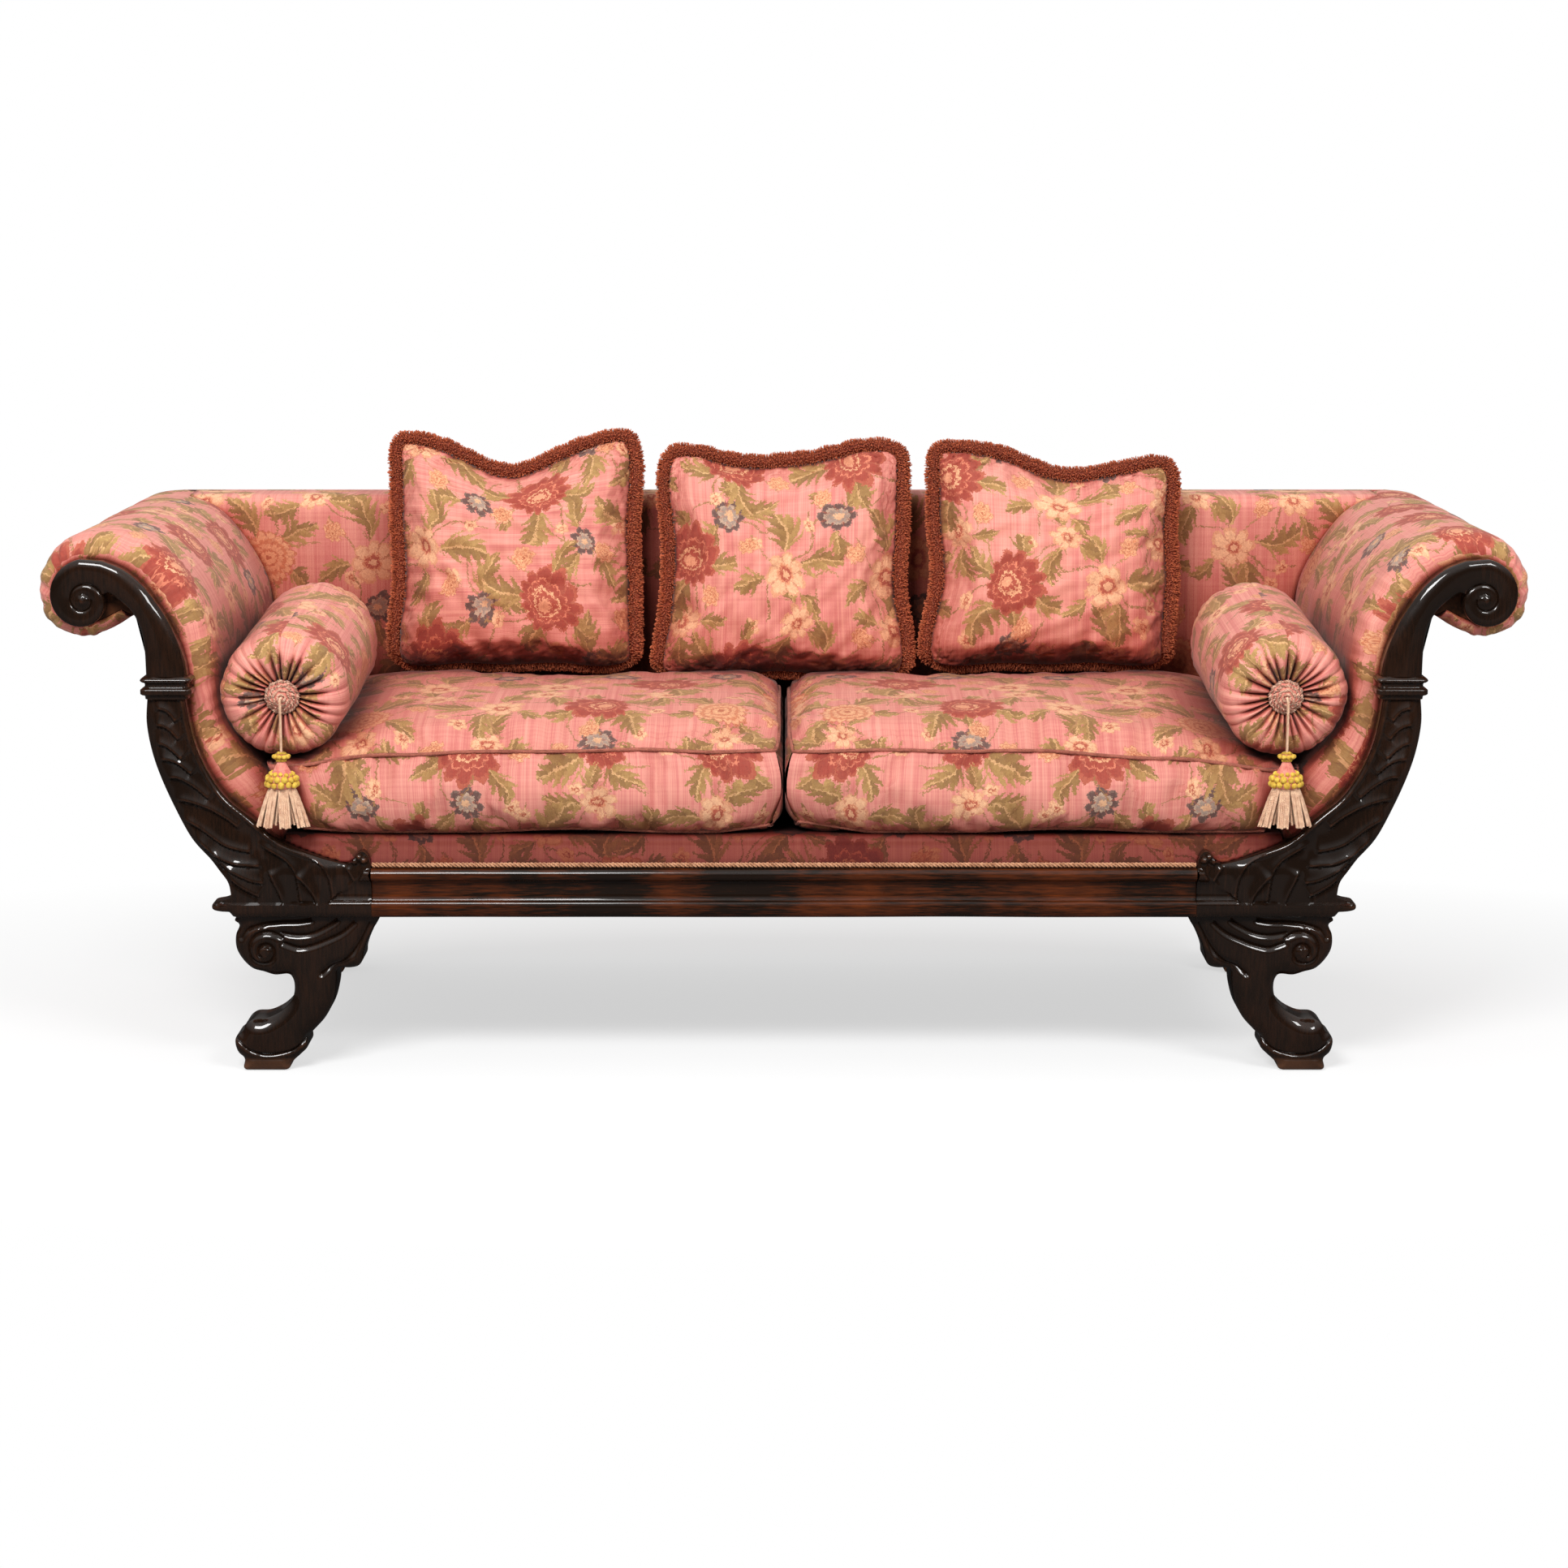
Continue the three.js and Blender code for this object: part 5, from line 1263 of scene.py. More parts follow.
def arm_collars():
    """Rounded rings of one outline, wider where the turning stands proud."""
    top = RAIL_TOP + NECK_INSIDE[0][1] * ARM_RISE - FIT
    bottom = RAIL_TOP + 0.512 * ARM_RISE + FIT
    x0, x1 = arm_point(NECK_INSIDE[0])[0], arm_point(NECK_OUTSIDE[-1])[0]
    corner = 9 * MM
    turns = np.arange(9) / 8 * math.pi / 2
    rings = []
    for at, proud in spline(COLLAR_LEVELS, 60):
        out = 8 * MM * np.clip(proud, 0, 1.0)
        low, high, front = x0 - out, x1 + out, FRONT_Y + 8 * MM - out
        across = low + corner + (high - low - 2 * corner) * np.arange(1, 12) / 12
        x = np.concatenate([
            [low], low + corner + corner * np.cos(math.pi + turns), across,
            high - corner + corner * np.cos(1.5 * math.pi + turns), [high, low]])
        y = np.concatenate([
            [CARVING_BACK_Y], front + corner + corner * np.sin(math.pi + turns),
            front + 0 * across, front + corner + corner * np.sin(1.5 * math.pi + turns),
            [CARVING_BACK_Y] * 2])
        rings.append(spread(x, y, top + at * (bottom - top)))
    grid = np.array(rings)
    thing = from_patches(
        "collar_right", [(grid, flat_place(grid))] + lids(grid), "show_wood", sharp=50)
    return pair(thing, "collar_left")


def rail_profile_y(height_share):
    """How far back the rail's moulded face lies at a share of its height."""
    line = spline(RAIL_PROFILE, 400)[20:-20]
    order = np.argsort(line[:, 1])
    return FRONT_Y + CARVING_DEPTH * np.interp(height_share, line[order, 1], line[order, 0])


def arm_stumps(cell):
    outside = arm_curve(STUMP_OUTSIDE, 120)
    ear = arm_curve(STUMP_EAR, 40)
    foot = np.array([arm_point(p) for p in STUMP_FOOT])
    tip = arm_curve(STUMP_TIP, 30)
    inside = arm_curve(STUMP_INSIDE, 110)
    outline = np.concatenate([outside, ear, foot, tip, inside])
    hem = np.array([arm_point(p) for p in STUMP_HEM])
    folds = [even(arm_curve(f, 60), LINE_SPACING) for f in STUMP_FOLDS]
    curl = np.array(arm_point((-0.312, 0.023)))

    def face(points):
        x, z = points[:, 0], points[:, 1]
        share = np.clip((z - (LEG_HEIGHT + FIT)) / (RAIL_TOP - LEG_HEIGHT - FIT), 0, 1)
        rail_y = rail_profile_y(share)
        rail_y = np.where(z > RAIL_TOP - 4 * MM, np.maximum(rail_y, -0.352), rail_y)
        corner = segment_distance(points, np.concatenate([outside[88:], ear, foot[:1]]))
        rail_y = rail_y + 9 * MM * (1 - dome(corner, 9 * MM))

        top = segment_distance(points, inside)
        edge = np.minimum(top, segment_distance(points, outside[:100]))
        body = dome(edge, 13 * MM) * 8 * MM
        relief = 0 * x
        for fold in folds:
            away, side, along = beside(points, fold)
            ends = step(0, 0.2, along) * (1 - step(0.93, 1, along))
            lip = 8 * MM * np.exp(-away / (11 * MM)) * (1 - np.exp(-away / (1.7 * MM)))
            dip = -1.8 * MM * np.exp(-away / (6 * MM))
            relief += np.where(side < 0, lip, dip) * ends
        bead = 4.5 * MM * knob(top - 5 * MM, 5 * MM)
        fading = step(-0.02, 0.08, (z - RAIL_TOP) / ARM_RISE)
        clear_of_bead = 1 - fading * (1 - step(8 * MM, 11 * MM, top))
        relief = relief * step(2 * MM, 9 * MM, edge) * clear_of_bead
        leaf_y = -0.3395 - body - relief - bead * fading
        for dx, dz, size in ((-7, 1, 7.5), (0, 6, 7), (7, 0, 7.5)):
            spot = curl + np.array([dx, dz]) * MM
            reach = np.linalg.norm(points - spot, axis=1) / (size * MM)
            ball_y = -0.343 - 14 * MM * knob(reach, 1)
            leaf_y = np.where(reach < 1, np.minimum(leaf_y, ball_y), leaf_y)
        order = np.argsort(hem[:, 0])
        low = np.interp(x, hem[order, 0], hem[order, 1])
        cover = step(-0.6 * MM, 0.6 * MM, z - low)
        lower = step(RAIL_TOP + 16 * MM, RAIL_TOP - 12 * MM, z)
        on_rail = np.minimum(leaf_y, -0.3495 - relief * 0.8)
        leaf_y = leaf_y * (1 - lower) + on_rail * lower
        made = rail_y * (1 - cover) + leaf_y * cover
        return np.clip(made, -0.3598, CARVING_BACK_Y - 1 * MM)

    thing = carved("stump_right", outline, face, CARVING_BACK_Y, "show_wood", cell)
    return pair(thing, "stump_left")


def legs(cell):
    outline = leg_curve(LEG_OUTLINE, 440)
    outline[:, 1] = np.maximum(outline[:, 1], 0)
    rim = outline[4:]
    grooves = [even(leg_curve(g, 60), LINE_SPACING) for g in LEG_GROOVES]
    foot = even(leg_curve(FOOT_GROOVE, 60), LINE_SPACING)
    eye = np.array(leg_point(LEG_VOLUTE))
    turn = np.linspace(-0.9, 8.6, 130)
    reach = 36 * MM * np.exp(-0.155 * (turn + 0.9))
    curl = even(eye + spread(np.sin(turn) * reach, np.cos(turn) * reach), LINE_SPACING)

    toe = np.array(leg_point((0.84, 0.235)))

    def face(points):
        away = np.linalg.norm(points - eye, axis=1)
        near = np.min([segment_distance(points, line) for line in [curl] + grooves], axis=0)
        cut = 5.5 * MM * (1 - ridge(near, 9 * MM))
        cut += 4.5 * MM * (1 - ridge(segment_distance(points, foot), 5 * MM))
        body = dome(segment_distance(points, rim), 24 * MM) * 16 * MM
        cone = 5 * MM * bell(away, 26 * MM)
        button = 5 * MM * knob(away, 9 * MM)
        ball = 5 * MM * bell(np.linalg.norm(points - toe, axis=1), 22 * MM)
        plinth = 3 * MM * step(0.085, 0.06, points[:, 1] / LEG_HEIGHT)
        made = body - cut + cone + button + ball + plinth
        return np.clip(-0.3315 - made, -0.3538, -0.328)

    front = carved(
        "leg_front_right", outline, face, -0.2764, "show_wood", cell, grooves + [foot, curl])
    rear = mirrored(front, "leg_rear_right")
    move_points(rear, coordinates(rear) * (-1, -1, 1) + (0, 5.6 * MM, 0))
    return pair(front, "leg_front_left"), pair(rear, "leg_rear_left")


def rail_moulding():
    profile = spline(RAIL_PROFILE[1:-1], 90)
    profile = np.concatenate([[RAIL_PROFILE[0]], profile, [RAIL_PROFILE[-1]], [RAIL_PROFILE[0]]])
    y = FRONT_Y + CARVING_DEPTH * profile[:, 0]
    z = LEG_HEIGHT + FIT + (RAIL_TOP - LEG_HEIGHT - FIT) * profile[:, 1]
    x = np.linspace(-RAIL_END_X, RAIL_END_X, 130)[:, None]
    ripple = waves(11, 6, 0.2, 0.7)
    grid = spread(x, y, np.clip(z + 0.25 * MM * ripple(x, y), z.min(), z.max()))
    grid[:, -1] = grid[:, 0]
    return from_patches(
        "rail_face", [(grid, flat_place(grid))] + lids(grid), "rail_wood", sharp=48)


def make_woodwork():
    cell = settings().wood.cell
    for node, things in (
            ("arm_scroll_{}", arm_scrolls(cell)), ("arm_collar_{}", arm_collars()),
            ("arm_stump_{}", arm_stumps(cell)),
            *zip(("leg_front_{}", "leg_rear_{}"), legs(cell))):
        ride_pair(things, "frame", [node])
    fit_piece(rail_moulding(), "frame", ["rail_moulding"])
    finishes = {
        "frame_wood": (
            "arm_roll_core", "arm_tack_rail", "glue_block_front", "glue_block_rear",
            "back_top_rail", "back_stile"),
        "stained_wood": (
            "side_rail", "front_rail", "back_rail", "arm_front_board", "arm_rear_board"),
        "black_cloth": ("dust_cover",), "jute_webbing": ("seat_webbing",),
        "spring_wire": ("seat_springs",),
    }
    for finish, starts in finishes.items():
        for name, thing in frame["nodes"].items():
            if name.startswith(starts):
                thing.data.materials.clear()
                thing.data.materials.append(MADE[finish])


# Upholstery.


def line_over_rail(shares, count):
    line = arm_curve(shares, count)
    line[:, 1] = np.maximum(line[:, 1], RAIL_TOP + FIT)
    return line


ARM_ROUNDING = 62 * MM


def arm_pads():
    steps, rows, rounded = 210, 120, 46
    outer = line_over_rail(ARM_OUTSIDE, steps)
    inner = line_over_rail(BOARD_INSIDE, steps)
    inner = inner + left_of(inner) * FIT
    y = np.concatenate([
        PAD_FRONT_Y + ARM_ROUNDING * np.linspace(0, 1, rounded) ** 1.3,
        np.linspace(PAD_FRONT_Y + ARM_ROUNDING + 4 * MM, PAD_BACK_Y, rows - rounded)])
    depth = (y - PAD_FRONT_Y) / ARM_ROUNDING
    fullness = np.interp(depth, *np.array([
        (0, 0.25), (0.03, 0.42), (0.1, 0.62), (0.2, 0.77), (0.32, 0.87), (0.5, 0.95), (0.75, 0.99),
        (1, 1)]).T)
    along = lengths(outer)
    share = along / along[-1]
    grid = np.zeros((len(y), steps, 3))
    across = left_of(outer)
    gathers = waves(5, 9, 0.012, 0.03)
    loose = waves(6, 7, 0.09, 0.3)
    for i, (at, full) in enumerate(zip(y, fullness)):
        ring = inner + (outer - inner) * full
        near = at - PAD_FRONT_Y
        pucker = 2.9 * MM * math.exp(-near / (24 * MM)) * gathers(along, 0 * along + near * 0.25)
        pucker *= step(0.1, 0.25, share) * (1 - math.exp(-near / (2 * MM)) * 0.5)
        soft = 1.1 * MM * loose(along, at) * step(0, 0.06, share) * (1 - step(0.93, 1, share))
        soft *= step(0, 40 * MM, near)
        ring = ring + across * (pucker + soft)[:, None]
        grid[i] = spread(np.maximum(ring[:, 0], ARM_FACE_X - FIT), at, ring[:, 1])
    grid[..., 2] = np.clip(grid[..., 2], RAIL_TOP + FIT, BACK_TOP + 1 * MM)
    place = spread(y[:, None], along[None, :] + 0.31)
    back = spread(inner[:, 0], y[[0, -1]][:, None], inner[:, 1])
    patches = [(grid, place), (back, flat_place(back))]
    for k in (0, -1):
        patches.append(between(grid[k], back[k]))
    for k in (0, -1):
        patches.append(between(grid[:, k], spread(inner[k, 0], grid[:, k, 1], inner[k, 1])))
    thing = from_patches("arm_cover_right", patches, "floral_cloth")
    return pair(thing, "arm_cover_left", (0.37, 0.11))


def arm_outsides():
    line = arm_curve(BOARD_OUTSIDE, 90)
    line = line[line[:, 1] > RAIL_TOP + FIT]
    away = left_of(line)
    inner, outer = line + away * FIT, line + away * 8 * MM
    thin = line + away * 1.5 * MM
    share = step(0.3, 0.5, (line[:, 1] - RAIL_TOP) / ARM_RISE)[:, None]
    outer = outer * (1 - share) + thin * share
    y = np.linspace(PAD_FRONT_Y, PAD_BACK_Y, 60)
    ring = even(np.concatenate([inner, outer[::-1], inner[:1]]), 3 * MM)
    grid = spread(ring[:, 0], y[:, None], np.maximum(ring[:, 1], RAIL_TOP + FIT))
    grid[:, -1] = grid[:, 0]
    patches = [(grid, flat_place(grid, 1, 2))] + lids(grid)
    thing = from_patches("arm_outside_right", patches, "floral_cloth", sharp=60)
    return pair(thing, "arm_outside_left", (0.2, 0.4))


def flank_at(z):
    """How far from the middle the arm's padding begins at a height."""
    line = arm_curve(ARM_OUTSIDE[:14], 200)
    return np.interp(z, line[:, 1], line[:, 0])


def quarter(y, z, radius, steps):
    """A rounded edge of a side view, from a face that ends at y and z up to the top."""
    return [(y + radius * (1 - math.cos(a)), z + radius * math.sin(a))
            for a in np.linspace(0, math.pi / 2, steps)[1:]]


def back_cover():
    top = BACK_TOP
    roll = 26 * MM
    top_y = BACK_FACE_Y + BACK_LEAN
    side = [(BACK_FACE_Y, RAIL_TOP + FIT), (BACK_FACE_Y, PLATFORM_TOP)]
    side += [(BACK_FACE_Y + (top_y - BACK_FACE_Y) * k / 8,
              PLATFORM_TOP + (top - roll - PLATFORM_TOP) * k / 8) for k in range(1, 9)]
    side += quarter(top_y, top - roll, roll, 9)
    side += [(PAD_BACK_Y, top), (PAD_BACK_Y, top - 0.036), (0.319, top - 0.038),
             (0.319, RAIL_TOP + FIT), (BACK_FACE_Y, RAIL_TOP + FIT)]
    side = even(np.array(side), 9 * MM)
    side[-1] = side[0]
    share = np.linspace(-1, 1, 190)
    ripple = waves(21, 8, 0.12, 0.5)
    reach = np.minimum(flank_at(side[:, 1]) - FIT, 1.0165)
    x = share[:, None] * reach
    away = np.where(side[:, 0] < 0.27, 1.6 * MM, 0)
    y = side[:, 0] + away * (ripple(x, side[:, 1]) * 0.5 + 0.3)
    grid = spread(x, np.clip(y, BACK_FACE_Y - 0.5 * MM, PAD_BACK_Y), side[:, 1])
    grid[:, -1] = grid[:, 0]
    place = spread(grid[..., 0] + 0.05, lengths(side) + 0.13)
    patches = [(grid, place)] + lids(grid)
    return from_patches("back_cover", patches, "floral_cloth")


def back_panel():
    roll = arm_curve(ARM_OUTSIDE[13:], 70)
    line = arm_curve(BOARD_OUTSIDE, 60)
    down = line + left_of(line) * 8 * MM
    down = down[down[:, 1] > RAIL_TOP]
    edge_x = arm_point((0.222, 0))[0]
    half = np.concatenate([roll, down, [(edge_x, RAIL_TOP), (edge_x, LEG_HEIGHT + FIT)]])
    outline = np.concatenate([half, half[::-1] * np.array([-1, 1])])
    rim = even(outline, 4 * MM)

    def face(points):
        edge = segment_distance(points, rim)
        return BACK_Y - 12 * MM + 3 * MM * (1 - dome(edge, 4 * MM))

    thing = carved("back_panel", outline, face, BACK_Y - 0.2 * MM, "floral_cloth", 14 * MM)
    mesh = thing.data
    loops = np.zeros(len(mesh.loops), np.int32)
    mesh.loops.foreach_get("vertex_index", loops)
    places = flat_place(coordinates(thing)[loops]).astype(np.float32)
    mesh.uv_layers.new(name="cloth").uv.foreach_set("vector", places.ravel())
    return thing


def seat_deck():
    roll = 14 * MM
    rear = BACK_FACE_Y - FIT
    y0 = PLATFORM_FRONT_Y
    set_back = 13 * MM
    under = PLATFORM_TOP - 30 * MM
    side = [(y0, RAIL_TOP + FIT), (y0 + set_back, PLATFORM_TOP - roll)]
    side += quarter(y0 + set_back, PLATFORM_TOP - roll, roll, 7)
    side += [(rear, PLATFORM_TOP), (rear, under), (PLATFORM_FOOT_Y, under),
             (PLATFORM_FOOT_Y, RAIL_TOP + FIT), (y0, RAIL_TOP + FIT)]
    side = even(np.array(side), 4 * MM)
    side[-1] = side[0]
    x = np.linspace(-ARM_FACE_X + FIT, ARM_FACE_X - FIT, 620)[:, None]
    stump = np.array([
        arm_point(p) for p in STUMP_TIP + STUMP_INSIDE + [(0.4, -0.9), (-0.361, -0.9)]])
    ripple = waves(31, 8, 0.05, 0.3)
    swell = np.where(side[:, 0] < y0 + set_back, 0.8 * MM, 0)
    grid = spread(x, side[:, 0] + swell * (1 + 0.5 * ripple(x, side[:, 1])), side[:, 1])
    flat = np.stack([np.abs(grid[..., 0]).ravel(), grid[..., 2].ravel()], 1)
    hidden = np.where(inside_of(flat, stump), segment_distance(flat, stump), 0)
    hidden = step(1 * MM, 4 * MM, hidden).reshape(grid.shape[:2])
    hidden = np.where(grid[..., 1] < CARVING_BACK_Y, hidden, 0)
    grid[..., 1] = grid[..., 1] * (1 - hidden) + (CARVING_BACK_Y + 1 * MM) * hidden
    grid[:, -1] = grid[:, 0]
    place = spread(grid[..., 0] + 0.09, lengths(side) + 0.02)
    # Its cloth is the floral cloth darkened almost fully as painted shade, for the shade under the
    # cushions.
    return from_patches(
        "seat_deck", [(grid, place)] + lids(grid), "deck_cloth")


def rail_gimp():
    line = spread(np.linspace(-RAIL_END_X + MM, RAIL_END_X - MM, 40),
                  PLATFORM_FRONT_Y - FIT - 4.5 * MM, RAIL_TOP + FIT + 4.5 * MM)
    return rope("rail_cord", [line], 4.4 * MM, "cord_yarn", 3, 20 * MM, sides=8)


def make_upholstery():
    ride_pair(arm_pads(), "frame", ["arm_pad_{}"])
    ride_pair(arm_outsides(), "frame", ["arm_outside_cover_{}"])
    fit_piece(back_cover(), "frame", ["back_pad"])
    fit_piece(back_panel(), "frame", ["outside_back"])
    fit_piece(seat_deck(), "frame", ["seat_platform"])
    fit_piece(rail_gimp(), "frame", ["rail_gimp"])


# Loose cushions.

CUSHION_X0, CUSHION_X1 = 1.5 * MM, ARM_FACE_X - 3 * MM
CUSHION_Y0, CUSHION_Y1 = PLATFORM_FRONT_Y + 8 * MM, BACK_FACE_Y - 6 * MM
CUSHION_Z = PLATFORM_TOP + FIT
CUSHION_SIDE = 132 * MM
CUSHION_GIVE, PILLOW_GIVE = 12 * MM, 9 * MM  # how far a cloth run may move a point


def seat_cushion(name, seed, slump):
    """A boxed cushion: top, bottom and a band between two welts."""
    columns, rows, levels = 84, 64, 15
    half_x, half_y = (CUSHION_X1 - CUSHION_X0) / 2, (CUSHION_Y1 - CUSHION_Y0) / 2
    mid_x, mid_y = (CUSHION_X0 + CUSHION_X1) / 2, (CUSHION_Y0 + CUSHION_Y1) / 2
    wave = waves(seed, 8, 0.1, 0.34)
    small = waves(seed + 1, 8, 0.035, 0.09)

    def shaped(u, v, w, edge):
        """Where a point of the cushion lies, for u, v and w from -1 to 1."""
        corner = np.where(u < 0, 7 * MM, np.where(v < 0, 9 * MM, 18 * MM)) * np.abs(u * v) ** 8
        swell = 7 * MM * (1 - w * w) * edge
        draw_x = edge * np.where(u < 0, 2 * MM, 6 * MM) * (1 - v * v)
        draw_y = edge * 6 * MM * (1 - u * u)
        under = edge * 10 * MM * np.clip(-w, 0, 1) ** 3
        inset = np.where(u < 0, 6 * MM, 7 * MM)
        x = u * (half_x - inset - corner - under - draw_x + swell)
        y = v * (half_y - 7 * MM - corner - under - draw_y + swell)
        belly = np.where(v < 0, (1 - w * w) * (1 - u ** 4) * edge, 0)
        y = y - 13 * MM * belly * (1 - 0.7 * w)
        side_z = CUSHION_Z + 4 * MM + (w + 1) / 2 * (CUSHION_SIDE - 4 * MM)
        side_z = side_z - 17 * MM * belly * np.clip(-2 * w, 0, 2)
        front = edge * np.clip(-v, 0, 1) ** 8
        sway = 10 * MM * step(-0.62, -1, u) + 4 * MM * np.sin(5.2 * u + 0.02 * seed)
        side_z = side_z + front * np.clip(-w, 0, 1) ** 1.5 * np.maximum(sway, -1 * MM)
        side_z = side_z - slump * step(0.05, 0.5, u) * np.clip(w, 0, 1) * np.clip(0.4 - v, 0, 1)
        hollow = step(0.55, 1, u) * 20 * MM
        rear = step(-0.4, 0.6, v)
        sides = 1 - np.where(u < 0, 0.5, 1) * np.abs(u) ** (np.where(u < 0, 12, 5) + 9 * rear)
        crown = 41 * MM * sides * (1 - np.abs(v) ** (4 + 10 * rear)) - hollow
        z = side_z + np.where(w > 0, crown * np.clip(w, 0, 1) ** 6, 0)
        slope = flank_at(side_z) - ARM_FACE_X
        lean = np.maximum(u, 0) ** 3 * np.minimum(slope, 38 * MM)
        return np.stack([mid_x + x + lean, mid_y + y, z], -1)

    a, b = np.linspace(-1, 1, columns + 1), np.linspace(-1, 1, rows + 1)
    # Round the edge, anticlockwise from the front left corner and back to it.
    along_u = np.concatenate([a[:-1], 0 * b[:-1] + 1, a[:0:-1], 0 * b[:0:-1] - 1, a[:1]])
    along_v = np.concatenate([0 * a[:-1] - 1, b[:-1], 0 * a[:0:-1] + 1, b[:0:-1], b[:1]])
    a, b = np.meshgrid(a, b)
    out_share = np.maximum(np.abs(a), np.abs(b))
    top = shaped(a, b, np.ones_like(a), out_share ** 12)
    inner = np.clip((1 - out_share) / 0.12, 0, 1)
    ease = (1 - a ** 2) * (1 - b ** 2)
    top[..., 2] += 1.6 * MM * wave(top[..., 0], top[..., 1]) * inner
    top[..., 2] += 0.9 * MM * small(top[..., 0], top[..., 1]) * inner * (1 - ease * 0.7)
    low = shaped(a, b, -np.ones_like(a), out_share ** 12)
    low[..., 2] -= 3.6 * MM * step(0, 0.2, ease)
    w = np.linspace(-1, 1, levels)[:, None]
    band = shaped(along_u, along_v, w + 0 * along_u, 1 + 0 * w * along_u)
    ring = lengths(band[-1])
    band[..., 2] += 1.5 * MM * wave(ring, 0.3) * ((w + 1) / 2)
    # The top takes the band's upper edge for its own.
    top[0, :-1], rest = band[-1, :columns], band[-1, columns:]
    top[:-1, -1], rest = rest[:rows], rest[rows:]
    top[-1, :0:-1], rest = rest[:columns], rest[columns:]
    top[:0:-1, 0] = rest[:rows]
    out = unit((band - (mid_x, mid_y, 0)) * (1, 1, 0))
    creases = 1.1 * MM * small(ring, w * 0.02) * (1 - w ** 2)
    band += out * creases[..., None]
    patches = [
        (top, flat_place(top, 0, 1) + (0, 0.02)),
        (low, flat_place(low, 0, 1) + (0, 0.6)),
        (band, spread(ring, band[..., 2] + 0.41)),
    ]
    # The cover's cloth is the floral cloth a little darkened as painted shade.
    cover = from_patches(name, patches, "cushion_cloth")
    welts = [band[level, :-1] + out[level, :-1] * MM for level in (-1, 0)]
    welt = rope(name + "_welt", welts, settings().trim.welt_radius, "welt_cloth", 1, loop=True,
                sides=8, spacing=6 * MM)
    return cover, welt, np.concatenate([band[0], band[-1]])


def make_cushions():
    """The left cushion has a shape of its own: it is made on the right, then mirrored."""
    covers, welts = [], []
    for side, seed, slump in (("right", 41, 14 * MM), ("left", 120, 5 * MM)):
        cover, welt, seams = seat_cushion("seat_cushion_cover_" + side, seed, slump)
        filled(cover, seams, CUSHION_GIVE, least_x=CUSHION_X0)
        covers.append(cover)
        welts.append(welt)
    flipped(covers[1])
    flipped(welts[1])
    ride_pair(covers, "seat_cushion_{}", ["seat_cushion_{}"])
    ride_pair(welts, "seat_cushion_{}", [])


# A pillow's place, its height, its dent's depth and where that is, how far its right corner sinks,
# how far its bottom flares out on the left and on the right, all as shares; how far it sinks.
PILLOWS = {
    "left": (-1, 1.0, 0.167, -0.04, 0.0, 0.3, 0.1, -5 * MM),
    "centre": (0, 0.968, 0.066, -0.15, -0.012, 1.0, 0.55, -4 * MM),
    "right": (1, 0.944, 0.105, 0.2, 0.05, 0.9, -0.4, 8 * MM),
}
PILLOW_LEAN = math.radians(8)
PILLOW_WIDTH, PILLOW_HEIGHT, PILLOW_SEAM = 394 * MM, 381 * MM, 9 * MM


def pillow_spot(kind, u, v):
    """A point of a pillow's middle plane, for u and v from -1 to 1."""
    place, high, dent_share, dent_at, sink, flare_left, flare_right = PILLOWS[kind][:7]
    pinch = 0.035
    x = PILLOW_WIDTH / 2 * u * (1 - pinch * (1 - v * v))
    upper = np.maximum(0, (v + 0.2) / 1.2) ** 2
    dent = dent_share * np.exp(-(((u - dent_at) / 0.6) ** 2))
    slump = (dent + sink * ((u + 1) / 2)) * upper
    z = PILLOW_HEIGHT * (high * v / 2 * (1 - pinch * (1 - u * u)) - slump)
    rounding = 11 * MM * np.abs(u * v) ** 7
    z = z - 12 * MM * step(0.2, -1, v)
    flare = np.where(u < 0, -flare_left, flare_right) * np.abs(u) ** 3
    x = x + flare * (15 * MM * step(-0.25, -1, v) - 5 * MM * np.exp(-(((v + 0.1) / 0.4) ** 2)))
    x = x + 1.6 * MM * np.sin(7 * v + 3 * place) * np.abs(u) ** 6
    z = z + 1.8 * MM * np.sin(8 * u + 2 + 3 * place) * np.abs(v) ** 6
    return x - np.sign(u) * rounding, z - np.sign(v) * rounding


def pillow_frame(kind):
    """Leans a pillow's points as its frame's solid leans, and puts them where it is."""
    cosine, sine = math.cos(PILLOW_LEAN), math.sin(PILLOW_LEAN)

    def leant(x, y, z):
        return spread(x, cosine * y + sine * z, -sine * y + cosine * z)

    low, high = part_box("pillow_" + kind)
    u, v = np.meshgrid(np.linspace(-1, 1, 9), np.linspace(-1, 1, 9))
    x, z = pillow_spot(kind, u, v)
    half = PILLOW_SEAM / 2 + (64 * MM - PILLOW_SEAM / 2) * ((1 - u * u) * (1 - v * v)) ** 0.45
    solid = np.array([leant(x, -half, z), leant(x, half, z)])
    shift = np.array([
        (low.x + high.x) / 2, low.y - solid[..., 1].min(),
        high.z - solid[..., 2].max() - PILLOWS[kind][7]])

    def placed(points):
        points = np.asarray(points, float)
        return leant(points[..., 0], points[..., 1], points[..., 2]) + shift
    return placed


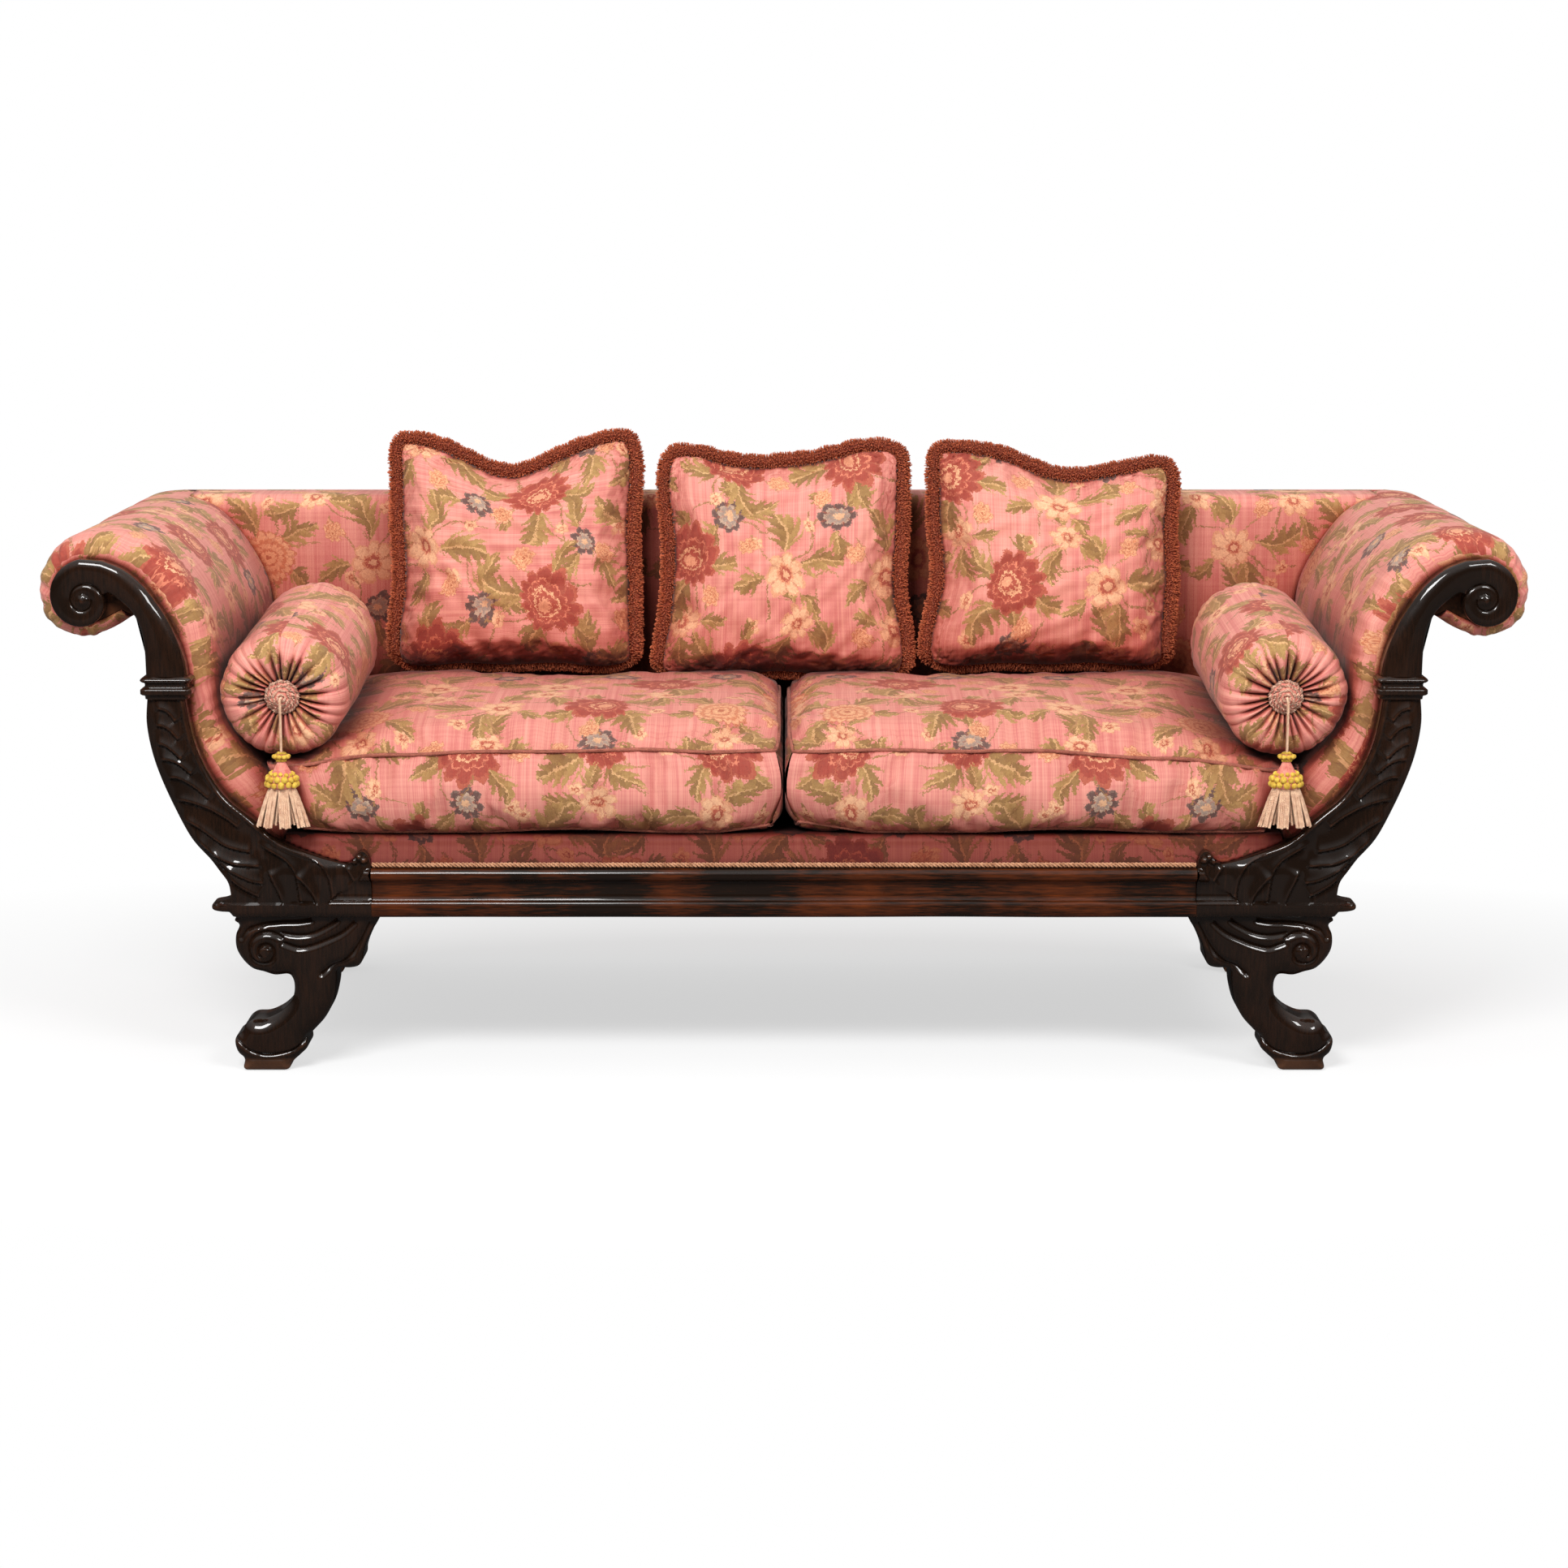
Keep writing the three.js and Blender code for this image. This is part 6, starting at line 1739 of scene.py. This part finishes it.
def pillow(kind, seed):
    placed = pillow_frame(kind)
    t = np.linspace(-1, 1, 85)
    line = np.sign(t) * (1 - (1 - np.abs(t)) ** 1.3)
    u, v = np.meshgrid(line, line)
    x, z = pillow_spot(kind, u, v)
    foot = np.where(v < 0, np.abs(v) ** 6, v * v)
    swell = (np.maximum(0, (1 - u * u) * (1 - foot))) ** 0.45
    half = PILLOW_SEAM / 2 * 0.4 + (60 * MM - PILLOW_SEAM / 2) * swell
    radial = waves(seed, 10, 0.05, 0.2)
    edge = np.clip(1 - np.maximum(np.abs(u), np.abs(v)), 0, 1)
    pucker = 2.6 * MM * np.exp(-edge / 0.14) * (1 - np.exp(-edge / 0.02))
    dent_share, dent_at = PILLOWS[kind][2:4]
    chop = np.exp(-(((u - dent_at) / 0.16) ** 2)) * step(-0.1, 1, v) * dent_share / 0.2
    sag = 6 * MM * swell * step(-0.5, -0.97, v)
    patches = []
    for facing in (-1, 1):
        y = facing * (half - 12 * MM * chop * swell)
        ripple = radial(u * 0.6, v * 0.6 + facing)
        y = y + facing * (2.4 * MM * ripple * swell + pucker * radial(u * 4, v * 4))
        y = np.where(edge <= 0, 0, y)
        grid = placed(spread(x, y, z - sag))
        place = spread(u * PILLOW_WIDTH / 2, v * PILLOW_HEIGHT / 2)
        if kind == "left":
            place = place[..., ::-1]
        patches.append((grid, place + (0.37 * seed, 0.61 * seed + 0.2 * facing)))
    cover = from_patches("pillow_cover_" + kind, patches, "floral_cloth")
    border = np.concatenate([grid[0], grid[-1], grid[:, 0], grid[:, -1]])
    filled(cover, border, PILLOW_GIVE)
    return cover


def closed(rings):
    """A grid from rings that closes both ways."""
    grid = np.array(rings + rings[:1]).transpose(1, 0, 2)
    return np.concatenate([grid, grid[:1]])


def pillow_fringe(kind, seed):
    """A round cut-pile fringe, folded back where the pillow stands on it."""
    placed = pillow_frame(kind)
    width = settings().trim.fringe_width
    corners = [(-1, -1), (1, -1), (1, 1), (-1, 1)]
    line = []
    for (u0, v0), (u1, v1) in zip(corners, corners[1:] + corners[:1]):
        for share in np.linspace(0, 1, 60, endpoint=False):
            u, v = u0 + (u1 - u0) * share, v0 + (v1 - v0) * share
            line.append(pillow_spot(kind, u, v) + (v,))
    line = even(np.array(line), 5 * MM, loop=True)
    foot = step(-0.86, -1, line[:, 2])
    line = line[:, :2]
    along = unit(np.roll(line, -1, axis=0) - np.roll(line, 1, axis=0))
    out = spread(along[:, 1], 0, -along[:, 0])
    for _ in range(6):
        out = unit(out + np.roll(out, 1, axis=0) + np.roll(out, -1, axis=0))
        foot = (foot + np.roll(foot, 1) + np.roll(foot, -1)) / 3
    out = unit(out * (1 - foot[:, None]) + foot[:, None] * np.array([0, 0.8, -0.6]))
    thick = unit(np.cross(spread(along[:, 0], 0, along[:, 1]), out))
    base = spread(line[:, 0], 3 * MM * foot, line[:, 1] + 3 * MM * foot)
    lump = waves(seed + 70, 8, 0.018, 0.05)
    around = np.arange(len(line)) * 5 * MM
    core = width * 0.8 * (1 + 0.07 * lump(around, 0 * around))[:, None]
    rings, away = [], []
    for angle in np.linspace(-0.93 * math.pi, 0.93 * math.pi, 15):
        reach = (1 + math.cos(angle)) / 2
        across = 7.2 * MM * math.sin(angle) * (1 - 0.35 * (1 - reach) ** 2)
        across = across * (1 - 0.45 * foot[:, None])
        rings.append(placed(base + out * core * reach + thick * across))
        lean = out * (0.35 + 0.75 * math.cos(angle)) + thick * math.sin(angle)
        away.append(placed(lean) - placed(np.zeros(3)))
    grid, vectors = closed(rings), closed(away)
    thing = from_patches(
        "pillow_fringe_" + kind, [(grid, flat_place(grid))], "fringe_yarn", weld=0)
    marks = thing.data.attributes.new("outward", "FLOAT_VECTOR", "POINT")
    marks.data.foreach_set("vector", vectors.astype(np.float32).ravel())
    return grown(
        thing, "tufts", density=settings().trim.fringe_density,
        length=width * 0.24, radius=0.95 * MM, spread=0.34, seed=seed,
        material=MADE["fringe_yarn"])


def make_pillows():
    for seed, kind in enumerate(PILLOWS, 3):
        body = "pillow_" + kind
        fit_piece(pillow(kind, seed), body, [body])
        fit_piece(pillow_fringe(kind, seed), body, [body + "_fringe"])


# Bolsters, their rosettes and tassels.

BOLSTER_RISE = math.radians(4)
BOLSTER_HALF = 220 * MM
PLEATS = 26
TASSEL_CORD = 5 * MM


def bolster_frame():
    """Places points given across, above and along the bolster from its middle."""
    low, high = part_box("bolster_right")
    centre = np.array((low + high) / 2)
    cosine, sine = math.cos(BOLSTER_RISE), math.sin(BOLSTER_RISE)

    def placed(across, height, depth):
        return centre + spread(
            across, depth * cosine - height * sine, height * cosine + depth * sine)
    return placed


def bolsters():
    placed = bolster_frame()
    angle = np.linspace(0, TAU, 365)
    dice = np.random.default_rng(12)
    marks = np.cumsum(dice.uniform(0.65, 1.45, PLEATS))
    pleat = np.interp(angle / TAU, np.append(0, marks / marks[-1]), np.arange(PLEATS + 1))
    deep = np.interp(angle / TAU, np.linspace(0, 1, PLEATS + 1),
                     np.append(dice.uniform(0.45, 1.4, PLEATS), 1))
    deep[-1] = deep[0]
    end = spline([(0.0, 11), (12, 11), (22, 9.5), (34, 1), (50, -6), (66, -7), (80, -2), (90, 6),
                  (96, 17), (98.5, 32)], 60) * MM
    middle = np.stack([
        np.interp(np.linspace(0, 1, 34), [0, 0.5, 1], [98.5 * MM, 100 * MM, 98.5 * MM]),
        np.linspace(32 * MM, 2 * BOLSTER_HALF - 32 * MM, 34)], 1)[1:-1]
    rear = end[::-1].copy()
    rear[:, 1] = 2 * BOLSTER_HALF - rear[:, 1]
    profile = np.concatenate([end, middle, rear])
    soft = waves(8, 9, 0.12, 0.4)
    r, depth = profile[:, :1], profile[:, 1:]
    near = np.minimum(depth, 2 * BOLSTER_HALF - depth)
    crease = (1 - np.abs(np.sin(math.pi * pleat)) ** 0.5) * deep
    on_end = step(10 * MM, 26 * MM, r) * (1 - step(46 * MM, 90 * MM, r))
    sunk = np.where(depth < BOLSTER_HALF, 1, -1) * 15 * MM * crease * on_end
    shoulder = np.exp(-near / (30 * MM)) * step(60 * MM, 90 * MM, r)
    lumps = soft(np.sin(angle) * 0.3, depth + np.cos(angle) * 0.3) * step(60 * MM, 95 * MM, r)
    reach = np.clip(r - 4.6 * MM * crease * shoulder + 1.1 * MM * lumps, 0, 101 * MM)
    grid = placed(reach * np.sin(angle), reach * np.cos(angle), depth + sunk - BOLSTER_HALF)
    place = spread(angle * 97 * MM + 0.3, lengths(profile)[:, None] + 0.05)
    thing = from_patches("bolster_cover_right", [(grid, place)], "floral_cloth")
    return pair(thing, "bolster_cover_left", (0.29, 0.17))


def rosettes(which):
    """A knotted rosette: rings of cord round a small knob."""
    placed = bolster_frame()
    base = BOLSTER_HALF - 10 * MM + FIT
    sign = -1 if which == "front" else 1
    angle = np.linspace(0, TAU, 72, endpoint=False)
    things = []
    for reach, height, thick, count in (
            (24.2, 4.5, 4.0, 12), (18.2, 8.2, 4.0, 9), (12.0, 11.0, 3.6, 6), (5.6, 12.8, 3.1, 3)):
        wave = 1 + 0.06 * np.sin(angle * count)
        lift = height + 1.2 * np.cos(angle * count)
        line = placed(reach * MM * wave * np.sin(angle), reach * MM * wave * np.cos(angle),
                      sign * (base + lift * MM))
        things.append(rope(
            f"rosette_{which}_ring", [line], thick * MM, "rosette_yarn", 3, 8 * MM, loop=True,
            sides=6))
    disc = np.array(((0, 0), (25, 0), (26, 3), (20, 8), (13, 11), (5, 13), (0, 13.5))) * MM
    reach, height, turn = disc[:, :1], disc[:, 1:], np.linspace(0, TAU, 41)
    grid = placed(reach * np.sin(turn), reach * np.cos(turn), sign * (base + height))
    things.append(from_patches(
        "rosette_core", [(grid, flat_place(grid))], "blush_yarn"))
    thing = joined(things, f"rosette_{which}_knot_right")
    return [thing, mirrored(thing, f"rosette_{which}_knot_left")]


def tassel_cord():
    """The cord's path out of the button, round its bend and down into the head, and its end."""
    low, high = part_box("tassel_cord_right")
    start = Vector(((low.x + high.x) / 2, high.y, high.z - TASSEL_CORD / 2))
    out, bend, drop, hidden = 5 * MM, 9 * MM, 81 * MM, 30 * MM
    angles = [k / 6 * math.pi / 2 for k in range(1, 7)]
    path = [(0, 0), (-out, 0)]
    path += [(-out - bend * math.sin(a), -bend * (1 - math.cos(a))) for a in angles]
    path += [(-out - bend, -bend - (drop + hidden - bend) * k / 12) for k in range(1, 13)]
    return [start + Vector((0, y, z)) for y, z in path], start - Vector((0, out + bend, drop))


def tassel_parts():
    """The crown, ruff and skirt of a tassel, under the end of its cord."""
    path, end = tassel_cord()
    end = np.array(end)
    dice = np.random.default_rng(5)

    def around(radius, drop, angle, squeeze=0.74):
        return end + spread(radius * np.cos(angle), squeeze * radius * np.sin(angle), -drop)

    angle = np.linspace(0, TAU, 48, endpoint=False)
    crown = []
    for radius, drop, thick in ((5.2, 2.5, 3.2), (9.2, 7.4, 3.9), (6.2, 13, 3.0)):
        crown.append(rope(
            "crown", [around(radius * MM, drop * MM, angle)], thick * MM, "gold_yarn", 3, 8 * MM,
            loop=True, sides=6))
    spots = np.linspace(0, TAU, 9, endpoint=False)
    crown.append(balls("crown_knots", around(11.2 * MM, 7.4 * MM, spots), [3.6 * MM] * 9,
                       "gold_yarn"))
    profile = spline(
        [(0, 1), (5.5, 2), (7.4, 8), (6.0, 15), (8.5, 21), (12, 28), (15, 33), (20, 40), (21, 50),
         (17, 57), (0, 57.6)], 50) * MM
    turn = np.linspace(0, TAU, 97)
    grid = around(np.maximum(profile[:, :1], 0) * (1 + 0.05 * np.cos(24 * turn)),
                  profile[:, 1:], turn)
    crown.append(from_patches("neck", [(grid, flat_place(grid))], "blush_yarn"))
    for row, (radius, drop, size, count) in enumerate((
            (17.0, 34.5, 3.8, 12), (21.6, 41.5, 5.2, 12), (22.2, 50.5, 5.2, 12))):
        spots = np.linspace(0, TAU, count, endpoint=False) + row * 0.24
        centres = around(radius * MM, drop * MM, spots)
        centres[:, 2] += dice.uniform(-0.9, 0.9, count) * MM
        crown.append(balls("ruff", centres, dice.uniform(0.82, 1.14, count) * size * MM,
                           "gold_yarn", (1, 0.85, 1.05)))
    head = joined(crown, "tassel_crown_right")

    strands = settings().trim.strands
    groups = 9
    lines = []
    for k in range(strands):
        spot = TAU * (k + dice.uniform(-0.25, 0.25)) / strands
        middle = (math.floor(spot / TAU * groups) + 0.5) * TAU / groups
        low_reach = dice.uniform(0.93, 1.03) * 40 * MM
        drop = dice.uniform(0.96, 1.01) * 62 * MM
        t = np.linspace(0, 1, 9)
        reach = 18 * MM + (low_reach - 18 * MM) * t ** 0.85
        bent = spot - (spot - middle) * 0.42 * t ** 0.7
        lines.append(around(reach, 55 * MM + drop * t, bent, 0.55))
    for k in range(strands // 2):
        spot = TAU * (k + 0.5) / (strands // 2)
        t = np.linspace(0, 1, 7)
        reach = 10 * MM + 18 * MM * t
        lines.append(around(reach, 55 * MM + 58 * MM * t, spot, 0.5))
    skirt = rope("tassel_threads_right", lines, 2.3 * MM, "tassel_yarn", 2, 8 * MM, sides=6,
                 spacing=2.2 * MM)
    return path, head, skirt


def make_bolsters():
    ride_pair(bolsters(), "bolster_{}", ["bolster_{}"])
    for which in ("front", "rear"):
        ride_pair(rosettes(which), "bolster_{}", ["rosette_" + which + "_{}"])


def make_tassels():
    path, head, skirt = tassel_parts()
    crowns, skirts = pair(head, "tassel_crown_left"), pair(skirt, "tassel_threads_left")
    for (side, sign), crown, threads in zip(SIDES, crowns, skirts):
        line = [Vector((sign * p.x, p.y, p.z)) for p in path]
        cord = rope(
            "tassel_rope_" + side, [even([p[:] for p in line], 2 * MM)], 2.4 * MM, "tassel_yarn",
            3, 9 * MM, sides=7)
        fit_piece(cord, "tassel_" + side, ["tassel_cord_" + side])
        fit_piece(crown, "tassel_" + side, ["tassel_head_" + side])
        fit_piece(threads, "tassel_" + side, ["tassel_skirt_" + side])
        whole = sum((b - a).length for a, b in zip(line, line[1:]))
        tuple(line[0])


# The view.


def make_camera():
    data = bpy.data.cameras.new("view")
    data.lens = 73.4
    data.sensor_width = 36
    camera = bpy.context.scene.camera = linked("view", data)
    camera.location = (0, -5.191, 1.388)
    camera.rotation_euler = (math.radians(90 - 10.85), 0, 0)


def grey(value):
    return (value, value, value, 1)


def ray(t, kind):
    return t.add("ShaderNodeLightPath", out=f"Is {kind} Ray")


# How light the backdrop is by height, from under to over: for its soft light, and in the polish.
SOFT_SKY = ((0.0, 0.16), (0.5, 0.24), (0.75, 0.4), (1.0, 0.5))
CRISP_SKY = ((0.0, 0.01), (0.6, 0.03), (0.8, 0.5), (1.0, 0.9))
FLOOR_HALF = 14.0
LAMPS = (  # name, watts, place, width, height
    ("key", 184, (-1.35, -3.3, 3.6), 2.0, 1.2),
    ("fill", 98, (2.4, -3.3, 3.3), 1.6, 1.0),
    ("top", 4, (0, 0.2, 3.0), 3.6, 1.0),
)
LAMPS_AIM = Vector((0, 0, 0.5))


def make_stage():
    scene = bpy.context.scene
    scene.view_settings.view_transform = "Standard"
    world = scene.world = bpy.data.worlds.new("studio")
    world.use_nodes = True
    t = Tree(world.node_tree)
    high = t.add("ShaderNodeNewGeometry", out="Incoming").split()[2].clamped(-0.5, 0.5)
    soft, crisp = (
        t.ramp(high, [(at, grey(light)) for at, light in sky]) for sky in (SOFT_SKY, CRISP_SKY))
    seen = t.math("MAXIMUM", ray(t, "Camera"), ray(t, "Transmission"))
    t.fill(world.node_tree.nodes["Background"],
           Color=t.mix(seen, t.mix(ray(t, "Glossy"), soft, crisp), grey(1)))

    # The floor takes the sofa's shadow near it, and is seen as white all round.
    t, shader = principled("floor", Roughness=0.9, Specular_IOR_Level=0.0)
    seen = ray(t, "Camera")
    bounced = t.mix(ray(t, "Glossy"), (0.42, 0.4, 0.39, 1), grey(0.1))
    t.fill(shader, Base_Color=t.mix(seen, bounced, grey(0.93)))
    spot = t.vector("MULTIPLY", t.add("ShaderNodeNewGeometry", out="Position"), (0.5, 1.0, 0))
    far = t.add("ShaderNodeVectorMath", [spot], "Value", operation="LENGTH").clamped(1.5, -0.8)
    mixed = t.add("ShaderNodeMixShader", [
        seen * (far * 0.4 + 0.6), Value(t, shader.outputs[0]),
        t.add("ShaderNodeEmission", {"Color": grey(1)})])
    t.fill(MADE["floor"].node_tree.nodes["Material Output"], Surface=mixed)
    mesh = bpy.data.meshes.new("floor")
    corners = ((-1, -1), (1, -1), (1, 1), (-1, 1))
    mesh.from_pydata([(FLOOR_HALF * x, FLOOR_HALF * y, 0) for x, y in corners], [],
                     [(0, 1, 2, 3)])
    mesh.materials.append(MADE["floor"])
    floor = linked("floor", mesh)

    for name, energy, place, width, height in LAMPS:
        data = bpy.data.lights.new(name, "AREA")
        data.shape = "RECTANGLE"
        data.energy, data.size, data.size_y = energy, width, height
        thing = linked(name, data)
        thing.location = place
        thing.rotation_euler = (LAMPS_AIM - thing.location).to_track_quat("-Z", "Y").to_euler()


class SofaOperator:
    """What the sofa's operators share."""
    bl_options = {"REGISTER", "UNDO"}

    def execute(self, context):
        if not frame["nodes"]:
            raise RuntimeError("The frame isn't loaded, so there is nothing to build on")
        self.build()
        return {"FINISHED"}


class SOFA_OT_camera(SofaOperator, bpy.types.Operator):
    """Place the camera"""
    bl_idname = "sofa.camera"
    bl_label = "Camera"
    build = staticmethod(make_camera)


class SOFA_OT_materials(SofaOperator, bpy.types.Operator):
    """Make the cloths, yarns and woods, and the trees for cords and tufts"""
    bl_idname = "sofa.materials"
    bl_label = "Materials"
    build = staticmethod(make_materials)


class SOFA_OT_tassels(SofaOperator, bpy.types.Operator):
    """Hang the tassels on their cords"""
    bl_idname = "sofa.tassels"
    bl_label = "Tassels"
    build = staticmethod(make_tassels)


class SOFA_OT_woodwork(SofaOperator, bpy.types.Operator):
    """Carve the scrolls, collars, stumps, legs and rail, and finish the hidden frame"""
    bl_idname = "sofa.woodwork"
    bl_label = "Woodwork"
    build = staticmethod(make_woodwork)


class SOFA_OT_upholstery(SofaOperator, bpy.types.Operator):
    """Cover the arms, the back and the seat's platform"""
    bl_idname = "sofa.upholstery"
    bl_label = "Upholstery"
    build = staticmethod(make_upholstery)


class SOFA_OT_cushions(SofaOperator, bpy.types.Operator):
    """Stuff the two seat cushions"""
    bl_idname = "sofa.cushions"
    bl_label = "Seat cushions"
    build = staticmethod(make_cushions)


class SOFA_OT_pillows(SofaOperator, bpy.types.Operator):
    """Stuff and fringe the three pillows"""
    bl_idname = "sofa.pillows"
    bl_label = "Pillows"
    build = staticmethod(make_pillows)


class SOFA_OT_bolsters(SofaOperator, bpy.types.Operator):
    """Gather the bolsters round their rosettes"""
    bl_idname = "sofa.bolsters"
    bl_label = "Bolsters"
    build = staticmethod(make_bolsters)


class SOFA_OT_stage(SofaOperator, bpy.types.Operator):
    """Set the floor, the backdrop and the lights"""
    bl_idname = "sofa.stage"
    bl_label = "Stage"
    build = staticmethod(make_stage)


OPERATORS = (
    SOFA_OT_camera, SOFA_OT_materials, SOFA_OT_tassels, SOFA_OT_woodwork, SOFA_OT_upholstery,
    SOFA_OT_cushions, SOFA_OT_pillows, SOFA_OT_bolsters, SOFA_OT_stage,
)


class SOFA_PT_panel(bpy.types.Panel):
    """The sofa's settings and steps, in the sidebar"""
    bl_label = "Sofa"
    bl_idname = "SOFA_PT_panel"
    bl_space_type = "VIEW_3D"
    bl_region_type = "UI"
    bl_category = "Sofa"

    def draw(self, context):
        own = context.scene.sofa
        for group in (own.cloth, own.trim, own.wood):
            box = self.layout.box()
            for key in group.__annotations__:
                box.prop(group, key)
        for operator in OPERATORS:
            self.layout.operator(operator.bl_idname)


CLASSES = (SofaCloth, SofaTrim, SofaWood, SofaSettings) + OPERATORS + (SOFA_PT_panel,)


def register():
    for each in CLASSES:
        bpy.utils.register_class(each)
    bpy.types.Scene.sofa = PointerProperty(type=SofaSettings)


def unregister():
    del bpy.types.Scene.sofa
    for each in reversed(CLASSES):
        bpy.utils.unregister_class(each)


def main():
    register()
    for operator in OPERATORS:
        group, name = operator.bl_idname.split(".")
        getattr(getattr(bpy.ops, group), name)()


if __name__ == "__main__":
    main()
